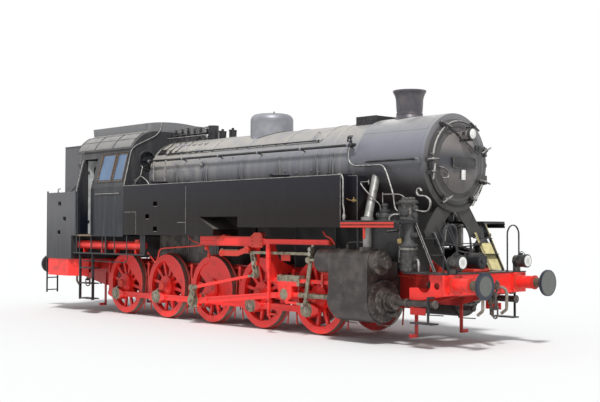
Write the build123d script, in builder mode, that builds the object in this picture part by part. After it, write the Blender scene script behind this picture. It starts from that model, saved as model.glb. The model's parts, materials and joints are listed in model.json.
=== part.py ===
"""Five-coupled side-tank steam locomotive, in millimetres.

+X is forward, +Y is to the left and +Z is up. x = 0 lies halfway between the buffer faces,
y = 0 on the centre line, and z = 0 at the lowest point of the wheel flanges.
"""

import os
from math import asin, atan2, cos, degrees, hypot, pi, radians, sin, sqrt

from build123d import *

os.makedirs("parts", exist_ok=True)

# Sides as pairs of name and sign: planes beside the engine are measured outwards from y = 0
SIDES = (("right", 1), ("left", -1))

# Clearances
SEAT_GAP = 0.3
PIN_GAP = 0.5
FACE_GAP = 0.8
SWING_GAP = 10

# Overall lengths
LENGTH_OVER_BUFFERS = 14060
BUFFER_LENGTH = 650
BUFFER_FACE_X = LENGTH_OVER_BUFFERS / 2
BEAM_X = BUFFER_FACE_X - BUFFER_LENGTH

# Wheels, axles and track gauge
TREAD_RADIUS = 700
FLANGE_HEIGHT = 28
TYRE_THICKNESS = 80
TYRE_BACK = 680
TYRE_WIDTH = 140
AXLE_SPACING = 1650
FRONT_AXLE_X = 3107
AXLE_COUNT = 5
AXLE_RADIUS = 95
SPOKE_COUNT = 12
SPOKE_WIDTH = 62
SPOKE_THICKNESS = 50
RIM_DEPTH = 55
HUB_RADIUS = 215
DRIVEN_AXLE = 3

AXLE_Z = TREAD_RADIUS + FLANGE_HEIGHT
AXLE_X = [FRONT_AXLE_X - AXLE_SPACING * i for i in range(AXLE_COUNT)]
DRIVEN_X = AXLE_X[DRIVEN_AXLE - 1]
TYRE_FACE = TYRE_BACK + TYRE_WIDTH
TYRE_INNER_RADIUS = TREAD_RADIUS - TYRE_THICKNESS
RIM_OUTER_RADIUS = TYRE_INNER_RADIUS - SEAT_GAP
RIM_INNER_RADIUS = RIM_OUTER_RADIUS - RIM_DEPTH

# Cranks and rods
CRANK_RADIUS = 330
CRANK_ANGLE = {"right": 229, "left": 319}
CRANK_PIN_RADIUS = 58
DRIVEN_PIN_RADIUS = 75
CRANK_BOSS_RADIUS = 150
CRANK_BOSS_FACE = 860
SIDE_ROD_WIDTH = 90
SIDE_ROD_SHAFT = 50
SIDE_ROD_DEPTH = 122
SIDE_ROD_EYE = 142
SIDE_ROD_TAPER = 285
SIDE_ROD_FACE = CRANK_BOSS_FACE + SWING_GAP
PIN_END = SIDE_ROD_FACE + SIDE_ROD_WIDTH + 8

# Cylinders, crossheads and main rods
CYLINDER_Y = 1115
CYLINDER_Z = 760
MAIN_ROD_LENGTH = 2940
BIG_END_WIDTH = 110
BIG_END_RADIUS = 150
MAIN_ROD_SHAFT = 80
MAIN_ROD_REAR_DEPTH = 136
MAIN_ROD_FRONT_DEPTH = 104
SMALL_END_WIDTH = 70
SMALL_END_RADIUS = 80
GUDGEON_RADIUS = 45
BIG_END_INNER = CYLINDER_Y - BIG_END_WIDTH / 2
BIG_END_OUTER = CYLINDER_Y + BIG_END_WIDTH / 2

SLIDE_BAR_WIDTH = 100
SLIDE_BAR_DEPTH = 70
SLIDE_BAR_Z = 1025
SHOE_WIDTH = 160
SHOE_DEPTH = 200
SHOE_REAR = 190
SHOE_FRONT = 430
CHEEK_REAR = 150
CHEEK_FRONT = 220
CHEEK_BOTTOM = 668
FORK_WIDTH = SMALL_END_WIDTH + 2 * 6
PISTON_ROD_RADIUS = 50
PISTON_ROD_LENGTH = 1620

# Eccentric gear outside the main rods
RETURN_CRANK_THICKNESS = 60
ECCENTRIC_RADIUS = 110
ECCENTRIC_LEAD = -70
ECCENTRIC_PIN_RADIUS = 35
ECCENTRIC_ROD_WIDTH = 60
ECCENTRIC_ROD_SHAFT = 36
LINK_FOOT = (1722, 1099)
LINK_TOP = (1618, 1520)
LINK_WIDTH = 130
LINK_THICKNESS = 58
COMBINATION_TOP = (3327, 1624)
COMBINATION_FOOT = (3136, 590)
COMBINATION_THICKNESS = 28
RADIUS_ROD_Z = 1540
RADIUS_ROD_THICKNESS = 34
LIFTING_ARM_X = 700
RETURN_CRANK_INNER = BIG_END_OUTER + FACE_GAP
RETURN_CRANK_OUTER = RETURN_CRANK_INNER + RETURN_CRANK_THICKNESS
ECCENTRIC_ROD_INNER = RETURN_CRANK_OUTER + 6
ECCENTRIC_ROD_OUTER = ECCENTRIC_ROD_INNER + ECCENTRIC_ROD_WIDTH
LINK_OUTER = ECCENTRIC_ROD_INNER - 8
LINK_INNER = LINK_OUTER - LINK_THICKNESS

# Cylinder castings and piston valve chests
CASING_REAR_X = 4050
CASING_FRONT_X = 5000
CASING_RADIUS = 385
CASING_INNER = 730
VALVE_Y = 1262
VALVE_Z = 1430
CHEST_RADIUS = 230
CHEST_REAR_X = 3650
CHEST_FRONT_X = 5110
COVER_RADIUS = 330
REAR_COVER_THICKNESS = 90
GLAND_RADIUS = 110
GLAND_LENGTH = 140
FRONT_COVER_THICKNESS = 55
TAIL_BOSS_RADIUS = 120
TAIL_TUBE_RADIUS = 58
TAIL_TUBE_END_X = 6190
STEAM_PIPE_X = 4775
STEAM_PIPE_RADIUS = 76

# Frame
FRAME_Y = 560
FRAME_THICKNESS = 40
FRAME_TOP = 1250
FRAME_BOTTOM = 620
HORN_GAP = 320
HORN_TOP = 930
FRAME_END_X = BEAM_X - 40
FRAME_OUTER = FRAME_Y + FRAME_THICKNESS
BEAM_HALF_WIDTH = 1125
BEAM_BOTTOM = 905
BEAM_THICKNESS = 40
GUSSET_INNER = 1025
GUSSET_THICKNESS = 25

# Buffers and draw gear
BUFFER_Y = 875
BUFFER_Z = 1088
BUFFER_HEAD_RADIUS = 225
BUFFER_HEAD_THICKNESS = 45
BUFFER_CASE_RADIUS = 112
BUFFER_CASE_LENGTH = 380
BUFFER_PLUNGER_RADIUS = 82
BUFFER_FLANGE = 330
DRAW_HOOK_Z = 1075

# Boiler and smokebox
BOILER_Z = 3171
BOILER_RADIUS = 838
BAND_RADIUS = 848
BAND_WIDTH = 70
BAND_X = (-1487, -419, 786, 1960, 3034, 3440)
CAB_FRONT_X = -2540
BOILER_REAR_X = CAB_FRONT_X + SEAT_GAP
SMOKEBOX_REAR_X = 4100
SMOKEBOX_FRONT_X = 5703
SMOKEBOX_RADIUS = 872
FIREBOX_HALF_WIDTH = 520
FIREBOX_FRONT_X = -350
FIREBOX_BOTTOM = 1200
DOOR_RADIUS = 745
DOOR_HINGE_Y = 800
DOOR_HINGE_REACH = 45
DOOR_DISH = 106
DOOR_RIM = 55

# Chimney, dome and fittings
CHIMNEY_X = 4635
CHIMNEY_TOP_Z = 4540
CHIMNEY_RADIUS = 240
CHIMNEY_RIM_RADIUS = 305
DOME_X = 782
DOME_RADIUS = 452
DOME_TOP_Z = 4430
DOME_SHOULDER = 130

# Side tanks
TANK_Y = 1525
TANK_INNER = 880
TANK_REAR_X = BOILER_REAR_X
TANK_FRONT_X = 4360
TANK_TOP = 2950
TANK_REAR_BOTTOM = 1862
TANK_FRONT_BOTTOM = 2030
RECESS_TOP = 2242
RECESS_REAR_X = 270
RECESS_FRONT_X = 1520
FRONT_BOX_X = 4590
FRONT_BOX_INNER = 1150
FRONT_BOX_OUTER = 1330

# Platform beside the smokebox
PLATFORM_TOP = 2150
PLATFORM_THICKNESS = 45
PLATFORM_FRONT_X = 5630
PLATFORM_INNER = 900

# Cab
CAB_REAR_X = -4620
CAB_WALL = 30
CAB_BOTTOM = 1820
CAB_SILL = 2950
EAVE_Y = 1300
EAVE_Z = 3824
FLOOR_THICKNESS = 40
DOORWAY_REAR_X = -4498
DOORWAY_FRONT_X = -3903
DOORWAY_TOP = 3640
DOOR_LEAF_Y = 1290
DOOR_LEAF_THICKNESS = 35
DOOR_OPEN_ANGLE = 60
DOOR_HINGE_X = DOORWAY_REAR_X + 26
DOOR_HINGE_OUT = DOOR_LEAF_Y - DOOR_LEAF_THICKNESS - 8
DOOR_LUG_Z = (2120, 3290)
DOOR_LUG_HEIGHT = 80
DOOR_PIN_RADIUS = 7
SIDE_WINDOW_BOTTOM = 3080
SIDE_WINDOW_TOP = 3730
SIDE_WINDOWS = ((-3690, -3125), (-3055, -2640))
FRONT_WINDOW_Y = 900
FRONT_WINDOW_Z = 3560
FRONT_WINDOW_RADIUS = 200
ROOF_THICKNESS = 30
ROOF_REAR_X = -4900
ROOF_ARC_RADIUS = 790
ROOF_ARC_CENTRE = (614.5, 3484.5)
VENTILATOR_Y = 780
VENTILATOR_BOTTOM = 4257
VENTILATOR_EDGE = 4433
VENTILATOR_TOP = 4500
VENTILATOR_REAR_X = -5023
VENTILATOR_FRONT_X = -2730

# Bunker
BUNKER_REAR_X = -5960
BUNKER_TOP = 2871
BUNKER_BOTTOM = 1269
BUNKER_NOTCH_X = -4800
BUNKER_NOTCH_Z = 1832
COAL_HALF_WIDTH = 1040
COAL_TOP = 4032
COAL_WALL = 30
COAL_FRONT_X = -4660


def side_plane(side, distance):
    """Plane parallel to XZ at this distance from the centre line, on the named side."""
    return Plane.XZ.offset(side * distance)


def crank_pin(name, axle_x):
    """Centre of a crank pin as (x, z)."""
    angle = radians(CRANK_ANGLE[name])
    return axle_x + CRANK_RADIUS * cos(angle), AXLE_Z + CRANK_RADIUS * sin(angle)


def gudgeon(name):
    """Centre of the crosshead pin as (x, z), from the crank pin and the rod's length."""
    pin_x, pin_z = crank_pin(name, DRIVEN_X)
    rise = CYLINDER_Z - pin_z
    return pin_x + sqrt(MAIN_ROD_LENGTH**2 - rise**2), CYLINDER_Z


def eccentric_pin(name):
    """Centre of the return crank's outer pin as (x, z)."""
    angle = radians(CRANK_ANGLE[name] + ECCENTRIC_LEAD)
    return DRIVEN_X + ECCENTRIC_RADIUS * cos(angle), AXLE_Z + ECCENTRIC_RADIUS * sin(angle)


def between(start, end):
    """Sketch location halfway between two points, turned so that its x runs from start to end."""
    angle = degrees(atan2(end[1] - start[1], end[0] - start[0]))
    return Location(((start[0] + end[0]) / 2, (start[1] + end[1]) / 2, 0), (0, 0, angle))


def span(start, end):
    """Distance between two sketch points."""
    return hypot(end[0] - start[0], end[1] - start[1])


# Wheelsets: axle and spoked centres with counterweights and crank pins, and the tyres round them
for number, axle_x in enumerate(AXLE_X, start=1):
    driven = number == DRIVEN_AXLE
    with BuildPart() as wheels:
        # The axle runs between the hubs, which sit just inside the tyres' backs
        axle_half = TYRE_BACK + 15 - SEAT_GAP
        with BuildSketch(side_plane(1, -axle_half)):
            with Locations((axle_x, AXLE_Z)):
                Circle(AXLE_RADIUS)
        extrude(amount=2 * axle_half)
        for name, side in SIDES:
            crank = CRANK_ANGLE[name]
            pin = crank_pin(name, axle_x)
            window_inner = HUB_RADIUS + 25
            window_outer = RIM_INNER_RADIUS - 15
            half_angle = pi / SPOKE_COUNT
            inner_half = window_inner * sin(half_angle) - SPOKE_WIDTH / 2
            outer_half = window_outer * sin(half_angle) - SPOKE_WIDTH / 2
            window_half = (window_outer - window_inner) / 2
            spoke_inner = (TYRE_BACK + TYRE_FACE - SPOKE_THICKNESS) / 2
            with BuildSketch(side_plane(side, spoke_inner)):
                with Locations((axle_x, AXLE_Z)):
                    Circle(RIM_INNER_RADIUS + 5)
                    with PolarLocations(
                        (window_inner + window_outer) / 2, SPOKE_COUNT, crank + degrees(half_angle)
                    ):
                        Polygon(
                            (-window_half, -inner_half),
                            (window_half, -outer_half),
                            (window_half, outer_half),
                            (-window_half, inner_half),
                            align=None,
                            mode=Mode.SUBTRACT,
                        )
            extrude(amount=side * SPOKE_THICKNESS)
            with BuildSketch(side_plane(side, TYRE_BACK + 15)):
                with Locations((axle_x, AXLE_Z)):
                    Circle(HUB_RADIUS)
            extrude(amount=side * (CRANK_BOSS_FACE - 10 - TYRE_BACK - 15))
            with BuildSketch(side_plane(side, spoke_inner - 10)):
                with Locations((axle_x, AXLE_Z)):
                    Circle(HUB_RADIUS - 40)
                with Locations(pin):
                    Circle(CRANK_BOSS_RADIUS)
                make_hull()
            extrude(amount=side * (CRANK_BOSS_FACE - spoke_inner + 10))
            chord = -60 if driven else 345
            away = radians(crank + 180)
            with BuildSketch(side_plane(side, spoke_inner - 20)):
                with Locations((axle_x, AXLE_Z)):
                    Circle(RIM_INNER_RADIUS + 14)
                with Locations(
                    Location(
                        (axle_x + chord * cos(away), AXLE_Z + chord * sin(away), 0),
                        (0, 0, crank + 180),
                    )
                ):
                    Rectangle(
                        2 * TREAD_RADIUS,
                        2 * TREAD_RADIUS,
                        align=(Align.MIN, Align.CENTER),
                        mode=Mode.INTERSECT,
                    )
            extrude(amount=side * (TYRE_FACE - spoke_inner))
            with BuildSketch(side_plane(side, TYRE_BACK + 12)):
                with Locations((axle_x, AXLE_Z)):
                    Circle(RIM_OUTER_RADIUS)
                    Circle(RIM_INNER_RADIUS, mode=Mode.SUBTRACT)
            extrude(amount=side * (TYRE_WIDTH - 12))
            pin_radius = DRIVEN_PIN_RADIUS if driven else CRANK_PIN_RADIUS
            pin_end = BIG_END_INNER - FACE_GAP if driven else PIN_END
            with BuildSketch(side_plane(side, CRANK_BOSS_FACE - 5)):
                with Locations(pin):
                    Circle(pin_radius)
            extrude(amount=side * (pin_end - CRANK_BOSS_FACE + 5))
    wheels.part.label = f"wheels_{number}"
    export_step(wheels.part, f"parts/wheels_{number}.step")

    with BuildPart() as tyres:
        with BuildSketch(Plane.YZ.offset(axle_x)):
            for name, side in SIDES:
                # Tyre section as (distance from the centre line, radius)
                section = [
                    (TYRE_BACK, TYRE_INNER_RADIUS),
                    (TYRE_BACK, TREAD_RADIUS + FLANGE_HEIGHT - 3),
                    (TYRE_BACK + 8, TREAD_RADIUS + FLANGE_HEIGHT),
                    (TYRE_BACK + 20, TREAD_RADIUS + FLANGE_HEIGHT),
                    (TYRE_BACK + 38, TREAD_RADIUS + 2),
                    (TYRE_FACE, TREAD_RADIUS - 4),
                    (TYRE_FACE, TYRE_INNER_RADIUS),
                ]
                Polygon(*[(-side * out, AXLE_Z + r) for out, r in section], align=None)
        revolve(axis=Axis((axle_x, 0, AXLE_Z), (0, 1, 0)))
    tyres.part.label = f"tyres_{number}"
    export_step(tyres.part, f"parts/tyres_{number}.step")


# Rods, crossheads and eccentric gear on each side
for name, side in SIDES:
    pins = [crank_pin(name, axle_x) for axle_x in AXLE_X]
    driven_pin = crank_pin(name, DRIVEN_X)
    cross_pin = gudgeon(name)
    outer_pin = eccentric_pin(name)

    # Side rods coupling all five axles
    with BuildPart() as side_rod:
        shaft_inner = SIDE_ROD_FACE + (SIDE_ROD_WIDTH - SIDE_ROD_SHAFT) / 2
        with BuildSketch(side_plane(side, shaft_inner)):
            with Locations(between(pins[-1], pins[0])):
                Rectangle(span(pins[-1], pins[0]), SIDE_ROD_DEPTH)
        extrude(amount=side * SIDE_ROD_SHAFT)
        # Forged eyes that taper into the shaft on both sides of each pin
        for pin in pins:
            with BuildSketch(side_plane(side, SIDE_ROD_FACE)):
                with Locations(pin):
                    Circle(SIDE_ROD_EYE)
                with Locations((pin[0] - SIDE_ROD_TAPER, pin[1]), (pin[0] + SIDE_ROD_TAPER, pin[1])):
                    Circle(SIDE_ROD_DEPTH / 2 - 8)
                make_hull()
            extrude(amount=side * SIDE_ROD_WIDTH)
        with BuildSketch(side_plane(side, SIDE_ROD_FACE)):
            for number, pin in enumerate(pins, start=1):
                radius = DRIVEN_PIN_RADIUS if number == DRIVEN_AXLE else CRANK_PIN_RADIUS
                with Locations(pin):
                    Circle(radius + PIN_GAP)
        extrude(amount=side * SIDE_ROD_WIDTH, mode=Mode.SUBTRACT)
        # Flutes along the outer face of each bay
        with BuildSketch(side_plane(side, shaft_inner + SIDE_ROD_SHAFT - 14)):
            for rear_pin, front_pin in zip(pins[1:], pins):
                with Locations(between(rear_pin, front_pin)):
                    SlotOverall(AXLE_SPACING - 2 * SIDE_ROD_TAPER - 150, SIDE_ROD_DEPTH - 50)
        extrude(amount=side * 14, mode=Mode.SUBTRACT)
    side_rod.part.label = f"coupling_rod_{name}"
    export_step(side_rod.part, f"parts/coupling_rod_{name}.step")

    # Main rod, with the crank pin's journal left in its big end
    with BuildPart() as main_rod:
        with BuildSketch(side_plane(side, CYLINDER_Y - MAIN_ROD_SHAFT / 2)):
            with Locations(between(driven_pin, cross_pin)):
                half = MAIN_ROD_LENGTH / 2
                Polygon(
                    (-half, -MAIN_ROD_REAR_DEPTH / 2),
                    (half, -MAIN_ROD_FRONT_DEPTH / 2),
                    (half, MAIN_ROD_FRONT_DEPTH / 2),
                    (-half, MAIN_ROD_REAR_DEPTH / 2),
                    align=None,
                )
        extrude(amount=side * MAIN_ROD_SHAFT)
        with BuildSketch(side_plane(side, BIG_END_INNER)):
            with Locations(driven_pin):
                Circle(BIG_END_RADIUS)
            with Locations(between(driven_pin, cross_pin)):
                with Locations((-MAIN_ROD_LENGTH / 2 + 60, 0)):
                    Rectangle(260, 2 * BIG_END_RADIUS - 40)
        extrude(amount=side * BIG_END_WIDTH)
        with BuildSketch(side_plane(side, CYLINDER_Y - SMALL_END_WIDTH / 2)):
            with Locations(cross_pin):
                Circle(SMALL_END_RADIUS)
        extrude(amount=side * SMALL_END_WIDTH)
        # The shaft is thinner than the fork where it enters the crosshead
        with BuildSketch(side_plane(side, CYLINDER_Y - MAIN_ROD_SHAFT / 2)):
            with Locations(cross_pin):
                Circle(SHOE_REAR + 60)
        extrude(
            amount=side * (MAIN_ROD_SHAFT - SMALL_END_WIDTH) / 2,
            mode=Mode.SUBTRACT,
        )
        with BuildSketch(side_plane(side, CYLINDER_Y + SMALL_END_WIDTH / 2)):
            with Locations(cross_pin):
                Circle(SHOE_REAR + 60)
        extrude(
            amount=side * (MAIN_ROD_SHAFT - SMALL_END_WIDTH) / 2,
            mode=Mode.SUBTRACT,
        )
        with BuildSketch(side_plane(side, CYLINDER_Y - SMALL_END_WIDTH / 2)):
            with Locations(cross_pin):
                Circle(GUDGEON_RADIUS + PIN_GAP)
        extrude(amount=side * SMALL_END_WIDTH, mode=Mode.SUBTRACT)
        # Flutes on the outer face
        with BuildSketch(side_plane(side, CYLINDER_Y + MAIN_ROD_SHAFT / 2 - 16)):
            with Locations(between(driven_pin, cross_pin)):
                with Locations((20, 0)):
                    SlotOverall(MAIN_ROD_LENGTH - 900, MAIN_ROD_FRONT_DEPTH - 44)
        extrude(amount=side * 16, mode=Mode.SUBTRACT)
    main_rod.part.label = f"main_rod_{name}"
    export_step(main_rod.part, f"parts/main_rod_{name}.step")

    # Crosshead with its shoes round the slide bar, piston rod, drop arm and union link
    gx, gz = cross_pin
    with BuildPart() as crosshead:
        with BuildSketch(side_plane(side, CYLINDER_Y - SHOE_WIDTH / 2)):
            with Locations((gx + (SHOE_FRONT - SHOE_REAR) / 2, SLIDE_BAR_Z)):
                RectangleRounded(SHOE_FRONT + SHOE_REAR, SHOE_DEPTH, 25)
            cheek_top = SLIDE_BAR_Z - SHOE_DEPTH / 2 + 30
            Polygon(
                (gx - CHEEK_REAR, cheek_top),
                (gx - CHEEK_REAR, gz - 40),
                (gx - CHEEK_REAR + 60, CHEEK_BOTTOM),
                (gx + CHEEK_FRONT - 60, CHEEK_BOTTOM),
                (gx + CHEEK_FRONT, gz - 40),
                (gx + CHEEK_FRONT, cheek_top),
                align=None,
            )
        extrude(amount=side * SHOE_WIDTH)
        # Passage for the slide bar
        with BuildSketch(side_plane(side, CYLINDER_Y - SLIDE_BAR_WIDTH / 2 - PIN_GAP)):
            with Locations((gx + (SHOE_FRONT - SHOE_REAR) / 2, SLIDE_BAR_Z)):
                Rectangle(SHOE_FRONT + SHOE_REAR + 20, SLIDE_BAR_DEPTH + 2 * PIN_GAP)
        extrude(amount=side * (SLIDE_BAR_WIDTH + 2 * PIN_GAP), mode=Mode.SUBTRACT)
        # Fork for the rod's small end
        with BuildSketch(side_plane(side, CYLINDER_Y - FORK_WIDTH / 2)):
            fork_top = SLIDE_BAR_Z - SHOE_DEPTH / 2 - SEAT_GAP
            with Locations((gx + 100, fork_top)):
                Rectangle(
                    CHEEK_REAR + 200, fork_top - CHEEK_BOTTOM + 100, align=(Align.MAX, Align.MAX)
                )
        extrude(amount=side * FORK_WIDTH, mode=Mode.SUBTRACT)
        with BuildSketch(side_plane(side, CYLINDER_Y - SHOE_WIDTH / 2)):
            with Locations(cross_pin):
                Circle(GUDGEON_RADIUS)
        extrude(amount=side * SHOE_WIDTH)
        with BuildSketch(Plane.YZ.offset(gx + CHEEK_FRONT - 40)):
            with Locations((-side * CYLINDER_Y, CYLINDER_Z)):
                Circle(PISTON_ROD_RADIUS)
        extrude(amount=PISTON_ROD_LENGTH - CHEEK_FRONT + 40)
        # Drop arm and union link on the outer cheek
        arm_x = gx + 80
        arm_z = COMBINATION_FOOT[1] + 26
        link_end = (gx + COMBINATION_FOOT[0] - gudgeon("right")[0], COMBINATION_FOOT[1])
        with BuildSketch(side_plane(side, CYLINDER_Y + SHOE_WIDTH / 2 - 32)):
            with Locations((arm_x, gz - 50)):
                Circle(62)
            with Locations((arm_x, arm_z)):
                Circle(36)
            make_hull()
        extrude(amount=side * 32)
        with BuildSketch(side_plane(side, CYLINDER_Y + SHOE_WIDTH / 2 - 26)):
            with Locations((arm_x, arm_z), link_end):
                Circle(32)
            with Locations(between((arm_x, arm_z), link_end)):
                Rectangle(span((arm_x, arm_z), link_end), 42)
        extrude(amount=side * 26)
    crosshead.part.label = f"crosshead_{name}"
    export_step(crosshead.part, f"parts/crosshead_{name}.step")

    # Eccentric rod from the return crank's pin to the foot of the expansion link
    with BuildPart() as eccentric_rod:
        with BuildSketch(side_plane(side, ECCENTRIC_ROD_INNER)):
            with Locations(outer_pin):
                Circle(70)
            with Locations(LINK_FOOT):
                Circle(52)
        extrude(amount=side * ECCENTRIC_ROD_WIDTH)
        shaft_inner = ECCENTRIC_ROD_INNER + (ECCENTRIC_ROD_WIDTH - ECCENTRIC_ROD_SHAFT) / 2
        with BuildSketch(side_plane(side, shaft_inner)):
            with Locations(between(outer_pin, LINK_FOOT)):
                half = span(outer_pin, LINK_FOOT) / 2
                Polygon((-half, -34), (half, -25), (half, 25), (-half, 34), align=None)
        extrude(amount=side * ECCENTRIC_ROD_SHAFT)
        with BuildSketch(side_plane(side, ECCENTRIC_ROD_INNER)):
            with Locations(outer_pin):
                Circle(ECCENTRIC_PIN_RADIUS + PIN_GAP)
        extrude(amount=side * ECCENTRIC_ROD_WIDTH, mode=Mode.SUBTRACT)
        with BuildSketch(side_plane(side, LINK_OUTER + FACE_GAP)):
            with Locations(LINK_FOOT):
                Circle(26)
        extrude(amount=side * (ECCENTRIC_ROD_INNER - LINK_OUTER - FACE_GAP + 5))
    eccentric_rod.part.label = f"eccentric_rod_{name}"
    export_step(eccentric_rod.part, f"parts/eccentric_rod_{name}.step")

# Return cranks, outside the big ends and turning with the driven axle
with BuildPart() as return_cranks:
    for name, side in SIDES:
        with BuildSketch(side_plane(side, RETURN_CRANK_INNER)):
            with Locations(crank_pin(name, DRIVEN_X)):
                Circle(95)
            with Locations(eccentric_pin(name)):
                Circle(62)
            make_hull()
        extrude(amount=side * RETURN_CRANK_THICKNESS)
        with BuildSketch(side_plane(side, RETURN_CRANK_OUTER - 5)):
            with Locations(eccentric_pin(name)):
                Circle(ECCENTRIC_PIN_RADIUS)
        extrude(amount=side * (ECCENTRIC_ROD_OUTER - RETURN_CRANK_OUTER + 11))
return_cranks.part.label = "return_cranks"
export_step(return_cranks.part, "parts/return_cranks.step")


# Expansion links, combination levers and valve spindles
with BuildPart() as valve_gear:
    for name, side in SIDES:
        with BuildSketch(side_plane(side, LINK_INNER)):
            with Locations(between(LINK_FOOT, LINK_TOP)):
                SlotCenterToCenter(span(LINK_FOOT, LINK_TOP), LINK_WIDTH)
                with Locations((40, 0)):
                    SlotOverall(span(LINK_FOOT, LINK_TOP) - 120, 48, mode=Mode.SUBTRACT)
        extrude(amount=side * LINK_THICKNESS)
        lever_inner = LINK_OUTER - COMBINATION_THICKNESS
        with BuildSketch(side_plane(side, lever_inner)):
            with Locations(COMBINATION_TOP):
                Circle(52)
            with Locations(COMBINATION_FOOT):
                Circle(32)
            make_hull()
        extrude(amount=side * COMBINATION_THICKNESS)
        lever_x = COMBINATION_TOP[0] - 36
        with BuildSketch(side_plane(side, lever_inner)):
            with Locations((lever_x, VALVE_Z)):
                Circle(60)
        extrude(amount=side * (VALVE_Y - lever_inner + 36))
        with BuildSketch(Plane.YZ.offset(lever_x)):
            with Locations((-side * VALVE_Y, VALVE_Z)):
                Circle(30)
        extrude(amount=CHEST_REAR_X - lever_x - SEAT_GAP)
        # Radius rod outside the link, with the lifting arm at its rear end
        with BuildSketch(side_plane(side, LINK_OUTER + SEAT_GAP)):
            with Locations((LIFTING_ARM_X, RADIUS_ROD_Z)):
                Circle(62)
            with Locations((COMBINATION_TOP[0] - 12, RADIUS_ROD_Z + 10)):
                Circle(38)
            with Locations(((LIFTING_ARM_X + COMBINATION_TOP[0]) / 2, RADIUS_ROD_Z)):
                Rectangle(COMBINATION_TOP[0] - LIFTING_ARM_X - 20, 52)
            with Locations((LIFTING_ARM_X + 260, RADIUS_ROD_Z)):
                Rectangle(520, 96)
        extrude(amount=side * RADIUS_ROD_THICKNESS)
valve_gear.part.label = "valve_gear"
export_step(valve_gear.part, "parts/valve_gear.step")


# Motion frames: slide bar, its bracket, the link's girder and the outer column
BRACKET_X = 2130
BRACKET_THICKNESS = 40
GIRDER_REAR_X = 43
GIRDER_FRONT_X = 1780
GIRDER_TOP = 1850
GIRDER_BOTTOM = 1660
GIRDER_INNER = 1140
GIRDER_OUTER = 1310
RAIL_FRONT_X = 3870
RAIL_TOP = 1806
RAIL_BOTTOM = 1712
COLUMN_X = 2200
COLUMN_BOTTOM = 341
for name, side in SIDES:
    with BuildPart() as motion_frame:
        # Cross plate between the main frame and the girder, above the rods
        with BuildSketch(Plane.YZ.offset(BRACKET_X)):
            Polygon(
                (-side * FRAME_OUTER, FRAME_TOP - 110),
                (-side * (PIN_END + 30), FRAME_TOP - 110),
                (-side * (CYLINDER_Y - SHOE_WIDTH / 2), SLIDE_BAR_Z - SLIDE_BAR_DEPTH / 2),
                (-side * (CYLINDER_Y + SHOE_WIDTH / 2), SLIDE_BAR_Z - SLIDE_BAR_DEPTH / 2),
                (-side * GIRDER_OUTER, SLIDE_BAR_Z + 200),
                (-side * GIRDER_OUTER, RAIL_TOP),
                (-side * GIRDER_INNER, RAIL_TOP),
                (-side * (PIN_END + 30), FRAME_TOP + 160),
                (-side * FRAME_OUTER, FRAME_TOP - 20),
                align=None,
            )
            with Locations((-side * (LINK_OUTER + RADIUS_ROD_THICKNESS / 2), RADIUS_ROD_Z)):
                Rectangle(RADIUS_ROD_THICKNESS + 20, 130, mode=Mode.SUBTRACT)
        extrude(amount=BRACKET_THICKNESS)
        with BuildSketch(Plane.YZ.offset(BRACKET_X + BRACKET_THICKNESS - 5)):
            with Locations((-side * CYLINDER_Y, SLIDE_BAR_Z)):
                Rectangle(SLIDE_BAR_WIDTH, SLIDE_BAR_DEPTH)
        extrude(amount=CASING_REAR_X - REAR_COVER_THICKNESS - BRACKET_X - BRACKET_THICKNESS + 5)
        # Box girder over the expansion link, then the lighter rail to the cylinder
        with BuildSketch(side_plane(side, GIRDER_INNER)):
            Polygon(
                (GIRDER_REAR_X, GIRDER_BOTTOM),
                (GIRDER_FRONT_X, GIRDER_BOTTOM),
                (BRACKET_X + 20, RAIL_BOTTOM),
                (BRACKET_X + 20, RAIL_TOP),
                (GIRDER_FRONT_X + 60, GIRDER_TOP),
                (GIRDER_REAR_X, GIRDER_TOP),
                align=None,
            )
        extrude(amount=side * (GIRDER_OUTER - GIRDER_INNER))
        with BuildSketch(side_plane(side, GIRDER_OUTER - 60)):
            with Locations(((BRACKET_X + RAIL_FRONT_X) / 2, (RAIL_TOP + RAIL_BOTTOM) / 2)):
                Rectangle(RAIL_FRONT_X - BRACKET_X, RAIL_TOP - RAIL_BOTTOM)
        extrude(amount=side * 60)
        # Hanger that carries the expansion link's trunnion, inside the link
        with BuildSketch(side_plane(side, LINK_INNER - SEAT_GAP - 30)):
            with Locations((1670, 1310)):
                Circle(60)
            with Locations((1670, GIRDER_BOTTOM + 20)):
                Circle(110)
            make_hull()
        extrude(amount=side * 30)
        with BuildSketch(side_plane(side, GIRDER_OUTER - 38)):
            with Locations((COLUMN_X, (COLUMN_BOTTOM + RAIL_BOTTOM) / 2)):
                Rectangle(60, RAIL_BOTTOM - COLUMN_BOTTOM + 20)
        extrude(amount=side * 38)
    motion_frame.part.label = f"motion_frame_{name}"
    export_step(motion_frame.part, f"parts/motion_frame_{name}.step")


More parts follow.
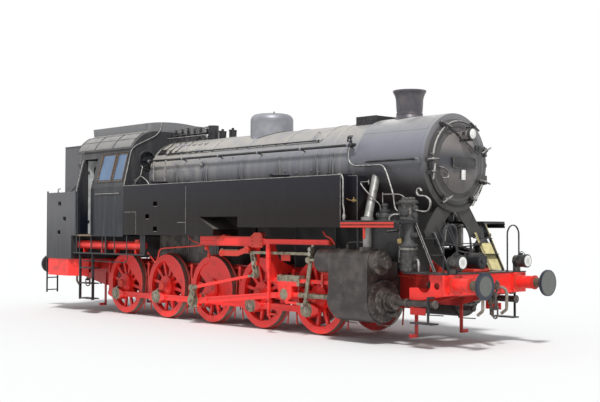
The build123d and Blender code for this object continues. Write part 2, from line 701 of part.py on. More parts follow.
# Cylinders with their piston valve chests
for name, side in SIDES:
    with BuildPart() as cylinder:
        centre_y = -side * CYLINDER_Y
        valve_y = -side * VALVE_Y
        with BuildSketch(Plane.YZ.offset(CASING_REAR_X)):
            with Locations((centre_y, CYLINDER_Z)):
                Circle(CASING_RADIUS)
            Polygon(
                (centre_y - CASING_RADIUS, CYLINDER_Z),
                (centre_y + CASING_RADIUS, CYLINDER_Z),
                (centre_y + CASING_RADIUS, VALVE_Z),
                (centre_y - CASING_RADIUS, VALVE_Z),
                align=None,
            )
            with Locations((valve_y, VALVE_Z)):
                Circle(CHEST_RADIUS)
        extrude(amount=CASING_FRONT_X - CASING_REAR_X)
        with BuildSketch(Plane.YZ.offset(CHEST_REAR_X)):
            with Locations((valve_y, VALVE_Z)):
                Circle(CHEST_RADIUS - 14)
        extrude(amount=CHEST_FRONT_X - CHEST_REAR_X)
        with BuildSketch(Plane.YZ.offset(CHEST_FRONT_X)):
            with Locations((valve_y, VALVE_Z)):
                Circle(120)
        extrude(amount=140)
        # Rear cover and gland
        with BuildSketch(Plane.YZ.offset(CASING_REAR_X - REAR_COVER_THICKNESS)):
            with Locations((centre_y, CYLINDER_Z)):
                Circle(COVER_RADIUS)
        extrude(amount=REAR_COVER_THICKNESS)
        with BuildSketch(Plane.YZ.offset(CASING_REAR_X - REAR_COVER_THICKNESS - GLAND_LENGTH)):
            with Locations((centre_y, CYLINDER_Z)):
                Circle(GLAND_RADIUS)
        extrude(amount=GLAND_LENGTH)
        # Front cover, tail rod boss and closed tail rod tube
        with BuildSketch(Plane.YZ.offset(CASING_FRONT_X)):
            with Locations((centre_y, CYLINDER_Z)):
                Circle(CASING_RADIUS - 12)
        extrude(amount=FRONT_COVER_THICKNESS)
        with BuildSketch(Plane.YZ.offset(CASING_FRONT_X + FRONT_COVER_THICKNESS)):
            with Locations((centre_y, CYLINDER_Z)):
                Circle(TAIL_BOSS_RADIUS)
        extrude(amount=260)
        with BuildSketch(Plane.YZ.offset(CASING_FRONT_X + FRONT_COVER_THICKNESS + 260)):
            with Locations((centre_y, CYLINDER_Z)):
                Circle(TAIL_TUBE_RADIUS)
        extrude(amount=TAIL_TUBE_END_X - CASING_FRONT_X - FRONT_COVER_THICKNESS - 260)
        # Foot on the main frame
        with BuildSketch(side_plane(side, FRAME_OUTER)):
            with Locations(((CASING_REAR_X + CASING_FRONT_X) / 2, 1040)):
                Rectangle(CASING_FRONT_X - CASING_REAR_X - 100, 380)
        extrude(amount=side * (CASING_INNER - FRAME_OUTER + 20))
        # Bore that the piston rod runs in
        bore_rear = CASING_REAR_X - REAR_COVER_THICKNESS - GLAND_LENGTH
        with BuildSketch(Plane.YZ.offset(bore_rear)):
            with Locations((centre_y, CYLINDER_Z)):
                Circle(PISTON_ROD_RADIUS + PIN_GAP)
        extrude(amount=CASING_FRONT_X - 60 - bore_rear, mode=Mode.SUBTRACT)
        # Steam flange on the chest
        with BuildSketch(Plane.XY.offset(VALVE_Z + CHEST_RADIUS - 40)):
            with Locations((STEAM_PIPE_X, valve_y)):
                Circle(135)
        extrude(amount=70)
    cylinder.part.label = f"cylinder_{name}"
    export_step(cylinder.part, f"parts/cylinder_{name}.step")


# Main frame plates with horn gaps, lightening holes and stretchers
STRETCHER_X = (5900, 3900, 2282, 632, -2668, -4700, -6000)
with BuildPart() as frame_plates:
    for name, side in SIDES:
        with BuildSketch(side_plane(side, FRAME_Y)):
            Polygon(
                (-FRAME_END_X, BEAM_BOTTOM),
                (-4700, FRAME_BOTTOM),
                (4300, FRAME_BOTTOM),
                (5300, FRAME_BOTTOM),
                (FRAME_END_X, BEAM_BOTTOM),
                (FRAME_END_X, FRAME_TOP),
                (-FRAME_END_X, FRAME_TOP),
                align=None,
            )
            for axle_x in AXLE_X:
                with Locations((axle_x, FRAME_BOTTOM)):
                    Rectangle(
                        HORN_GAP,
                        HORN_TOP - FRAME_BOTTOM,
                        align=(Align.CENTER, Align.MIN),
                        mode=Mode.SUBTRACT,
                    )
            with Locations(*[(x, 1010) for x in (-5500, -4300, -1018, 632, 2282, 5650)]):
                Circle(115, mode=Mode.SUBTRACT)
        extrude(amount=side * FRAME_THICKNESS)
    for stretcher_x in STRETCHER_X:
        with BuildSketch(Plane.YZ.offset(stretcher_x - 15)):
            with Locations((0, FRAME_TOP - 30)):
                Rectangle(2 * (FRAME_Y - SEAT_GAP), 380, align=(Align.CENTER, Align.MAX))
        extrude(amount=30)
frame_plates.part.label = "frame_plates"
export_step(frame_plates.part, "parts/frame_plates.step")


# Axleboxes in the horn gaps and the leaf springs below them
SPRING_HALF = 480
SPRING_Z = 430
with BuildPart() as suspension:
    for name, side in SIDES:
        for axle_x in AXLE_X:
            with BuildSketch(side_plane(side, FRAME_Y - 50)):
                with Locations((axle_x, AXLE_Z)):
                    Rectangle(HORN_GAP - 2 * SEAT_GAP, 360)
                    Circle(AXLE_RADIUS + PIN_GAP, mode=Mode.SUBTRACT)
            extrude(amount=side * 130)
            # Leaf spring hung under the axlebox, with its hangers up to the frame
            with BuildSketch(side_plane(side, FRAME_Y - 30)):
                with BuildLine():
                    top = AXLE_Z - 180 - SEAT_GAP
                    Line((axle_x - 55, top), (axle_x + 55, top))
                    Line((axle_x + 55, top), (axle_x + 55, SPRING_Z + 70))
                    Line((axle_x + 55, SPRING_Z + 70), (axle_x + SPRING_HALF, SPRING_Z + 110))
                    Line((axle_x + SPRING_HALF, SPRING_Z + 110), (axle_x + SPRING_HALF, SPRING_Z + 60))
                    ThreePointArc(
                        (axle_x + SPRING_HALF, SPRING_Z + 60),
                        (axle_x, SPRING_Z - 20),
                        (axle_x - SPRING_HALF, SPRING_Z + 60),
                    )
                    Line((axle_x - SPRING_HALF, SPRING_Z + 60), (axle_x - SPRING_HALF, SPRING_Z + 110))
                    Line((axle_x - SPRING_HALF, SPRING_Z + 110), (axle_x - 55, SPRING_Z + 70))
                    Line((axle_x - 55, SPRING_Z + 70), (axle_x - 55, top))
                make_face()
                with Locations(
                    (axle_x - SPRING_HALF + 25, FRAME_BOTTOM - SEAT_GAP),
                    (axle_x + SPRING_HALF - 25, FRAME_BOTTOM - SEAT_GAP),
                ):
                    Rectangle(36, FRAME_BOTTOM - SPRING_Z - 90, align=(Align.CENTER, Align.MAX))
            extrude(amount=side * 90)
suspension.part.label = "suspension"
export_step(suspension.part, "parts/suspension.step")


# Brake gear: a shoe and hanger behind each wheel, cross shafts and the pull rod
SHOE_ANGLE = 17
SHOE_GAP = 6
SHOE_THICKNESS = 55
HANGER_TOP = 1190
BRAKE_BEAM_Z = 540
with BuildPart() as brake_gear:
    for axle_x in AXLE_X:
        hanger_x = axle_x - TREAD_RADIUS - SHOE_GAP - SHOE_THICKNESS - 5
        for name, side in SIDES:
            with BuildSketch(side_plane(side, TYRE_BACK + 45)):
                with Locations((axle_x, AXLE_Z)):
                    Circle(TREAD_RADIUS + SHOE_GAP + SHOE_THICKNESS)
                    Circle(TREAD_RADIUS + SHOE_GAP, mode=Mode.SUBTRACT)
                with Locations((axle_x - TREAD_RADIUS, AXLE_Z)):
                    Rectangle(200, 2 * TREAD_RADIUS * sin(radians(SHOE_ANGLE)), mode=Mode.INTERSECT)
            extrude(amount=side * 85)
            with BuildSketch(side_plane(side, TYRE_BACK + 70)):
                with Locations((hanger_x, HANGER_TOP), (hanger_x, BRAKE_BEAM_Z)):
                    Circle(42)
                with Locations((hanger_x, (HANGER_TOP + BRAKE_BEAM_Z) / 2)):
                    Rectangle(46, HANGER_TOP - BRAKE_BEAM_Z)
            extrude(amount=side * 34)
            with BuildSketch(side_plane(side, FRAME_OUTER)):
                with Locations((hanger_x, HANGER_TOP)):
                    Circle(28)
            extrude(amount=side * (TYRE_BACK + 80 - FRAME_OUTER))
        shaft_half = TYRE_BACK + 70 - SEAT_GAP
        with BuildSketch(side_plane(1, -shaft_half)):
            with Locations((hanger_x, BRAKE_BEAM_Z)):
                Circle(26)
        extrude(amount=2 * shaft_half)
    rod_rear = AXLE_X[-1] - TREAD_RADIUS - SHOE_GAP - SHOE_THICKNESS - 5
    rod_front = AXLE_X[0] - TREAD_RADIUS
    with BuildSketch(Plane.YZ.offset(rod_rear - 300)):
        with Locations((0, BRAKE_BEAM_Z - 26 - SEAT_GAP)):
            Rectangle(60, 34, align=(Align.CENTER, Align.MAX))
    extrude(amount=rod_front - rod_rear + 300)
brake_gear.part.label = "brake_gear"
export_step(brake_gear.part, "parts/brake_gear.step")


# Buffer beams with the fixed buffer cases, and the holed side plates behind the front beam
with BuildPart() as buffer_beams:
    for end in (1, -1):
        with BuildSketch(Plane.YZ.offset(end * BEAM_X)):
            with Locations((0, (BEAM_BOTTOM + FRAME_TOP) / 2)):
                Rectangle(2 * BEAM_HALF_WIDTH, FRAME_TOP - BEAM_BOTTOM)
            with Locations((0, DRAW_HOOK_Z)):
                Rectangle(50 + 2 * SEAT_GAP, 70 + 2 * SEAT_GAP, mode=Mode.SUBTRACT)
        extrude(amount=-end * BEAM_THICKNESS)
        with BuildSketch(Plane.YZ.offset(end * BEAM_X)):
            with Locations((-BUFFER_Y, BUFFER_Z), (BUFFER_Y, BUFFER_Z)):
                RectangleRounded(BUFFER_FLANGE, BUFFER_FLANGE, 40)
        extrude(amount=end * 25)
        with BuildSketch(Plane.YZ.offset(end * BEAM_X)):
            with Locations((-BUFFER_Y, BUFFER_Z), (BUFFER_Y, BUFFER_Z)):
                Circle(BUFFER_CASE_RADIUS)
                Circle(BUFFER_PLUNGER_RADIUS + SEAT_GAP, mode=Mode.SUBTRACT)
        extrude(amount=end * BUFFER_CASE_LENGTH)
    for name, side in SIDES:
        with BuildSketch(side_plane(side, GUSSET_INNER)):
            Polygon(
                (5560, 772),
                (BEAM_X - BEAM_THICKNESS, BEAM_BOTTOM),
                (BEAM_X - BEAM_THICKNESS, FRAME_TOP),
                (6000, FRAME_TOP),
                (5990, 1180),
                (5760, 1023),
                (5560, 1013),
                align=None,
            )
            with Locations((5880, 1085)):
                Circle(145, mode=Mode.SUBTRACT)
            with Locations((6155, 1060)):
                Circle(62, mode=Mode.SUBTRACT)
            with Locations((5574, 560)):
                Rectangle(330, 120, align=(Align.MIN, Align.MIN))
            with Locations((5574, 660)):
                Rectangle(60, 140, align=(Align.MIN, Align.MIN))
        extrude(amount=side * GUSSET_THICKNESS)
        # Bracket from the side plate in to the main frame
        with BuildSketch(side_plane(side, FRAME_OUTER)):
            with Locations((5620, 900)):
                Rectangle(40, 180)
        extrude(amount=side * (GUSSET_INNER + 5 - FRAME_OUTER))
buffer_beams.part.label = "buffer_beams"
export_step(buffer_beams.part, "parts/buffer_beams.step")

with BuildPart() as buffer_heads:
    for end in (1, -1):
        with BuildSketch(Plane.YZ.offset(end * (BEAM_X + 60))):
            with Locations((-BUFFER_Y, BUFFER_Z), (BUFFER_Y, BUFFER_Z)):
                Circle(BUFFER_PLUNGER_RADIUS)
        extrude(amount=end * (BUFFER_LENGTH - 60 - BUFFER_HEAD_THICKNESS + 10))
        with BuildSketch(Plane.YZ.offset(end * (BUFFER_FACE_X - BUFFER_HEAD_THICKNESS))):
            with Locations((-BUFFER_Y, BUFFER_Z), (BUFFER_Y, BUFFER_Z)):
                Circle(BUFFER_HEAD_RADIUS)
        extrude(amount=end * BUFFER_HEAD_THICKNESS)
buffer_heads.part.label = "buffer_heads"
export_step(buffer_heads.part, "parts/buffer_heads.step")

# Draw hooks with screw couplings hanging from them
with BuildPart() as draw_gear:
    for end in (1, -1):
        with BuildSketch(Plane.XZ.offset(-25)):
            with BuildLine():
                shank = end * (BEAM_X - 90)
                neck = end * (BEAM_X + 110)
                tip = end * (BEAM_X + 250)
                Line((shank, DRAW_HOOK_Z - 35), (shank, DRAW_HOOK_Z + 35))
                Line((shank, DRAW_HOOK_Z + 35), (neck, DRAW_HOOK_Z + 35))
                Line((neck, DRAW_HOOK_Z + 35), (neck, DRAW_HOOK_Z + 10))
                ThreePointArc(
                    (neck, DRAW_HOOK_Z + 10),
                    (end * (BEAM_X + 155), DRAW_HOOK_Z - 30),
                    (end * (BEAM_X + 200), DRAW_HOOK_Z + 10),
                )
                Line((end * (BEAM_X + 200), DRAW_HOOK_Z + 10), (end * (BEAM_X + 200), DRAW_HOOK_Z + 75))
                ThreePointArc(
                    (end * (BEAM_X + 200), DRAW_HOOK_Z + 75),
                    (tip, DRAW_HOOK_Z + 10),
                    (end * (BEAM_X + 190), DRAW_HOOK_Z - 95),
                )
                Line((end * (BEAM_X + 190), DRAW_HOOK_Z - 95), (neck, DRAW_HOOK_Z - 95))
                Line((neck, DRAW_HOOK_Z - 95), (end * (BEAM_X + 40), DRAW_HOOK_Z - 35))
                Line((end * (BEAM_X + 40), DRAW_HOOK_Z - 35), (shank, DRAW_HOOK_Z - 35))
            make_face()
        extrude(amount=50)
        # Screw coupling: two side links, a spindle and the lower shackle
        for link_y in (25 + SEAT_GAP, -49 - SEAT_GAP):
            with BuildSketch(Plane.XZ.offset(link_y)):
                with Locations(between((end * (BEAM_X + 70), DRAW_HOOK_Z - 30), (end * (BEAM_X + 85), 790))):
                    SlotOverall(360, 60)
            extrude(amount=24)
        with BuildSketch(Plane.XZ.offset(-60)):
            with Locations((end * (BEAM_X + 85), 800)):
                Circle(24)
        extrude(amount=120)
        with BuildSketch(Plane.XZ.offset(-14)):
            with Locations((end * (BEAM_X + 90), 700)):
                SlotOverall(300, 44, rotation=90)
        extrude(amount=28)
draw_gear.part.label = "draw_gear"
export_step(draw_gear.part, "parts/draw_gear.step")


# Boiler: lagged barrel with cladding bands, and the firebox down between the frames
boiler_axis = Axis((0, 0, BOILER_Z), (1, 0, 0))
BOILER_PLATE_X = (1000, 2130, 3260)
BOILER_PLATE_HALF_WIDTH = 560
with BuildPart() as boiler:
    with BuildSketch(Plane.YZ.offset(BOILER_REAR_X)):
        with Locations((0, BOILER_Z)):
            Circle(BOILER_RADIUS)
    extrude(amount=SMOKEBOX_REAR_X - BOILER_REAR_X)
    for band_x in BAND_X:
        with BuildSketch(Plane.YZ.offset(band_x - BAND_WIDTH / 2)):
            with Locations((0, BOILER_Z)):
                Circle(BAND_RADIUS)
        extrude(amount=BAND_WIDTH)
    with BuildSketch(Plane.YZ.offset(BOILER_REAR_X)):
        with Locations((0, FIREBOX_BOTTOM)):
            Rectangle(
                2 * FIREBOX_HALF_WIDTH,
                BOILER_Z - BOILER_RADIUS - FIREBOX_BOTTOM + 300,
                align=(Align.CENTER, Align.MIN),
            )
    extrude(amount=FIREBOX_FRONT_X - BOILER_REAR_X)
    # Thin plates across the frames that carry the barrel
    for plate_x in BOILER_PLATE_X:
        with BuildSketch(Plane.YZ.offset(plate_x)):
            with Locations((0, FRAME_TOP + SEAT_GAP)):
                Rectangle(
                    2 * BOILER_PLATE_HALF_WIDTH,
                    BOILER_Z - BOILER_RADIUS + 250 - FRAME_TOP,
                    align=(Align.CENTER, Align.MIN),
                )
        extrude(amount=16)
boiler.part.label = "boiler"
export_step(boiler.part, "parts/boiler.step")

# Ashpan under the firebox
with BuildPart() as ash_pan:
    with BuildSketch(Plane.YZ.offset(BOILER_REAR_X + 180)):
        Polygon((-420, 850), (420, 850), (FIREBOX_HALF_WIDTH - 20, FIREBOX_BOTTOM), (-FIREBOX_HALF_WIDTH + 20, FIREBOX_BOTTOM), align=None)
    extrude(amount=FIREBOX_FRONT_X - BOILER_REAR_X - 260)
ash_pan.part.label = "ash_pan"
export_step(ash_pan.part, "parts/ash_pan.step")

# Smokebox on its saddle, with the front ring, stay plates and door hinge lugs
with BuildPart() as smokebox:
    with BuildSketch(Plane.YZ.offset(SMOKEBOX_REAR_X)):
        with Locations((0, BOILER_Z)):
            Circle(SMOKEBOX_RADIUS)
    extrude(amount=SMOKEBOX_FRONT_X - 70 - SMOKEBOX_REAR_X)
    with BuildSketch(Plane.YZ.offset(SMOKEBOX_FRONT_X - 70)):
        with Locations((0, BOILER_Z)):
            Circle(SMOKEBOX_RADIUS - 14)
    extrude(amount=70)
    # Saddle between the frames
    with BuildSketch(Plane.YZ.offset(4250)):
        Polygon(
            (-FRAME_Y + SEAT_GAP, 800),
            (FRAME_Y - SEAT_GAP, 800),
            (FRAME_Y - SEAT_GAP, 1500),
            (FRAME_Y - 40, 2600),
            (-FRAME_Y + 40, 2600),
            (-FRAME_Y + SEAT_GAP, 1500),
            align=None,
        )
    extrude(amount=700)
    # Stay plates under the front ring, one to each side
    for side in (1, -1):
        with BuildSketch(Plane.YZ.offset(SMOKEBOX_FRONT_X - 60)):
            Polygon(
                (side * 60, 2330),
                (side * 420, 2420),
                (side * 790, 1960),
                (side * 760, 1860),
                (side * 500, 1860),
                align=None,
            )
        extrude(amount=25)
        with BuildSketch(Plane.XY.offset(BOILER_Z + side * 250 - 110)):
            with Locations((SMOKEBOX_FRONT_X + DOOR_HINGE_REACH, DOOR_HINGE_Y)):
                Circle(26)
            with Locations((SMOKEBOX_FRONT_X, DOOR_HINGE_Y)):
                Rectangle(2 * DOOR_HINGE_REACH, 40)
        extrude(amount=50)
        with BuildSketch(Plane.XY.offset(BOILER_Z + side * 250 - 70)):
            with Locations((SMOKEBOX_FRONT_X + DOOR_HINGE_REACH, DOOR_HINGE_Y)):
                Circle(12)
        extrude(amount=110)
smokebox.part.label = "smokebox"
export_step(smokebox.part, "parts/smokebox.step")

# Dished smokebox door with its rim, two hinge straps, hand wheel boss and top lamp
with BuildPart() as smokebox_door:
    back = SMOKEBOX_FRONT_X + SEAT_GAP
    with BuildSketch(Plane.XZ):
        with BuildLine():
            Line((back, BOILER_Z), (back, BOILER_Z + DOOR_RADIUS))
            Line((back, BOILER_Z + DOOR_RADIUS), (back + 30, BOILER_Z + DOOR_RADIUS))
            Line((back + 30, BOILER_Z + DOOR_RADIUS), (back + DOOR_RIM, BOILER_Z + DOOR_RADIUS - 60))
            Line(
                (back + DOOR_RIM, BOILER_Z + DOOR_RADIUS - 60),
                (back + DOOR_RIM, BOILER_Z + DOOR_RADIUS - 120),
            )
            # The dish is part of a sphere centred on the boiler's axis
            dish_radius = DOOR_RADIUS - 120
            sphere = (dish_radius**2 + DOOR_DISH**2) / (2 * DOOR_DISH)
            mid_drop = sphere - sqrt(sphere**2 - (dish_radius / 2) ** 2)
            dish_front = back + DOOR_RIM + DOOR_DISH
            ThreePointArc(
                (back + DOOR_RIM, BOILER_Z + dish_radius),
                (dish_front - mid_drop, BOILER_Z + dish_radius / 2),
                (dish_front, BOILER_Z),
            )
            Line((dish_front, BOILER_Z), (back, BOILER_Z))
        make_face()
    revolve(axis=boiler_axis)
    # Hinge straps that reach to the vertical pins on the left
    for height in (-250, 250):
        with BuildSketch(Plane.XY.offset(BOILER_Z + height - 50)):
            with Locations((SMOKEBOX_FRONT_X + DOOR_HINGE_REACH, DOOR_HINGE_Y)):
                Circle(26)
            with Locations((back + 28, DOOR_HINGE_Y)):
                Rectangle(46, 480, align=(Align.MIN, Align.MAX))
            with Locations((SMOKEBOX_FRONT_X + DOOR_HINGE_REACH, DOOR_HINGE_Y)):
                Circle(12 + PIN_GAP, mode=Mode.SUBTRACT)
        extrude(amount=100)
    # Top lamp on its bracket
    with BuildSketch(Plane.YZ.offset(back + 20)):
        with Locations((0, BOILER_Z + 476)):
            Rectangle(90, 60)
    extrude(amount=210)
    with BuildSketch(Plane.YZ.offset(back + 185)):
        with Locations((0, BOILER_Z + 484)):
            Circle(100)
    extrude(amount=195)
smokebox_door.part.label = "smokebox_door"
export_step(smokebox_door.part, "parts/smokebox_door.step")


# Chimney and dome, turned and cut to the barrel
with BuildPart() as chimney:
    foot_z = BOILER_Z + sqrt(SMOKEBOX_RADIUS**2 - 420**2) - 20
    with BuildSketch(Plane.XZ):
        with BuildLine():
            Line((CHIMNEY_X, foot_z), (CHIMNEY_X + 420, foot_z))
            Line((CHIMNEY_X + 420, foot_z), (CHIMNEY_X + 400, foot_z + 30))
            ThreePointArc(
                (CHIMNEY_X + 400, foot_z + 30),
                (CHIMNEY_X + 270, foot_z + 110),
                (CHIMNEY_X + CHIMNEY_RADIUS, foot_z + 260),
            )
            Line(
                (CHIMNEY_X + CHIMNEY_RADIUS, foot_z + 260),
                (CHIMNEY_X + CHIMNEY_RADIUS + 10, CHIMNEY_TOP_Z - 200),
            )
            ThreePointArc(
                (CHIMNEY_X + CHIMNEY_RADIUS + 10, CHIMNEY_TOP_Z - 200),
                (CHIMNEY_X + CHIMNEY_RADIUS + 0.3 * (CHIMNEY_RIM_RADIUS - CHIMNEY_RADIUS) + 7, CHIMNEY_TOP_Z - 105),
                (CHIMNEY_X + CHIMNEY_RIM_RADIUS, CHIMNEY_TOP_Z - 28),
            )
            Line(
                (CHIMNEY_X + CHIMNEY_RIM_RADIUS, CHIMNEY_TOP_Z - 28),
                (CHIMNEY_X + CHIMNEY_RIM_RADIUS, CHIMNEY_TOP_Z),
            )
            Line((CHIMNEY_X + CHIMNEY_RIM_RADIUS, CHIMNEY_TOP_Z), (CHIMNEY_X + 205, CHIMNEY_TOP_Z))
            Line((CHIMNEY_X + 205, CHIMNEY_TOP_Z), (CHIMNEY_X + 205, CHIMNEY_TOP_Z - 350))
            Line((CHIMNEY_X + 205, CHIMNEY_TOP_Z - 350), (CHIMNEY_X, CHIMNEY_TOP_Z - 350))
            Line((CHIMNEY_X, CHIMNEY_TOP_Z - 350), (CHIMNEY_X, foot_z))
        make_face()
    revolve(axis=Axis((CHIMNEY_X, 0, 0), (0, 0, 1)))
    with BuildSketch(Plane.YZ.offset(SMOKEBOX_REAR_X)):
        with Locations((0, BOILER_Z)):
            Circle(SMOKEBOX_RADIUS + SEAT_GAP)
    extrude(amount=1600, mode=Mode.SUBTRACT)
chimney.part.label = "chimney"
export_step(chimney.part, "parts/chimney.step")

with BuildPart() as steam_dome:
    foot_z = BOILER_Z + sqrt(BAND_RADIUS**2 - 540**2) - 10
    with BuildSketch(Plane.XZ):
        with BuildLine():
            Line((DOME_X, foot_z), (DOME_X + 540, foot_z))
            ThreePointArc(
                (DOME_X + 540, foot_z),
                (DOME_X + DOME_RADIUS + 22, foot_z + 45),
                (DOME_X + DOME_RADIUS, foot_z + 130),
            )
            Line((DOME_X + DOME_RADIUS, foot_z + 130), (DOME_X + DOME_RADIUS, DOME_TOP_Z - DOME_SHOULDER - 30))
            ThreePointArc(
                (DOME_X + DOME_RADIUS, DOME_TOP_Z - DOME_SHOULDER - 30),
                (DOME_X + DOME_RADIUS - DOME_SHOULDER * 0.3, DOME_TOP_Z - DOME_SHOULDER * 0.3 - 22),
                (DOME_X + DOME_RADIUS - DOME_SHOULDER, DOME_TOP_Z - 18),
            )
            Line((DOME_X + DOME_RADIUS - DOME_SHOULDER, DOME_TOP_Z - 18), (DOME_X, DOME_TOP_Z))
            Line((DOME_X, DOME_TOP_Z), (DOME_X, foot_z))
        make_face()
    revolve(axis=Axis((DOME_X, 0, 0), (0, 0, 1)))
    with BuildSketch(Plane.YZ.offset(DOME_X - 700)):
        with Locations((0, BOILER_Z)):
            Circle(BAND_RADIUS + SEAT_GAP)
    extrude(amount=1400, mode=Mode.SUBTRACT)
steam_dome.part.label = "steam_dome"
export_step(steam_dome.part, "parts/steam_dome.step")

# Safety valves, whistle turret and the casing behind the chimney
with BuildPart() as boiler_fittings:
    crown = BOILER_Z + BOILER_RADIUS + SEAT_GAP
    for valve_x in (-892, -530):
        with BuildSketch(Plane.XY.offset(crown)):
            with Locations((valve_x, 0)):
                Circle(70)
        extrude(amount=60)
        with BuildSketch(Plane.XY.offset(crown + 60)):
            with Locations((valve_x, 0)):
                Circle(48)
        extrude(amount=100)
    with BuildSketch(Plane.XY.offset(crown)):
        with Locations((-1150, -60)):
            Circle(120)
    extrude(amount=300)
    with BuildSketch(Plane.XY.offset(BOILER_Z + 700)):
        with Locations(((3570 + 4100 - SEAT_GAP) / 2, 0)):
            Rectangle(4100 - SEAT_GAP - 3570, 620)
    extrude(amount=240)
    with BuildSketch(Plane.YZ.offset(-1500)):
        with Locations((0, BOILER_Z)):
            Circle(BOILER_RADIUS + SEAT_GAP)
    extrude(amount=6000, mode=Mode.SUBTRACT)
boiler_fittings.part.label = "boiler_fittings"
export_step(boiler_fittings.part, "parts/boiler_fittings.step")


# Side tanks with three foot recesses, and the smaller box ahead of each
FOOT_RECESSES = ((-1290, 2530), (-1590, 2260), (-1290, 1990))
for name, side in SIDES:
    with BuildPart() as tank:
        with BuildSketch(side_plane(side, TANK_INNER)):
            Polygon(
                (TANK_REAR_X, TANK_REAR_BOTTOM),
                (RECESS_REAR_X + 470, TANK_REAR_BOTTOM),
                (RECESS_REAR_X + 490, 1995),
                (RECESS_REAR_X, RECESS_TOP),
                (RECESS_FRONT_X, RECESS_TOP),
                (RECESS_FRONT_X, TANK_FRONT_BOTTOM),
                (TANK_FRONT_X, TANK_FRONT_BOTTOM),
                (TANK_FRONT_X, TANK_TOP),
                (TANK_REAR_X, TANK_TOP),
                align=None,
            )
        extrude(amount=side * (TANK_Y - TANK_INNER))
        with BuildSketch(side_plane(side, TANK_Y - 110)):
            with Locations(*FOOT_RECESSES):
                RectangleRounded(150, 110, 25)
        extrude(amount=side * 110, mode=Mode.SUBTRACT)
        with BuildSketch(side_plane(side, FRONT_BOX_INNER)):
            with Locations((TANK_FRONT_X - 5, PLATFORM_TOP + SEAT_GAP)):
                Rectangle(
                    FRONT_BOX_X - TANK_FRONT_X + 5,
                    TANK_TOP - 14 - PLATFORM_TOP - SEAT_GAP,
                    align=(Align.MIN, Align.MIN),
                )
        extrude(amount=side * (FRONT_BOX_OUTER - FRONT_BOX_INNER))
    tank.part.label = f"side_tank_{name}"
    export_step(tank.part, f"parts/side_tank_{name}.step")

# Red platforms beside the smokebox and the low deck behind the front beam
DRUM_Z = 1455
DRUM_RADIUS = 140
LADDER_OUTER_Y = 920
LADDER_INNER_Y = 570
LADDER_LEAN = 0.5129
LADDER_INNER_TOP = 1936
with BuildPart() as front_platform:
    for name, side in SIDES:
        with BuildSketch(side_plane(side, PLATFORM_INNER)):
            with Locations((TANK_FRONT_X + 2, PLATFORM_TOP)):
                Rectangle(
                    PLATFORM_FRONT_X - TANK_FRONT_X - 2, PLATFORM_THICKNESS, align=(Align.MIN, Align.MAX)
                )
        extrude(amount=side * (TANK_Y - PLATFORM_INNER))
        # Post on the valve chest
        post_bottom = VALVE_Z + CHEST_RADIUS + SEAT_GAP
        post_top = PLATFORM_TOP - PLATFORM_THICKNESS - SEAT_GAP
        with BuildSketch(side_plane(side, VALVE_Y - 20)):
            with Locations((4560, post_bottom)):
                Rectangle(40, post_top - post_bottom, align=(Align.CENTER, Align.MIN))
        extrude(amount=side * 40)
    with BuildSketch(Plane.XY.offset(FRAME_TOP)):
        with Locations(((5480 + BEAM_X) / 2, 0)):
            Rectangle(BEAM_X - 5480, 2 * BEAM_HALF_WIDTH)
            Rectangle(BEAM_X - 5480 - 500, 760, mode=Mode.SUBTRACT)
    extrude(amount=20)
    # Rear deck behind the bunker
    with BuildSketch(Plane.XY.offset(FRAME_TOP)):
        with Locations(((BUNKER_REAR_X - BEAM_X) / 2, 0)):
            Rectangle(BEAM_X + BUNKER_REAR_X - 2, 2 * BEAM_HALF_WIDTH)
    extrude(amount=20)
front_platform.part.label = "platforms"
export_step(front_platform.part, "parts/platforms.step")

# Drum lying on the middle of the front deck, with its end rings and foot
with BuildPart() as front_drum:
    with BuildSketch(Plane.YZ.offset(5965)):
        with Locations((0, DRUM_Z)):
            Circle(DRUM_RADIUS)
    extrude(amount=310)
    with BuildSketch(Plane.YZ.offset(6275)):
        with Locations((0, DRUM_Z)):
            Circle(DRUM_RADIUS - 12)
    extrude(amount=18)
    with BuildSketch(Plane.YZ.offset(6235)):
        with Locations((0, DRUM_Z)):
            Circle(DRUM_RADIUS + 14)
    extrude(amount=22)
    with BuildSketch(Plane.YZ.offset(6150)):
        with Locations((0, FRAME_TOP + 20 + SEAT_GAP)):
            Rectangle(220, DRUM_Z - FRAME_TOP - 60, align=(Align.CENTER, Align.MIN))
    extrude(amount=80)
front_drum.part.label = "front_drum"
export_step(front_drum.part, "parts/front_drum.step")


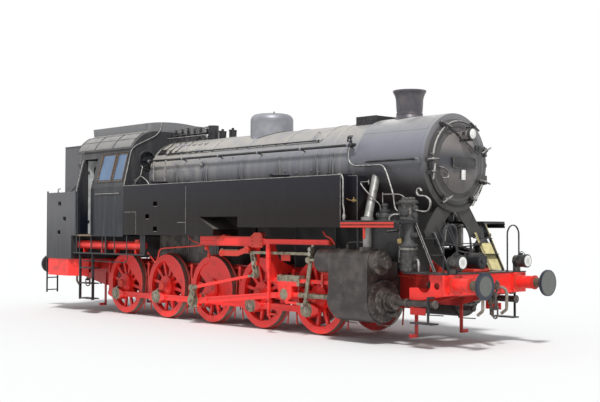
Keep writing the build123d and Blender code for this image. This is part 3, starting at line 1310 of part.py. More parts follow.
# Steam pipes from the smokebox down to the valve chests
with BuildPart() as steam_pipes:
    for name, side in SIDES:
        top = (4498, -side * 710, 3065)
        knee = (STEAM_PIPE_X, -side * (VALVE_Y - 15), PLATFORM_TOP + 30)
        with BuildLine() as route:
            Line(top, knee)
        with BuildSketch(Plane(origin=route.line @ 0, z_dir=route.line % 0)):
            Circle(STEAM_PIPE_RADIUS)
        sweep(path=route.line)
        with BuildSketch(Plane.XY.offset(PLATFORM_TOP + SEAT_GAP)):
            with Locations((STEAM_PIPE_X, -side * VALVE_Y)):
                Circle(112)
        extrude(amount=60)
        # Below the platform the pipe runs straight to the chest's flange
        with BuildSketch(Plane.XY.offset(VALVE_Z + CHEST_RADIUS + 30 + SEAT_GAP)):
            with Locations((STEAM_PIPE_X, -side * VALVE_Y)):
                Circle(STEAM_PIPE_RADIUS)
        extrude(amount=PLATFORM_TOP - PLATFORM_THICKNESS - VALVE_Z - CHEST_RADIUS - 30 - 2 * SEAT_GAP)
    with BuildSketch(Plane.YZ.offset(SMOKEBOX_REAR_X)):
        with Locations((0, BOILER_Z)):
            Circle(SMOKEBOX_RADIUS + SEAT_GAP)
    extrude(amount=1600, mode=Mode.SUBTRACT)
    with BuildSketch(Plane.XY.offset(PLATFORM_TOP - PLATFORM_THICKNESS - SEAT_GAP)):
        with Locations((STEAM_PIPE_X, -VALVE_Y), (STEAM_PIPE_X, VALVE_Y)):
            Rectangle(500, 500)
    extrude(amount=PLATFORM_THICKNESS + 2 * SEAT_GAP, mode=Mode.SUBTRACT)
steam_pipes.part.label = "steam_pipes"
export_step(steam_pipes.part, "parts/steam_pipes.step")

# Two-stage air pump on the right, feed pump in the same place on the left
PUMP_X = 5500
PUMP_Y = 1010
for name, side in SIDES:
    with BuildPart() as pump:
        # Stages as (bottom, top, radius)
        stages = [
            (1290, 1650, 128),
            (1650, 1690, 158),
            (1690, 1830, 92),
            (1830, PLATFORM_TOP - PLATFORM_THICKNESS - SEAT_GAP, 70),
        ]
        for bottom, top, radius in stages:
            with BuildSketch(Plane.XY.offset(bottom)):
                with Locations((PUMP_X, -side * PUMP_Y)):
                    Circle(radius)
            extrude(amount=top - bottom)
        for rib in range(6):
            with BuildSketch(Plane.XY.offset(1320 + rib * 50)):
                with Locations((PUMP_X, -side * PUMP_Y)):
                    Circle(140)
            extrude(amount=22)
        upper = [
            (PLATFORM_TOP + SEAT_GAP, PLATFORM_TOP + 60, 150),
            (PLATFORM_TOP + 60, PLATFORM_TOP + 300, 118),
            (PLATFORM_TOP + 300, PLATFORM_TOP + 345, 165),
            (PLATFORM_TOP + 345, PLATFORM_TOP + 395, 110),
        ]
        if name == "left":
            upper = []
        for bottom, top, radius in upper:
            with BuildSketch(Plane.XY.offset(bottom)):
                with Locations((PUMP_X, -side * PUMP_Y)):
                    Circle(radius)
            extrude(amount=top - bottom)
        # Bracket down to the deck
        with BuildSketch(Plane.XY.offset(FRAME_TOP + 20 + SEAT_GAP)):
            with Locations((PUMP_X, -side * PUMP_Y)):
                Rectangle(120, 60)
        extrude(amount=40)
    label = "air_pump" if name == "right" else "feed_pump"
    pump.part.label = label
    export_step(pump.part, f"parts/{label}.step")


# Cab: bent side sheets, front and rear walls, doorways, side and round windows
cab_section = [
    (TANK_Y, CAB_BOTTOM),
    (TANK_Y, CAB_SILL),
    (EAVE_Y, EAVE_Z),
    (EAVE_Y - 40, ROOF_ARC_CENTRE[1] + ROOF_ARC_RADIUS),
]
arc_y, arc_z = ROOF_ARC_CENTRE
inner_arc = ROOF_ARC_RADIUS - ROOF_THICKNESS
with BuildPart() as cab_walls:
    with BuildSketch(Plane.YZ.offset(CAB_REAR_X)):
        half_outline = [(y, z) for y, z in cab_section]
        outline = half_outline + [(-y, z) for y, z in reversed(half_outline)]
        Polygon(*outline, align=None)
    extrude(amount=CAB_FRONT_X - CAB_REAR_X)
    # The walls end just under the rolled roof
    with BuildSketch(Plane.YZ.offset(CAB_REAR_X)):
        with Locations((0, EAVE_Z)):
            Rectangle(2 * TANK_Y, 900, align=(Align.CENTER, Align.MIN))
        with Locations((-arc_y, arc_z), (arc_y, arc_z)):
            Circle(inner_arc - SEAT_GAP, mode=Mode.SUBTRACT)
        with Locations((0, arc_z)):
            Rectangle(
                2 * arc_y, inner_arc - SEAT_GAP, align=(Align.CENTER, Align.MIN), mode=Mode.SUBTRACT
            )
    extrude(amount=CAB_FRONT_X - CAB_REAR_X, mode=Mode.SUBTRACT)
    with BuildSketch(Plane.YZ.offset(CAB_REAR_X + CAB_WALL)):
        inner = [
            (TANK_Y - CAB_WALL, CAB_BOTTOM - 10),
            (TANK_Y - CAB_WALL, CAB_SILL),
            (EAVE_Y - CAB_WALL, EAVE_Z),
            (EAVE_Y - CAB_WALL - 60, 4300),
        ]
        Polygon(*(inner + [(-y, z) for y, z in reversed(inner)]), align=None)
    extrude(amount=CAB_FRONT_X - CAB_REAR_X - 2 * CAB_WALL, mode=Mode.SUBTRACT)
    # Jambs that carry the recessed doors
    for name, side in SIDES:
        with BuildSketch(side_plane(side, DOOR_HINGE_OUT - 12)):
            with Locations((DOORWAY_REAR_X - 25, CAB_BOTTOM + FLOOR_THICKNESS + SEAT_GAP)):
                Rectangle(
                    25,
                    DOORWAY_TOP - CAB_BOTTOM - FLOOR_THICKNESS - SEAT_GAP,
                    align=(Align.MIN, Align.MIN),
                )
        extrude(amount=side * (DOOR_LEAF_Y + 5 - DOOR_HINGE_OUT + 12))
        for lug_z in DOOR_LUG_Z:
            with BuildSketch(Plane.XY.offset(lug_z + 5)):
                with Locations((DOOR_HINGE_X, -side * DOOR_HINGE_OUT)):
                    Circle(15)
                    Rectangle(30, 24, align=(Align.MAX, Align.CENTER))
            extrude(amount=DOOR_LUG_HEIGHT - 10)
            with BuildSketch(Plane.XY.offset(lug_z - 35)):
                with Locations((DOOR_HINGE_X, -side * DOOR_HINGE_OUT)):
                    Circle(DOOR_PIN_RADIUS)
            extrude(amount=DOOR_LUG_HEIGHT + 70)
        for jamb_x in (DOORWAY_REAR_X - 25, DOORWAY_FRONT_X):
            with BuildSketch(side_plane(side, DOOR_LEAF_Y)):
                with Locations((jamb_x, CAB_BOTTOM)):
                    Rectangle(25, DOORWAY_TOP - CAB_BOTTOM, align=(Align.MIN, Align.MIN))
            extrude(amount=side * (TANK_Y - DOOR_LEAF_Y))
        # The jambs stop at the leaning side sheet
        with BuildSketch(Plane.YZ.offset(CAB_REAR_X)):
            Polygon(
                (-side * TANK_Y, CAB_SILL),
                (-side * (TANK_Y + 10), CAB_SILL),
                (-side * (TANK_Y + 10), EAVE_Z),
                (-side * EAVE_Y, EAVE_Z),
                align=None,
            )
        extrude(amount=CAB_FRONT_X - CAB_REAR_X, mode=Mode.SUBTRACT)
        # Doorway and side windows cut through the side sheet
        with BuildSketch(side_plane(side, DOOR_LEAF_Y)):
            with Locations((DOORWAY_REAR_X, CAB_BOTTOM - 10)):
                Rectangle(
                    DOORWAY_FRONT_X - DOORWAY_REAR_X,
                    DOORWAY_TOP - CAB_BOTTOM + 10,
                    align=(Align.MIN, Align.MIN),
                )
        extrude(amount=side * 300, mode=Mode.SUBTRACT)
        with BuildSketch(side_plane(side, EAVE_Y - 90)):
            for rear, front in SIDE_WINDOWS:
                with Locations(((rear + front) / 2, (SIDE_WINDOW_BOTTOM + SIDE_WINDOW_TOP) / 2)):
                    RectangleRounded(front - rear, SIDE_WINDOW_TOP - SIDE_WINDOW_BOTTOM, 30)
        extrude(amount=side * 400, mode=Mode.SUBTRACT)
        with BuildSketch(Plane.YZ.offset(CAB_FRONT_X - CAB_WALL)):
            with Locations((-side * FRONT_WINDOW_Y, FRONT_WINDOW_Z)):
                Circle(FRONT_WINDOW_RADIUS)
        extrude(amount=CAB_WALL, mode=Mode.SUBTRACT)
        with BuildSketch(Plane.YZ.offset(CAB_REAR_X)):
            with Locations((-side * (COAL_HALF_WIDTH + 120), 3400)):
                RectangleRounded(170, 420, 30)
        extrude(amount=CAB_WALL, mode=Mode.SUBTRACT)
    # Joints between the front and rear walls and the side sheets
    for joint_x in (CAB_REAR_X + CAB_WALL, CAB_FRONT_X - CAB_WALL - SEAT_GAP):
        with BuildSketch(Plane.YZ.offset(joint_x)):
            with Locations((0, CAB_BOTTOM - 10)):
                Rectangle(2 * TANK_Y + 20, 3000, align=(Align.CENTER, Align.MIN))
        extrude(amount=SEAT_GAP, mode=Mode.SUBTRACT)
cab_walls.part.label = "cab_walls"
export_step(cab_walls.part, "parts/cab_walls.step")

with BuildPart() as cab_floor:
    with BuildSketch(Plane.XY.offset(CAB_BOTTOM)):
        floor_front = CAB_FRONT_X - CAB_WALL - SEAT_GAP
        floor_rear = CAB_REAR_X + CAB_WALL + SEAT_GAP
        with Locations(((floor_front + floor_rear) / 2, 0)):
            Rectangle(floor_front - floor_rear, 2 * (DOOR_LEAF_Y - SEAT_GAP))
        for name, side in SIDES:
            with Locations(((DOORWAY_FRONT_X + DOORWAY_REAR_X) / 2, -side * (TANK_Y + DOOR_LEAF_Y - 2) / 2)):
                Rectangle(DOORWAY_FRONT_X - DOORWAY_REAR_X - 2 * SEAT_GAP, TANK_Y - DOOR_LEAF_Y + 2)
    extrude(amount=FLOOR_THICKNESS)
cab_floor.part.label = "cab_floor"
export_step(cab_floor.part, "parts/cab_floor.step")

# Roof: rolled side sheets and the raised ventilator along the middle
with BuildPart() as cab_roof:
    with BuildSketch(Plane.YZ.offset(ROOF_REAR_X)):
        with Locations((-arc_y, arc_z), (arc_y, arc_z)):
            Circle(ROOF_ARC_RADIUS)
        with Locations((0, arc_z)):
            Rectangle(2 * arc_y, ROOF_ARC_RADIUS, align=(Align.CENTER, Align.MIN))
        with Locations((-arc_y, arc_z), (arc_y, arc_z)):
            Circle(inner_arc, mode=Mode.SUBTRACT)
        with Locations((0, arc_z)):
            Rectangle(2 * arc_y, inner_arc, align=(Align.CENTER, Align.MIN), mode=Mode.SUBTRACT)
        with Locations((0, EAVE_Z + 8)):
            Rectangle(2 * TANK_Y, 3000, align=(Align.CENTER, Align.MAX), mode=Mode.SUBTRACT)
    extrude(amount=CAB_FRONT_X - ROOF_REAR_X)
    with BuildSketch(Plane.YZ.offset(VENTILATOR_REAR_X)):
        with BuildLine():
            Line((-VENTILATOR_Y, VENTILATOR_BOTTOM), (VENTILATOR_Y, VENTILATOR_BOTTOM))
            Line((VENTILATOR_Y, VENTILATOR_BOTTOM), (VENTILATOR_Y + 20, VENTILATOR_EDGE))
            ThreePointArc(
                (VENTILATOR_Y + 20, VENTILATOR_EDGE),
                (0, VENTILATOR_TOP),
                (-VENTILATOR_Y - 20, VENTILATOR_EDGE),
            )
            Line((-VENTILATOR_Y - 20, VENTILATOR_EDGE), (-VENTILATOR_Y, VENTILATOR_BOTTOM))
        make_face()
    extrude(amount=VENTILATOR_FRONT_X - VENTILATOR_REAR_X)
    # Front board carried up flush with the cab's front wall
    with BuildSketch(Plane.YZ.offset(VENTILATOR_FRONT_X - 5)):
        Polygon(
            (-VENTILATOR_Y, VENTILATOR_BOTTOM - 5),
            (VENTILATOR_Y, VENTILATOR_BOTTOM - 5),
            (VENTILATOR_Y, VENTILATOR_EDGE),
            (-VENTILATOR_Y, VENTILATOR_EDGE),
            align=None,
        )
    extrude(amount=CAB_FRONT_X - VENTILATOR_FRONT_X + 5)
cab_roof.part.label = "cab_roof"
export_step(cab_roof.part, "parts/cab_roof.step")

# Window panes, set into the cut windows
PANE = 12
with BuildPart() as window_glass:
    for name, side in SIDES:
        lean = (TANK_Y - EAVE_Y) / (EAVE_Z - CAB_SILL)
        low_y = TANK_Y - CAB_WALL / 2 - lean * (SIDE_WINDOW_BOTTOM - CAB_SILL)
        high_y = TANK_Y - CAB_WALL / 2 - lean * (SIDE_WINDOW_TOP - CAB_SILL)
        for rear, front in SIDE_WINDOWS:
            with BuildSketch(Plane.YZ.offset(rear + SEAT_GAP)):
                Polygon(
                    (-side * (low_y + PANE / 2), SIDE_WINDOW_BOTTOM + 32),
                    (-side * (high_y + PANE / 2), SIDE_WINDOW_TOP - 32),
                    (-side * (high_y - PANE / 2), SIDE_WINDOW_TOP - 32),
                    (-side * (low_y - PANE / 2), SIDE_WINDOW_BOTTOM + 32),
                    align=None,
                )
            extrude(amount=front - rear - 2 * SEAT_GAP)
        with BuildSketch(Plane.YZ.offset(CAB_FRONT_X - CAB_WALL / 2 - PANE / 2)):
            with Locations((-side * FRONT_WINDOW_Y, FRONT_WINDOW_Z)):
                Circle(FRONT_WINDOW_RADIUS - SEAT_GAP)
        extrude(amount=PANE)
        with BuildSketch(Plane.YZ.offset(CAB_REAR_X + CAB_WALL / 2 - PANE / 2)):
            with Locations((-side * (COAL_HALF_WIDTH + 120), 3400)):
                RectangleRounded(170 - 2 * SEAT_GAP, 420 - 2 * SEAT_GAP, 30)
        extrude(amount=PANE)
window_glass.part.label = "window_glass"
export_step(window_glass.part, "parts/window_glass.step")

# Backhead inside the cab, with the fire door and gauge shelf
with BuildPart() as backhead:
    with BuildSketch(Plane.YZ.offset(CAB_FRONT_X - CAB_WALL - SEAT_GAP - 160)):
        with Locations((0, BOILER_Z)):
            Circle(700)
        with Locations((0, CAB_BOTTOM + FLOOR_THICKNESS + SEAT_GAP)):
            Rectangle(1040, BOILER_Z - CAB_BOTTOM - FLOOR_THICKNESS, align=(Align.CENTER, Align.MIN))
    extrude(amount=160)
    with BuildSketch(Plane.YZ.offset(CAB_FRONT_X - CAB_WALL - SEAT_GAP - 210)):
        with Locations((0, 2380)):
            RectangleRounded(460, 380, 60)
        with Locations((-260, 3250), (260, 3250)):
            Circle(70)
        with Locations((0, 3560)):
            Rectangle(420, 110)
    extrude(amount=60)
backhead.part.label = "backhead"
export_step(backhead.part, "parts/backhead.step")

# Cab doors: flat leaves hung at the rear jambs, standing partly open
for name, side in SIDES:
    leaf_width = DOORWAY_FRONT_X - DOORWAY_REAR_X - 60
    leaf_height = DOORWAY_TOP - CAB_BOTTOM - FLOOR_THICKNESS - 30
    leaf_plane = Plane(
        origin=(DOOR_HINGE_X, -side * DOOR_HINGE_OUT, CAB_BOTTOM + FLOOR_THICKNESS + 10),
        x_dir=(cos(radians(DOOR_OPEN_ANGLE)), side * sin(radians(DOOR_OPEN_ANGLE)), 0),
        z_dir=(0, 0, 1),
    )
    with BuildPart() as cab_door:
        with BuildSketch(leaf_plane):
            with Locations((24, 0)):
                Rectangle(
                    leaf_width, DOOR_LEAF_THICKNESS, align=(Align.MIN, Align.CENTER)
                )
            Circle(15)
            Rectangle(30, 20, align=(Align.MIN, Align.CENTER))
        extrude(amount=leaf_height)
        # Gaps in the knuckle for the jamb's lugs
        for lug_z in DOOR_LUG_Z:
            with BuildSketch(Plane.XY.offset(lug_z)):
                with Locations((DOOR_HINGE_X, -side * DOOR_HINGE_OUT)):
                    Circle(23)
            extrude(amount=DOOR_LUG_HEIGHT, mode=Mode.SUBTRACT)
            with BuildSketch(Plane.XY.offset(lug_z - 38)):
                with Locations((DOOR_HINGE_X, -side * DOOR_HINGE_OUT)):
                    Circle(DOOR_PIN_RADIUS + PIN_GAP)
            extrude(amount=DOOR_LUG_HEIGHT + 76, mode=Mode.SUBTRACT)
        # Window in the upper half
        with BuildSketch(
            Plane(
                origin=leaf_plane.origin + leaf_plane.x_dir * (24 + leaf_width / 2),
                x_dir=leaf_plane.x_dir,
                z_dir=leaf_plane.y_dir,
            )
        ):
            with Locations((0, -(leaf_height - 430)), (0, leaf_height - 430)):
                RectangleRounded(leaf_width - 190, 560, 30)
        extrude(amount=60, both=True, mode=Mode.SUBTRACT)
    cab_door.part.label = f"cab_door_{name}"
    export_step(cab_door.part, f"parts/cab_door_{name}.step")


# Bunker: water space below, open coal space above
with BuildPart() as bunker:
    with BuildSketch(side_plane(1, -TANK_Y)):
        Polygon(
            (BUNKER_REAR_X, BUNKER_BOTTOM),
            (BUNKER_NOTCH_X, BUNKER_BOTTOM),
            (BUNKER_NOTCH_X, BUNKER_NOTCH_Z),
            (CAB_REAR_X - SEAT_GAP, BUNKER_NOTCH_Z),
            (CAB_REAR_X - SEAT_GAP, BUNKER_TOP),
            (BUNKER_REAR_X, BUNKER_TOP),
            align=None,
        )
    extrude(amount=2 * TANK_Y)
    # Coal space walls, leaning in a little towards the top
    with BuildSketch(Plane.XY.offset(BUNKER_TOP)):
        with Locations(((COAL_FRONT_X + BUNKER_REAR_X) / 2, 0)):
            Rectangle(COAL_FRONT_X - BUNKER_REAR_X, 2 * COAL_HALF_WIDTH)
            Rectangle(
                COAL_FRONT_X - BUNKER_REAR_X - 2 * COAL_WALL,
                2 * (COAL_HALF_WIDTH - COAL_WALL),
                mode=Mode.SUBTRACT,
            )
    extrude(amount=COAL_TOP - BUNKER_TOP)
    for name, side in SIDES:
        with BuildSketch(side_plane(side, TANK_Y - 110)):
            with Locations((-5370, 2600), (-5130, 2230), (-5390, 1900)):
                RectangleRounded(150, 110, 25)
        extrude(amount=side * 110, mode=Mode.SUBTRACT)
bunker.part.label = "bunker"
export_step(bunker.part, "parts/bunker.step")

# Red skirts under the bunker, folded in at their front ends
with BuildPart() as rear_skirts:
    for name, side in SIDES:
        with BuildSketch(Plane.XY.offset(860)):
            Polygon(
                (BUNKER_REAR_X + 40, -side * (TANK_Y - 15)),
                (-4950, -side * (TANK_Y - 15)),
                (-4560, -side * 1180),
                (-4575, -side * 1160),
                (-4960, -side * (TANK_Y - 40)),
                (BUNKER_REAR_X + 40, -side * (TANK_Y - 40)),
                align=None,
            )
        extrude(amount=BUNKER_BOTTOM - 860)
        # Brackets in to the main frame
        for bracket_x in (-5800, -5000):
            with BuildSketch(side_plane(side, FRAME_OUTER)):
                with Locations((bracket_x, 1100)):
                    Rectangle(30, 200)
            extrude(amount=side * (TANK_Y - 30 - FRAME_OUTER))
rear_skirts.part.label = "rear_skirts"
export_step(rear_skirts.part, "parts/rear_skirts.step")


# Air reservoirs under the cab, the footboard, cab steps and ladders
FOOTBOARD_TOP = 1432
FOOTBOARD_REAR_X = -4785
FOOTBOARD_FRONT_X = -1730
RESERVOIR_RADIUS = 100
RESERVOIR_Y = 1330
with BuildPart() as air_reservoirs:
    for name, side in SIDES:
        reservoir_z = FOOTBOARD_TOP + 85 + RESERVOIR_RADIUS
        for rear, front in ((-4700, -3400), (-3330, -2005)):
            with BuildSketch(Plane.YZ.offset(rear)):
                with Locations((-side * RESERVOIR_Y, reservoir_z)):
                    Circle(RESERVOIR_RADIUS)
            extrude(amount=front - rear)
            for saddle_x in (rear + 250, front - 250):
                with BuildSketch(Plane.YZ.offset(saddle_x - 20)):
                    with Locations((-side * RESERVOIR_Y, FOOTBOARD_TOP + SEAT_GAP)):
                        Rectangle(120, 110, align=(Align.CENTER, Align.MIN))
                extrude(amount=40)
air_reservoirs.part.label = "air_reservoirs"
export_step(air_reservoirs.part, "parts/air_reservoirs.step")

with BuildPart() as steps:
    for name, side in SIDES:
        # Footboard with its hangers up to the cab and tank
        with BuildSketch(side_plane(side, 1150)):
            with Locations((FOOTBOARD_REAR_X, FOOTBOARD_TOP)):
                Rectangle(FOOTBOARD_FRONT_X - FOOTBOARD_REAR_X, 28, align=(Align.MIN, Align.MAX))
        extrude(amount=side * 340)
        hanger_bottom = FOOTBOARD_TOP + SEAT_GAP
        for hanger_x, hanger_top in ((-4660, CAB_BOTTOM), (-3365, CAB_BOTTOM), (-1780, TANK_REAR_BOTTOM)):
            with BuildSketch(side_plane(side, 1462)):
                with Locations((hanger_x, hanger_bottom)):
                    Rectangle(50, hanger_top - SEAT_GAP - hanger_bottom, align=(Align.MIN, Align.MIN))
            extrude(amount=side * 20)
        # Cab steps under the doorway, their treads held between two hangers
        for hanger_x in (-4470, -3900):
            with BuildSketch(side_plane(side, 1440)):
                with Locations((hanger_x, 330)):
                    Rectangle(30, FOOTBOARD_TOP - 28 - SEAT_GAP - 330, align=(Align.MIN, Align.MIN))
            extrude(amount=side * 60)
        for tread_z in (345, 700, 1060):
            with BuildSketch(side_plane(side, 1290)):
                with Locations((-4170, tread_z)):
                    Rectangle(540 - 2 * SEAT_GAP, 26, align=(Align.CENTER, Align.MIN))
            extrude(amount=side * 220)
        # Ladder up the bunker's rear face
        for rail_y in (1180, 1470):
            with BuildSketch(side_plane(side, rail_y)):
                with Locations((BUNKER_REAR_X - 75, 420)):
                    Rectangle(30, 2500, align=(Align.MIN, Align.MIN))
            extrude(amount=side * 30)
        for rung in range(8):
            with BuildSketch(side_plane(side, 1210 + SEAT_GAP)):
                with Locations((BUNKER_REAR_X - 60, 480 + rung * 300)):
                    Rectangle(26, 26)
            extrude(amount=side * (260 - 2 * SEAT_GAP))
        for lug_z in (1500, 2700):
            with BuildSketch(side_plane(side, 1180)):
                with Locations((BUNKER_REAR_X - 45 + SEAT_GAP, lug_z)):
                    Rectangle(45 - 2 * SEAT_GAP, 40, align=(Align.MIN, Align.CENTER))
            extrude(amount=side * 320)
        # Front footstep, its hanger passing outside the tail rod's tube
        hanger_inner = CYLINDER_Y + TAIL_TUBE_RADIUS + 8
        with BuildSketch(side_plane(side, hanger_inner)):
            with Locations((6075, 448 + SEAT_GAP)):
                Rectangle(38, 437, align=(Align.MIN, Align.MIN))
        extrude(amount=side * 22)
        with BuildSketch(side_plane(side, GUSSET_INNER + GUSSET_THICKNESS + SEAT_GAP)):
            with Locations((6075, 850)):
                Rectangle(38, 35, align=(Align.MIN, Align.MIN))
        extrude(amount=side * (hanger_inner - GUSSET_INNER - GUSSET_THICKNESS - 2 * SEAT_GAP))
        with BuildSketch(side_plane(side, GUSSET_INNER)):
            with Locations((5700, 424)):
                Rectangle(480, 24, align=(Align.MIN, Align.MIN))
        extrude(amount=side * (hanger_inner + 22 - GUSSET_INNER))
        # Ladder from the front deck up to the platform: two slanting cheeks and two treads
        foot_z = FRAME_TOP + 20 + SEAT_GAP
        outer_top = PLATFORM_TOP - PLATFORM_THICKNESS - SEAT_GAP
        for cheek_y, cheek_top in ((LADDER_OUTER_Y, outer_top), (LADDER_INNER_Y, LADDER_INNER_TOP)):
            head_x = 6010 - (cheek_top - foot_z) * LADDER_LEAN
            with BuildSketch(side_plane(side, cheek_y)):
                Polygon(
                    (6010, foot_z),
                    (6052, foot_z),
                    (head_x + 42, cheek_top),
                    (head_x, cheek_top),
                    align=None,
                )
            extrude(amount=side * 30)
        for tread_z in (1570, 1850):
            with BuildSketch(side_plane(side, LADDER_INNER_Y + 30 + SEAT_GAP)):
                with Locations((6031 - (tread_z - foot_z) * LADDER_LEAN, tread_z)):
                    Rectangle(160, 14, align=(Align.CENTER, Align.MAX))
            extrude(amount=side * (LADDER_OUTER_Y - LADDER_INNER_Y - 30 - 2 * SEAT_GAP))
    # Walkway across between the inner ladder cheeks
    with BuildSketch(Plane.XY.offset(1745)):
        with Locations((5775, 0)):
            Rectangle(150, 2 * (LADDER_INNER_Y - SEAT_GAP))
    extrude(amount=15)
steps.part.label = "steps"
export_step(steps.part, "parts/steps.step")

# Rail guards ahead of the first and behind the last wheels
with BuildPart() as rail_guards:
    for name, side in SIDES:
        for guard_x in (5340, -4700):
            with BuildSketch(side_plane(side, FRAME_OUTER)):
                with Locations((guard_x, 130)):
                    Rectangle(60, 800, align=(Align.CENTER, Align.MIN))
            extrude(amount=side * 30)
            with BuildSketch(side_plane(side, FRAME_OUTER)):
                with Locations((guard_x, 130)):
                    Rectangle(60, 60, align=(Align.CENTER, Align.MIN))
            extrude(amount=side * 180)
rail_guards.part.label = "rail_guards"
export_step(rail_guards.part, "parts/rail_guards.step")

# Handrails: long pipes beside the boiler with their stanchions, and hoops on the front deck
RAIL_Y = 900
RAIL_Z = 3530
GRAB_Y = 1548
with BuildPart() as handrails:
    for name, side in SIDES:
        # Rails as (rear x, front x, distance out, height, radius, stanchion spacing)
        rails = [
            (-2500, 4000, RAIL_Y, RAIL_Z, 26, 1300),
            (-2050, 2980, 700, 3690, 14, 1250),
            (4420, 5578, 930, 3205, 20, 1080),
        ]
        for rear, front, out, height, radius, spacing in rails:
            with BuildSketch(Plane.YZ.offset(rear)):
                with Locations((-side * out, height)):
                    Circle(radius)
            extrude(amount=front - rear)
            count = int((front - rear) / spacing) + 1
            inward = Vector(0, side * out, BOILER_Z - height).normalized()
            shell = SMOKEBOX_RADIUS if rear > SMOKEBOX_REAR_X else BOILER_RADIUS
            reach = hypot(out, height - BOILER_Z) - shell - SEAT_GAP
            for step in range(count):
                post_x = rear + 60 + step * (front - rear - 120) / (count - 1)
                with BuildSketch(
                    Plane(origin=(post_x, -side * out, height), x_dir=(1, 0, 0), z_dir=inward)
                ):
                    Circle(12)
                extrude(amount=reach)
        # Grab rails on both sides of the cab doorway
        for grab_x in (-4532, -3868):
            with BuildSketch(Plane.XY.offset(1850)):
                with Locations((grab_x, -side * GRAB_Y)):
                    Circle(13)
            extrude(amount=1080)
            for grab_z in (1930, 2880):
                with BuildSketch(side_plane(side, 1525 + SEAT_GAP)):
                    with Locations((grab_x, grab_z)):
                        Circle(9)
                extrude(amount=side * (GRAB_Y - 1525 - SEAT_GAP))
        # Hoop on the front deck
        with BuildSketch(Plane.YZ.offset(6285)):
            with Locations((-side * 870, FRAME_TOP + 20 + SEAT_GAP)):
                Rectangle(360, 640, align=(Align.CENTER, Align.MIN))
                Rectangle(320, 640, align=(Align.CENTER, Align.MIN), mode=Mode.SUBTRACT)
            with Locations((-side * 870, FRAME_TOP + 660)):
                Circle(180)
                Circle(160, mode=Mode.SUBTRACT)
                with Locations((0, -100)):
                    Rectangle(318, 200, mode=Mode.SUBTRACT)
        extrude(amount=20)
handrails.part.label = "handrails"
export_step(handrails.part, "parts/handrails.step")

# Lamps on the beams: drum, foot and lens
LAMP_Y = 900
LAMP_Z = 1455
LAMP_RADIUS = 112
with BuildPart() as lamps:
    for end, deck_x in ((1, BEAM_X), (-1, -BEAM_X)):
        for name, side in SIDES:
            with BuildSketch(Plane.YZ.offset(deck_x + end * 20)):
                with Locations((-side * LAMP_Y, LAMP_Z)):
                    Circle(LAMP_RADIUS)
            extrude(amount=end * 170)
            with BuildSketch(Plane.YZ.offset(deck_x - end * 60)):
                with Locations((-side * LAMP_Y, FRAME_TOP + 20 + SEAT_GAP)):
                    Rectangle(150, 120, align=(Align.CENTER, Align.MIN))
            extrude(amount=end * 55)
            with BuildSketch(Plane.YZ.offset(deck_x - end * 60)):
                with Locations((-side * LAMP_Y, LAMP_Z)):
                    Circle(LAMP_RADIUS - 14)
            extrude(amount=end * 85)
lamps.part.label = "lamps"
export_step(lamps.part, "parts/lamps.step")

with BuildPart() as lamp_lenses:
    for end, deck_x in ((1, BEAM_X), (-1, -BEAM_X)):
        for name, side in SIDES:
            with BuildSketch(Plane.YZ.offset(deck_x + end * (190 + SEAT_GAP))):
                with Locations((-side * LAMP_Y, LAMP_Z)):
                    Circle(LAMP_RADIUS - 16)
            extrude(amount=end * 16)
lamp_lenses.part.label = "lamp_lenses"
export_step(lamp_lenses.part, "parts/lamp_lenses.step")

# Brake hoses that hang from the beams beside the hooks
with BuildPart() as brake_hoses:
    for end in (1, -1):
        for hose_y in (-330, 330):
            start = end * (BEAM_X + SEAT_GAP)
            out = end * (BEAM_X + 170)
            with BuildLine() as route:
                FilletPolyline(
                    (start, hose_y, 1010),
                    (out, hose_y, 1010),
                    (out, hose_y, 640),
                    (end * (BEAM_X + 60), hose_y, 560),
                    radius=[110, 60],
                )
            with BuildSketch(Plane(origin=route.line @ 0, z_dir=route.line % 0)):
                Circle(27)
            sweep(path=route.line)
brake_hoses.part.label = "brake_hoses"
export_step(brake_hoses.part, "parts/brake_hoses.step")
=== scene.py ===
"""Looks for a five-coupled side-tank steam locomotive: paint, steel and glass for its solids, and the
fittings round them."""

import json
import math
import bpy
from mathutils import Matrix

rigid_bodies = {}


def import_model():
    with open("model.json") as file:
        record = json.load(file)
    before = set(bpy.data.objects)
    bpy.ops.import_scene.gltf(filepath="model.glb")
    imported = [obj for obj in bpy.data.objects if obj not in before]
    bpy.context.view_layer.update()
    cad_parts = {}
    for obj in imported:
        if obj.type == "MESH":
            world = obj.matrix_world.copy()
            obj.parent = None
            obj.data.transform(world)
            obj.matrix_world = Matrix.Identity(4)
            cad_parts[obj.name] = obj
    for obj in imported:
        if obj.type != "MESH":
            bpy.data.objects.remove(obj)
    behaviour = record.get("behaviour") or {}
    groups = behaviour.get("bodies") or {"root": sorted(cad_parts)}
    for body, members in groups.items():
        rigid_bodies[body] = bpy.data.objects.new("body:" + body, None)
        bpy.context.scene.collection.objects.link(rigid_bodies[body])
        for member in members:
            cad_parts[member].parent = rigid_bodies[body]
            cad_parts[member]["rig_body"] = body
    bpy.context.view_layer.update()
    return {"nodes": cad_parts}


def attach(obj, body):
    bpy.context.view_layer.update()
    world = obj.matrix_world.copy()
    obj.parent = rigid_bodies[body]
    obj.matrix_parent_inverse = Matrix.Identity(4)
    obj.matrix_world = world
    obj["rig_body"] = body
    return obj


bl_info = {
    "name": "Side-tank steam locomotive",
    "version": (1, 0, 0),
    "blender": (4, 5, 0),
    "location": "3D View > Sidebar > Locomotive",
    "description": "Finishes, fastenings, pipes and trim for a side-tank steam locomotive",
    "category": "Object",
}

import bpy
import numpy as np
from bpy.props import FloatProperty, FloatVectorProperty, PointerProperty
from bpy.types import Operator, Panel, PropertyGroup
from mathutils import Matrix

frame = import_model()

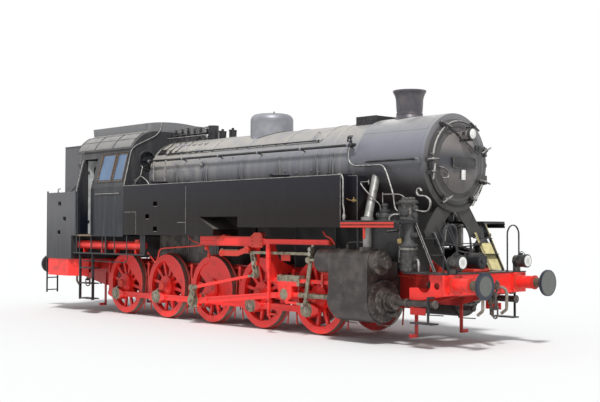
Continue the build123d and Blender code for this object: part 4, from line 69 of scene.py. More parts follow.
X, Y, Z = np.eye(3)
SIDES = {"right": -1, "left": 1}
BARREL_Z = 3171
CHIMNEY_X = 4635
SHEET_Y = -1526
BANDS_X = (-1487, -419, 786, 1960, 3034, 3440)
BARREL_RADIUS = 838
SMOKEBOX_RADIUS = 872
AXLES = (3107, 1457, -193, -1843, -3493)
AXLE_Z = 728
DRIVEN_AXLE = 3
CRANK_PINS = {"right": (-216.5, -249.1), "left": (249.1, -216.5)}
MAIN_ROD_LENGTH = 2940
LINK_FOOT = (1722, 1099)
ECCENTRIC_END = {"right": (-246, 750), "left": (-182, 750)}
CYLINDER_Y = 1115
CYLINDER_Z = 760
VALVE_Y = 1262
VALVE_Z = 1430
BUFFER_Y = 875
BUFFER_Z = 1088
LAMP_Y = 900
LAMP_Z = 1455
PUMP_X = 5500
PUMP_Y = 1010
PLATFORM_TOP = 2150
LADDER_SLOPE = 0.5129
ROD_Y = 960
PIN_RADIUS = 62


# Shapes, all in millimetres. A shell is a list of corners and a list of face arrays.

def unit(vectors):
    """Each vector divided by its length."""
    vectors = np.asarray(vectors, float)
    return vectors / np.linalg.norm(vectors, axis=-1, keepdims=True)


def grid(points, closed=False, capped=True, loop=False):
    """Faces over points[i, j]: i runs along and j round.

    Closed joins the last j to the first, and loop the last i to the first.
    """
    rows, columns = points.shape[:2]
    i = np.arange(rows if loop else rows - 1)[:, None]
    j = np.arange(columns if closed else columns - 1)[None, :]
    ahead, beside = (i + 1) % rows, (j + 1) % columns
    quads = np.stack(
        [i * columns + j, i * columns + beside, ahead * columns + beside, ahead * columns + j], -1
    ).reshape(-1, 4)
    faces = [quads]
    if capped and not loop:
        ring = np.arange(columns)
        faces += [ring[None, ::-1], ring[None] + (rows - 1) * columns]
    return points.reshape(-1, 3), faces


def section_frames(route, up=None):
    """Side and lift at each route point: the tangent's square partners, the lift kept near up."""
    along = unit(np.gradient(route, axis=0))
    if up is None:
        guesses = unit([(1, 0, 0), (0, 1, 0), (0, 0, 1), (1, 1, 0), (1, 0, 1), (0, 1, 1), (1, -1, 1)])
        up = guesses[np.abs(along @ guesses.T).max(0).argmin()]
    lift = unit(np.asarray(up, float) - (along @ up)[:, None] * along)
    return np.cross(lift, along), lift


def tube(route, radius, sides=8):
    """A pipe: the circle p + r (cos a side + sin a lift) carried along the route."""
    route = np.asarray(route, float)
    side, lift = section_frames(route)
    angle = np.arange(sides) * 2 * math.pi / sides
    reach = np.broadcast_to(radius, len(route))[:, None, None]
    ring = np.cos(angle)[None, :, None] * side[:, None] + np.sin(angle)[None, :, None] * lift[:, None]
    return grid(route[:, None] + reach * ring, closed=True)


def bar(route, wide, tall, up=Z, edge=2.0):
    """A flat bar: an eight-cornered section, wide by tall with its edges taken off, carried along the
    route."""
    route = np.asarray(route, float)
    side, lift = section_frames(route, up)
    w, t, e = wide / 2, tall / 2, min(edge, wide / 4, tall / 4)
    across = np.array([w, w, w - e, e - w, -w, -w, e - w, w - e])
    high = np.array([e - t, t - e, t, t, t - e, e - t, -t, -t])
    ring = across[None, :, None] * side[:, None] + high[None, :, None] * lift[:, None]
    return grid(route[:, None] + ring, closed=True)


def strip(first, last, wide, tall, up=Y):
    """A thin bar with nearly sharp edges from the first place to the last."""
    return bar([first, last], wide, tall, up=up, edge=1)


def bent(corners, radius, steps=5):
    """A route through corners, each rounded by the curve (1-t)^2 a + 2t(1-t) corner + t^2 b."""
    corners = np.asarray(corners, float)
    back, on = corners[:-2] - corners[1:-1], corners[2:] - corners[1:-1]
    cut_back = np.minimum(radius, 0.45 * np.linalg.norm(back, axis=1))[:, None]
    cut_on = np.minimum(radius, 0.45 * np.linalg.norm(on, axis=1))[:, None]
    a, b = corners[1:-1] + cut_back * unit(back), corners[1:-1] + cut_on * unit(on)
    t = np.linspace(0, 1, steps)[None, :, None]
    curve = (1 - t) ** 2 * a[:, None] + 2 * t * (1 - t) * corners[1:-1, None] + t**2 * b[:, None]
    return np.vstack([corners[:1], curve.reshape(-1, 3), corners[-1:]])


def pipe(corners, bend, radius, sides=8, steps=5):
    """A round pipe through corners, each rounded over the length of the bend."""
    return tube(bent(corners, bend, steps), radius, sides)


def arc(centre, radius, first, last, across=Y, up=Z, steps=16):
    """A route on a circle: centre + r (cos a across + sin a up), the angles in degrees."""
    angle = np.radians(np.linspace(first, last, steps))[:, None]
    return np.asarray(centre, float) + radius * (np.cos(angle) * across + np.sin(angle) * up)


def turned(base, axis, profile, sides=24, loop=False):
    """A turned shape: each (distance, radius) of the profile swept round the axis."""
    axis = unit(axis)
    side = unit(np.cross(axis, np.eye(3)[np.abs(axis).argmin()]))
    lift = np.cross(axis, side)
    distance, radius = np.asarray(profile, float).T
    angle = np.arange(sides) * 2 * math.pi / sides
    ring = np.cos(angle)[:, None] * side + np.sin(angle)[:, None] * lift
    points = np.asarray(base, float) + distance[:, None, None] * axis + radius[:, None, None] * ring
    return grid(points, closed=True, loop=loop)


def collar(base, axis, inner, outer, length, sides=28):
    """A plain ring: a four-cornered section swept round the axis."""
    return turned(base, axis, [(0, inner), (0, outer), (length, outer), (length, inner)], sides, loop=True)


def capped_neck(base, axis, neck, nut, tip, heights, sides=12, start=0):
    """A round neck with a wider nut and a tapered tip, each ending at its height."""
    low, high, end = heights
    profile = [(start, neck), (low, neck), (low, nut), (high, nut), (end, tip)]
    return turned(base, axis, profile, sides)


def button(base, axis, radius, height, tip, sides=16):
    """A short round boss with a tapered top 6 mm high."""
    return turned(base, axis, [(0, radius), (height, radius), (height + 6, tip)], sides)


def block(centre, size, edge=3.0):
    """A box with its edges taken off, as four eight-cornered rings along x."""
    (a, b, c), e = np.asarray(size, float) / 2, min(edge, *(np.asarray(size) / 4))
    x = np.array([-a, e - a, a - e, a])[:, None]
    inset = np.array([e, 0, 0, e])[:, None]
    y = np.array([b, b, b - e, e - b, -b, -b, e - b, b - e])
    z = np.array([e - c, c - e, c, c, c - e, e - c, -c, -c])
    points = np.stack(np.broadcast_arrays(x, y - np.sign(y) * inset, z - np.sign(z) * inset), -1)
    return grid(points + np.asarray(centre, float), closed=True)


def plate(outline, thickness, origin, across, up, edge=1.5):
    """A plate: the outline, anticlockwise in across and up, raised by the thickness along across x up."""
    outline = np.asarray(outline, float)
    before, after = unit(outline - np.roll(outline, 1, 0)), unit(np.roll(outline, -1, 0) - outline)
    inward = np.stack([-(before + after)[:, 1], (before + after)[:, 0]], 1)
    inward /= (1 + (before * after).sum(1))[:, None]
    e = min(edge, thickness / 3)
    rings = np.stack([outline + e * inward, outline, outline, outline + e * inward])
    height = np.array([0, e, thickness - e, thickness])[:, None, None]
    across, up = np.asarray(across, float), np.asarray(up, float)
    points = rings[..., :1] * across + rings[..., 1:] * up + height * np.cross(across, up)
    return grid(points + np.asarray(origin, float), closed=True)


def ball(centre, radius, sides=12, rows=7):
    """A ball: turned from (r sin u, r cos u), with small flats at its poles."""
    u = np.linspace(-80, 80, rows) * math.pi / 180
    return turned(centre, Z, np.stack([radius * np.sin(u), radius * np.cos(u)], 1), sides)


def repeated(shell, places, turns=None):
    """The shell at each place, its axes turned by each 3 x 3 turn: place + turn . corner."""
    corners, faces = shell
    places = np.asarray(places, float).reshape(-1, 3)
    turns = np.broadcast_to(np.eye(3) if turns is None else turns, (len(places), 3, 3))
    points = np.einsum("kij,vj->kvi", turns, corners) + places[:, None]
    shift = (np.arange(len(places)) * len(corners))[:, None, None]
    return points.reshape(-1, 3), [(f[None] + shift).reshape(-1, f.shape[1]) for f in faces]


def facing(normals):
    """Turns whose third axis is each normal."""
    normals = unit(np.atleast_2d(normals))
    guess = np.where(np.abs(normals[:, 2:]) < 0.9, Z, X)
    side = unit(np.cross(guess, normals))
    return np.stack([side, np.cross(normals, side), normals], 2)


def rivets(places, normals, radius=10.0, height=6.0):
    """Round heads standing on a surface."""
    head = turned((0, 0, 0), Z, [(-2, radius), (0.5 * height, 0.85 * radius), (height, 0.35 * radius)], 8)
    return repeated(head, places, facing(np.broadcast_to(normals, np.shape(places))))


def bolts(places, normals, radius=14.0, height=12.0):
    """Six-sided heads on washers."""
    wide = 1.3 * radius
    profile = [(-2, wide), (3, wide), (3, radius), (height, radius), (height + 2, 0.8 * radius)]
    head = turned((0, 0, 0), Z, profile, 6)
    return repeated(head, places, facing(np.broadcast_to(normals, np.shape(places))))


def rivet_row(first, last, count, normal, radius=8, height=5):
    """Evenly spaced rivets from the first place to the last."""
    return rivets(line(first, last, count), normal, radius, height)


def line(first, last, count):
    """Evenly spaced places from first to last."""
    return np.linspace(first, last, count)


def circle(centre, axis, radius, count, turn=0.0):
    """Evenly spaced places on a circle round the axis."""
    angle = np.arange(count) * 2 * math.pi / count + math.radians(turn)
    frame_turn = facing(axis)[0]
    ring = np.cos(angle)[:, None] * frame_turn[:, 0] + np.sin(angle)[:, None] * frame_turn[:, 1]
    return np.asarray(centre, float) + radius * ring


def on_barrel(x, degrees, radius):
    """Places and outward directions on the barrel, the angle counted from its top towards the right side."""
    x, angle = np.broadcast_arrays(np.asarray(x, float), np.radians(degrees))
    out = np.stack([np.zeros_like(x), -np.sin(angle), np.cos(angle)], -1)
    return np.stack([x, 0 * x, 0 * x + BARREL_Z], -1) + radius * out, out


def mirrored(shells):
    """The shells on the other side: y changes sign and the faces turn round."""
    return [(corners * (1, -1, 1), [f[:, ::-1] for f in faces]) for corners, faces in shells]


def both(shells):
    """The shells and their mirror images."""
    return [*shells, *mirrored(shells)]


SHARP_EDGE = 38


def side_strip(first, last, wide, tall, y=SHEET_Y):
    """A strip on the right side's sheets, between places given as (x, z)."""
    return strip((first[0], y, first[1]), (last[0], y, last[1]), wide, tall)


def foot_hole_glint_lips(holes):
    """A pale lip below each foot hole, a painted glint on its lower edge, from its centre as (x, z)."""
    return [side_strip((x - 60, z - 50), (x + 66, z - 50), 9, 5) for x, z in holes]


def piece(name, shells, finish, body="engine"):
    """Makes one object of the shells, in metres, riding on a body of the frame.

    The finish is named. Where the frame has a material of that name the piece wears the frame's plain one,
    and otherwise the one that the first operator made.
    """
    corners, sizes, loops, shift = [], [], [], 0
    for points, faces in shells:
        corners.append(points)
        for f in faces:
            sizes.append(np.full(len(f), f.shape[1]))
            loops.append((f + shift).ravel())
        shift += len(points)
    corners, sizes, loops = np.vstack(corners) / 1000, np.concatenate(sizes), np.concatenate(loops)
    mesh = bpy.data.meshes.new(name)
    mesh.vertices.add(len(corners))
    mesh.vertices.foreach_set("co", corners.astype(np.float32).ravel())
    mesh.loops.add(len(loops))
    mesh.loops.foreach_set("vertex_index", loops.astype(np.int32))
    mesh.polygons.add(len(sizes))
    mesh.polygons.foreach_set("loop_start", (np.cumsum(sizes) - sizes).astype(np.int32))
    mesh.polygons.foreach_set("use_smooth", np.ones(len(sizes), bool))
    mesh.update(calc_edges=True)
    mesh.validate()
    mesh.set_sharp_from_angle(angle=math.radians(SHARP_EDGE))
    mesh.materials.append(bpy.data.materials[finish])
    made = bpy.data.objects.new(name, mesh)
    bpy.context.scene.collection.objects.link(made)
    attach(made, body)
    return made


# Finishes

class Value:
    """An output of a material's nodes that takes part in sums as a plain number does."""

    def __init__(self, paint, socket):
        self.paint, self.socket = paint, socket

    def sum(self, operation, *inputs):
        return self.paint.node("ShaderNodeMath", inputs, operation=operation)

    def __add__(self, other):
        return self.sum("ADD", self, other)

    def __radd__(self, other):
        return self.sum("ADD", other, self)

    def __sub__(self, other):
        return self.sum("SUBTRACT", self, other)

    def __rsub__(self, other):
        return self.sum("SUBTRACT", other, self)

    def __mul__(self, other):
        return self.sum("MULTIPLY", self, other)

    def __rmul__(self, other):
        return self.sum("MULTIPLY", other, self)

    def __abs__(self):
        return self.sum("ABSOLUTE", self)

    def least(self, other):
        return self.sum("MINIMUM", self, other)

    def most(self, other):
        return self.sum("MAXIMUM", self, other)

    def step(self, low, high):
        """0 below low, 1 above high and a soft step between."""
        inputs = (self, low, high, 0.0, 1.0)
        return self.paint.node("ShaderNodeMapRange", inputs, interpolation_type="SMOOTHSTEP")


class Paint:
    """A material in which one method adds any node. Its places are in metres."""

    def __init__(self, name):
        self.material = bpy.data.materials.new(name)
        self.material.use_nodes = True
        self.tree = self.material.node_tree
        self.tree.nodes.clear()
        self.place = self.node("ShaderNodeTexCoord", output="Object")
        self.x, self.y, self.z = self.split(self.place)
        self.nx, self.ny, self.nz = self.split(self.node("ShaderNodeTexCoord", output="Normal"))

    def node(self, kind, inputs=(), output=0, **settings):
        made = self.tree.nodes.new(kind)
        for key, value in settings.items():
            setattr(made, key, value)
        for key, value in inputs.items() if isinstance(inputs, dict) else enumerate(inputs):
            if isinstance(value, Value):
                self.tree.links.new(value.socket, made.inputs[key])
            elif value is not None:
                made.inputs[key].default_value = value
        return Value(self, made.outputs[output])

    def split(self, vector):
        """The three numbers of a vector."""
        first = self.node("ShaderNodeSeparateXYZ", (vector,))
        return [Value(self, socket) for socket in first.socket.node.outputs]

    def reach(self, across, up):
        """The length of a way that goes so far across and so far up."""
        return self.node("ShaderNodeMath", (across * across + up * up,), operation="SQRT")

    def blend(self, factor, first, second):
        """The first colour where the factor is 0 and the second where it is 1."""
        inputs = {0: factor, 6: shade(first), 7: shade(second)}
        return self.node("ShaderNodeMix", inputs, output=2, data_type="RGBA")

    def grain(self, scale, detail=4.0, stretch=(1, 1, 1)):
        """Soft noise about 0.5, drawn out along an axis where its stretch is small."""
        place = self.node("ShaderNodeMapping", {0: self.place, 3: stretch})
        return self.node("ShaderNodeTexNoise", {"Vector": place, "Scale": scale, "Detail": detail})

    def upward(self, low=0.35, high=0.95):
        """1 on faces that look up."""
        return self.nz.step(low, high)

    def finish(self, colour, roughness, bump=None, depth=0.002, level=0.5, **constants):
        """Joins the colour, roughness and bump to the shader, with its specular level and other values."""
        shader = {"Base Color": colour, "Roughness": roughness, "Specular IOR Level": level}
        shader |= {key.replace("_", " "): value for key, value in constants.items()}
        if bump is not None:
            shader["Normal"] = self.node(
                "ShaderNodeBump", {"Strength": 0.5, "Distance": depth, "Height": bump}
            )
        shaded = self.node("ShaderNodeBsdfPrincipled", {k: shade(v) for k, v in shader.items()})
        out = self.tree.nodes.new("ShaderNodeOutputMaterial")
        self.tree.links.new(shaded.socket, out.inputs["Surface"])
        return self.material


def shade(value):
    """A colour with its fourth number; anything else as it is."""
    if isinstance(value, Value) or not hasattr(value, "__len__") or len(value) != 3:
        return value
    return (*value, 1.0)


def red_paint(look):
    """Gloss red: oily patches low down, painted shade far in between the wheels and on the inward faces of
    its platform edges, thin dust on what looks up.
    """
    paint = Paint("red_paint")
    fine = paint.grain(45, 3)
    oil = paint.grain(5, 6).step(0.50, 0.74) * (0.35 + 0.45 * (1 - paint.z.step(0.4, 1.4)))
    colour = paint.blend(oil, look.red, look.oily_red)
    # Painted shade: the red turns towards the oily red far in between the frames, where shade falls.
    inner = (1 - abs(paint.y).step(0.62, 0.72)) * (1 - abs(paint.x).step(6.2, 6.3))
    colour = paint.blend(inner * 0.65, colour, look.oily_red)
    # Painted shade: the inward faces of the red platform edges turn nearly black.
    inward = abs(paint.y).step(1.49, 1.50) * (1 - (paint.y * paint.ny).step(-0.9, -0.3))
    colour = paint.blend(inward * 0.9, colour, look.black)
    dusty = paint.upward(0.5) * paint.grain(11, 5).step(0.4, 0.75)
    colour = paint.blend(dusty * 0.30, colour, look.dust)
    return paint.finish(colour, 0.26 + 0.22 * fine, fine, 0.0008, level=0.35, Coat_Weight=0.12)


def black_paint(look, name="black_paint", dust=0.25):
    """Satin black with soft patches, dusty on what looks up."""
    paint = Paint(name)
    patches = paint.grain(3.5, 6)
    colour = paint.blend(patches.step(0.35, 0.75), look.black, look.faded_black)
    colour = paint.blend(paint.upward() * paint.grain(8, 5).step(0.3, 0.7) * dust, colour, look.dust)
    return paint.finish(colour, 0.28 + 0.25 * patches, paint.grain(60, 3), 0.0008, level=0.35)


def tank_paint(look):
    """Satin black sheet: bluish near the top as a painted sky reflection, browner and darker towards the
    foot, with faint runs down it.
    """
    paint = Paint("tank_paint")
    height = paint.z.step(2.2, 3.0)
    runs = paint.grain(9, 5, (1, 1, 0.08)).step(0.45, 0.75)
    # Painted reflection: the sheet turns bluish black towards the top for the sky it reflects; it is browner
    # and darker towards the foot.
    colour = paint.blend(height, look.brown_black, look.blue_black)
    colour = paint.blend(runs * 0.07, colour, look.faded_black)
    dusty = paint.upward(0.6) * (0.22 + 0.18 * paint.grain(6, 5).step(0.2, 0.8))
    colour = paint.blend(dusty, colour, look.dust)
    waves = paint.grain(2.2, 2)
    return paint.finish(colour, 0.24 + 0.2 * paint.grain(4, 5), waves, 0.006, level=0.22)


def cab_paint(look, name, low, high, foot, dust):
    """Cab, roof and bunker sheet: greyer than the tanks, darker towards its foot, with runs and dust
    on top."""
    paint = Paint(name)
    runs = paint.grain(8, 5, (1, 1, 0.10)).step(0.42, 0.75)
    colour = paint.blend(paint.z.step(foot, foot + 1.3), low, high)
    colour = paint.blend(runs * 0.25, colour, look.warm_grey)
    dusty = paint.upward(0.1, 0.9) * paint.grain(5, 5).step(0.2, 0.6)
    colour = paint.blend(dusty * dust, colour, look.dust)
    waves = paint.grain(2.2, 2)
    return paint.finish(colour, 0.30 + 0.2 * paint.grain(4, 5), waves, 0.005, level=0.35)


def barrel_paint(look):
    """Boiler clothing: painted shade low on its sides, dusty on top and at its rear, soot and dust in runs,
    dark behind bands with painted highlights on their edges."""
    paint = Paint("barrel_paint")
    runs = paint.grain(8, 5, (1, 0.06, 0.06))
    height = paint.z.step(2.75, 3.65)
    # Painted shade: darker low on the barrel's sides.
    colour = paint.blend(height, look.low_grey, look.barrel_grey)
    colour = paint.blend(runs.step(0.40, 0.80) * (0.15 + 0.25 * height), colour, look.dust)
    rear = (1 - paint.x.step(-2.3, 1.0)) * paint.nz.step(-0.3, 0.4) * paint.grain(5, 7).step(0.35, 0.6)
    colour = paint.blend(rear * 0.9, colour, look.dust)
    near = abs(paint.x - BANDS_X[0] / 1000)
    for x in BANDS_X[1:]:
        near = near.least(abs(paint.x - x / 1000))
    streaks = paint.grain(25, 4, (1, 0.05, 0.05)).step(0.38, 0.6)
    below = (1 - near.step(0.05, 0.17)) * (1 - paint.nz.step(-0.1, 0.45)) * streaks
    colour = paint.blend(below * 0.8, colour, look.black)
    top = paint.nz.step(0.20, 0.85)
    dusty = top * (0.35 + 0.65 * paint.grain(4, 6).step(0.25, 0.65))
    colour = paint.blend(dusty * 0.85, colour, look.dust)
    # Painted highlight: pale lines along the bands' edges, strongest on top.
    edge = (1 - abs(near - 0.035).step(0.005, 0.011)) * top.most(0.3)
    colour = paint.blend(edge * 0.9, colour, look.pale_dust)
    return paint.finish(colour, 0.30 + 0.3 * runs, paint.grain(30, 4), 0.0015, level=0.4)


def smokebox_paint(look):
    """Smokebox: grey heat paint, painted shade underneath, a painted highlight on top, dusty on top, with a
    warm ring round its dark front.
    """
    paint = Paint("smokebox_paint")
    soft = paint.grain(5, 6, (1, 0.4, 0.4))
    height = paint.z - 3.0
    # Painted shade: darker low on the smokebox's sides and underneath.
    colour = paint.blend(height.step(-0.25, 0.62), look.low_grey, look.heat_grey)
    # Painted highlight: paler over the smokebox's top.
    colour = paint.blend(height.step(0.45, 1.0), colour, look.pale_heat_grey)
    colour = paint.blend(soft.step(0.45, 0.85) * 0.2, colour, look.warm_grey)
    foot = 1 - paint.reach(paint.x - CHIMNEY_X / 1000, paint.y).step(0.38, 0.62)
    top = paint.nz.step(0.72, 0.98)
    dusty = top * (0.45 * paint.grain(5, 6).step(0.3, 0.65)).most(foot * 0.75)
    colour = paint.blend(dusty, colour, look.pale_dust)
    front = paint.nx.step(0.6, 0.8)
    ring = paint.blend(paint.z.step(2.5, 3.9), (0.045, 0.043, 0.040), look.ring_grey)
    colour = paint.blend(front, colour, ring)
    out = paint.reach(paint.y, paint.z - BARREL_Z / 1000)
    colour = paint.blend(front * (1 - out.step(0.735, 0.745)), colour, (0.012, 0.010, 0.009))
    specks = paint.node("ShaderNodeTexVoronoi", {"Vector": paint.place, "Scale": 7.0}, feature="F1")
    colour = paint.blend((1 - specks.step(0.03, 0.05)) * 0.6, colour, look.pale_dust)
    return paint.finish(colour, 0.26 + 0.2 * soft + front * 0.25, paint.grain(35, 4), 0.001)


def door_paint(look):
    """Smokebox door: a dish with a bluish dark belt, brown above it and olive at its foot, a painted
    reflection, on a dark band, with a painted highlight round its rim."""
    paint = Paint("front_grey")
    z = paint.z - BARREL_Z / 1000
    out = paint.reach(paint.y, z)
    runs = paint.grain(6, 6, (1, 1, 0.25))
    # Painted reflection: the dish's bluish dark belt, brown above it and olive at its foot, stand for sky
    # and ground reflected in it.
    colour = paint.blend(abs(z - 0.02).step(0.02, 0.33), (0.042, 0.044, 0.052), look.dish_brown)
    colour = paint.blend((1 - z.step(-0.42, 0.0)) * 0.7, colour, look.dish_olive)
    band = paint.blend(z.step(-0.5, 0.6), (0.036, 0.034, 0.030), (0.075, 0.068, 0.070))
    colour = paint.blend(out.step(0.543, 0.549), colour, band)
    # Painted highlight: a pale line round the door's rim, strongest towards the top.
    rim = (1 - abs(out - 0.66).step(0.006, 0.03)) * (0.35 + 0.65 * z.step(-0.2, 0.4))
    colour = paint.blend(rim * 0.4, colour, look.ring_grey)
    colour = paint.blend(runs.step(0.5, 0.8) * 0.25, colour, look.warm_grey)
    soot = paint.blend(runs, (0.014, 0.012, 0.011), (0.035, 0.030, 0.027))
    colour = paint.blend(paint.nx.step(-0.8, -0.5), soot, colour)
    return paint.finish(colour, 0.26 + 0.2 * runs, paint.grain(25, 4), 0.001)


def rod_steel(look):
    """Bare steel with a film of old oil: greenish grey, brown in patches."""
    paint = Paint("rod_steel")
    film = paint.grain(12, 6)
    colour = paint.blend(film.step(0.42, 0.72), look.oiled_steel, look.brown_oil)
    return paint.finish(colour, 0.30 + 0.3 * film, paint.grain(50, 3), 0.0008, Metallic=0.55)


def red_and_steel(paint, look, red, oil):
    """Red where the mask is 1, with oil from that share of the film up, and oily steel where it is 0."""
    film = paint.grain(14, 6)
    steel = paint.blend(film.step(0.42, 0.7), look.oiled_steel, look.brown_oil)
    body = paint.blend(film.step(oil, 0.8) * 0.5, look.red, look.oily_red)
    colour = paint.blend(red, steel, body)
    return paint.finish(colour, 0.28 + 0.25 * film, film, 0.0008, Metallic=0.5 * (1 - red))


def rod_paint(look, name, pins, radius):
    """A rod: red between its ends, oily steel round each pin at (x, z)."""
    paint = Paint(name)
    near = None
    for x, z in pins:
        reach = paint.reach(paint.x - x, paint.z - z)
        near = reach if near is None else near.least(reach)
    return red_and_steel(paint, look, near.step(radius, radius + 0.012), 0.55)


def crosshead_paint(look, name, pin_x):
    """A crosshead: red body, oily steel round its pin, along its shoes and on the piston rod in front."""
    paint = Paint(name)
    ahead = paint.x - pin_x
    body = paint.reach(ahead, paint.z - CYLINDER_Z / 1000).step(0.105, 0.115)
    red = body * (1 - ahead.step(0.36, 0.38)) * (1 - paint.z.step(1.00, 1.02))
    return red_and_steel(paint, look, red, 0.5)


def rod_finishes(look):
    """The finishes of both sides' rods and crossheads, each steel round its own pins."""
    finishes = {}
    for side in SIDES:
        across, up = CRANK_PINS[side]
        pins = [((x + across) / 1000, (AXLE_Z + up) / 1000) for x in AXLES]
        crank_x, crank_z = pins[DRIVEN_AXLE - 1]
        pin_z = CYLINDER_Z / 1000
        pin_x = crank_x + math.sqrt((MAIN_ROD_LENGTH / 1000) ** 2 - (pin_z - crank_z) ** 2)
        ends = [(x / 1000, z / 1000) for x, z in (LINK_FOOT, ECCENTRIC_END[side])]
        rods = (("coupling", pins, 0.155), ("main", [pins[DRIVEN_AXLE - 1], (pin_x, pin_z)], 0.185))
        for rod, places, radius in (*rods, ("eccentric", ends, 0.16)):
            name = f"{rod}_rod_{side}"
            finishes[name] = rod_paint(look, name, places, radius)
        finishes[f"crosshead_{side}"] = crosshead_paint(look, f"crosshead_{side}", pin_x)
    return finishes


def tyre_paint(look):
    """A tyre: red on its faces, darker on its inner face as painted shade, rolled bright on the tread."""
    paint = Paint("tyre_steel")
    face = abs(paint.ny).step(0.55, 0.8)
    inner = face * (1 - abs(paint.y).step(0.72, 0.76))
    wear = paint.grain(20, 4)
    colour = paint.blend(face, paint.blend(wear, look.tread, look.oiled_steel), look.red)
    # Painted shade: the tyres' inner faces turn towards the oily red.
    colour = paint.blend(inner * 0.6, colour, look.oily_red)
    return paint.finish(colour, 0.28 + 0.2 * wear, wear, 0.0006, Metallic=0.8 * (1 - face))


def plain_paint(name, first, second, roughness, spread, metallic=0.0, scale=9, depth=0.0008):
    """A finish of two colours in soft patches."""
    paint = Paint(name)
    patches = paint.grain(scale, 6)
    colour = paint.blend(patches.step(0.38, 0.7), first, second)
    return paint.finish(
        colour, roughness + spread * patches, paint.grain(5 * scale, 3), depth, Metallic=metallic
    )


def rubbed_and_highlight_paint():
    """Hand rails and thin pipes: pale metal on top and outside, partly wear and partly a painted highlight,
    dark elsewhere.
    """
    paint = Paint("rubbed_steel")
    patches = paint.grain(18, 6)
    # Painted highlight: faces that look up or out turn pale, partly wear and partly the light they catch.
    worn = (0.6 * paint.nz + 0.5 * abs(paint.ny) + 0.3 * abs(paint.nx)).step(0.25, 0.65)
    pale = paint.blend(patches.step(0.38, 0.7), (0.46, 0.445, 0.42), (0.22, 0.205, 0.19))
    colour = paint.blend(worn, (0.045, 0.043, 0.043), pale)
    return paint.finish(colour, 0.28 + 0.25 * patches, paint.grain(90, 3), 0.0008, Metallic=0.3)


def iron_paint(look):
    """Pump castings: dark iron, greyer in patches, pale on every ledge, partly oily dust and partly a
    painted highlight.
    """
    paint = Paint("cast_iron")
    patches = paint.grain(16, 6)
    colour = paint.blend(patches.step(0.38, 0.7), (0.060, 0.057, 0.055), (0.22, 0.205, 0.185))
    # Painted highlight: faces that look up turn to the dust colour, partly dust and partly the light they
    # catch.
    colour = paint.blend(paint.upward(0.40, 0.9) * 0.8, colour, look.dust)
    return paint.finish(colour, 0.26 + 0.25 * patches, paint.grain(80, 3), 0.0008, Metallic=0.2)


def boards():
    """Worn boards across the floor: brown, with dark joints."""
    paint = Paint("floor_wood")
    row = paint.node("ShaderNodeMath", (paint.x * 7.0,), operation="FRACT")
    joint = abs(row - 0.5).step(0.44, 0.47)
    grain = paint.grain(18, 6, (1, 0.06, 1))
    colour = paint.blend(grain, (0.16, 0.11, 0.07), (0.26, 0.19, 0.12))
    colour = paint.blend(joint, colour, (0.03, 0.025, 0.02))
    return paint.finish(colour, 0.6 + 0.2 * grain, grain, 0.001)


def glass():
    """Window glass: bluish, a painted reflection of the sky, and a little uneven; nearly black at the cab's
    front and rear, painted shade of the cab inside.
    """
    paint = Paint("glass")
    uneven = paint.grain(2.5, 3)
    tint = (0.16, 0.26, 0.42)
    # Painted reflection: the bluish colour stands for the sky reflected in the glass.
    colour = paint.blend(uneven, tint, tuple(0.6 * c for c in tint))
    # Painted shade: the windows at the cab's front and rear turn nearly black for the shaded cab inside.
    ends = abs(paint.x + 3.4).step(0.79, 0.82)
    colour = paint.blend(ends, colour, (0.012, 0.014, 0.018))
    return paint.finish(colour, 0.06 + 0.08 * uneven, Alpha=0.82)


def buffer_paint(look):
    """Buffer heads: greasy slate blue, grey and rubbed on the face, brown with oil behind."""
    paint = Paint("buffer_paint")
    face = abs(paint.nx).step(0.75, 0.97)
    rub = paint.grain(7, 6)
    out = paint.reach(abs(paint.y) - BUFFER_Y / 1000, paint.z - BUFFER_Z / 1000)
    wide = paint.y.step(0.0, 0.1) * (1 - out.step(0.205, 0.212))
    centre = face * (1 - out.step(0.158, 0.166)).most(wide)
    rubbed = paint.blend(rub, (0.085, 0.092, 0.085), (0.13, 0.135, 0.12))
    colour = paint.blend(centre, (0.014, 0.019, 0.036), rubbed)
    shank = 1 - abs(paint.x).step(6.86, 6.88)
    colour = paint.blend(shank, colour, look.brown_oil)
    return paint.finish(colour, 0.32 + 0.25 * rub, rub, 0.0008)


def lens_paint():
    """Ribbed lens over a white reflector."""
    paint = Paint("lens_glass")
    out = paint.reach(abs(paint.y) - LAMP_Y / 1000, paint.z - LAMP_Z / 1000)
    ring = paint.node("ShaderNodeMath", (out * 420.0,), operation="SINE")
    colour = paint.blend(out.step(0.02, 0.09), (0.55, 0.56, 0.52), (0.86, 0.87, 0.84))
    return paint.finish(colour, 0.12 + 0.05 * ring, ring, 0.0006, Coat_Weight=0.6)


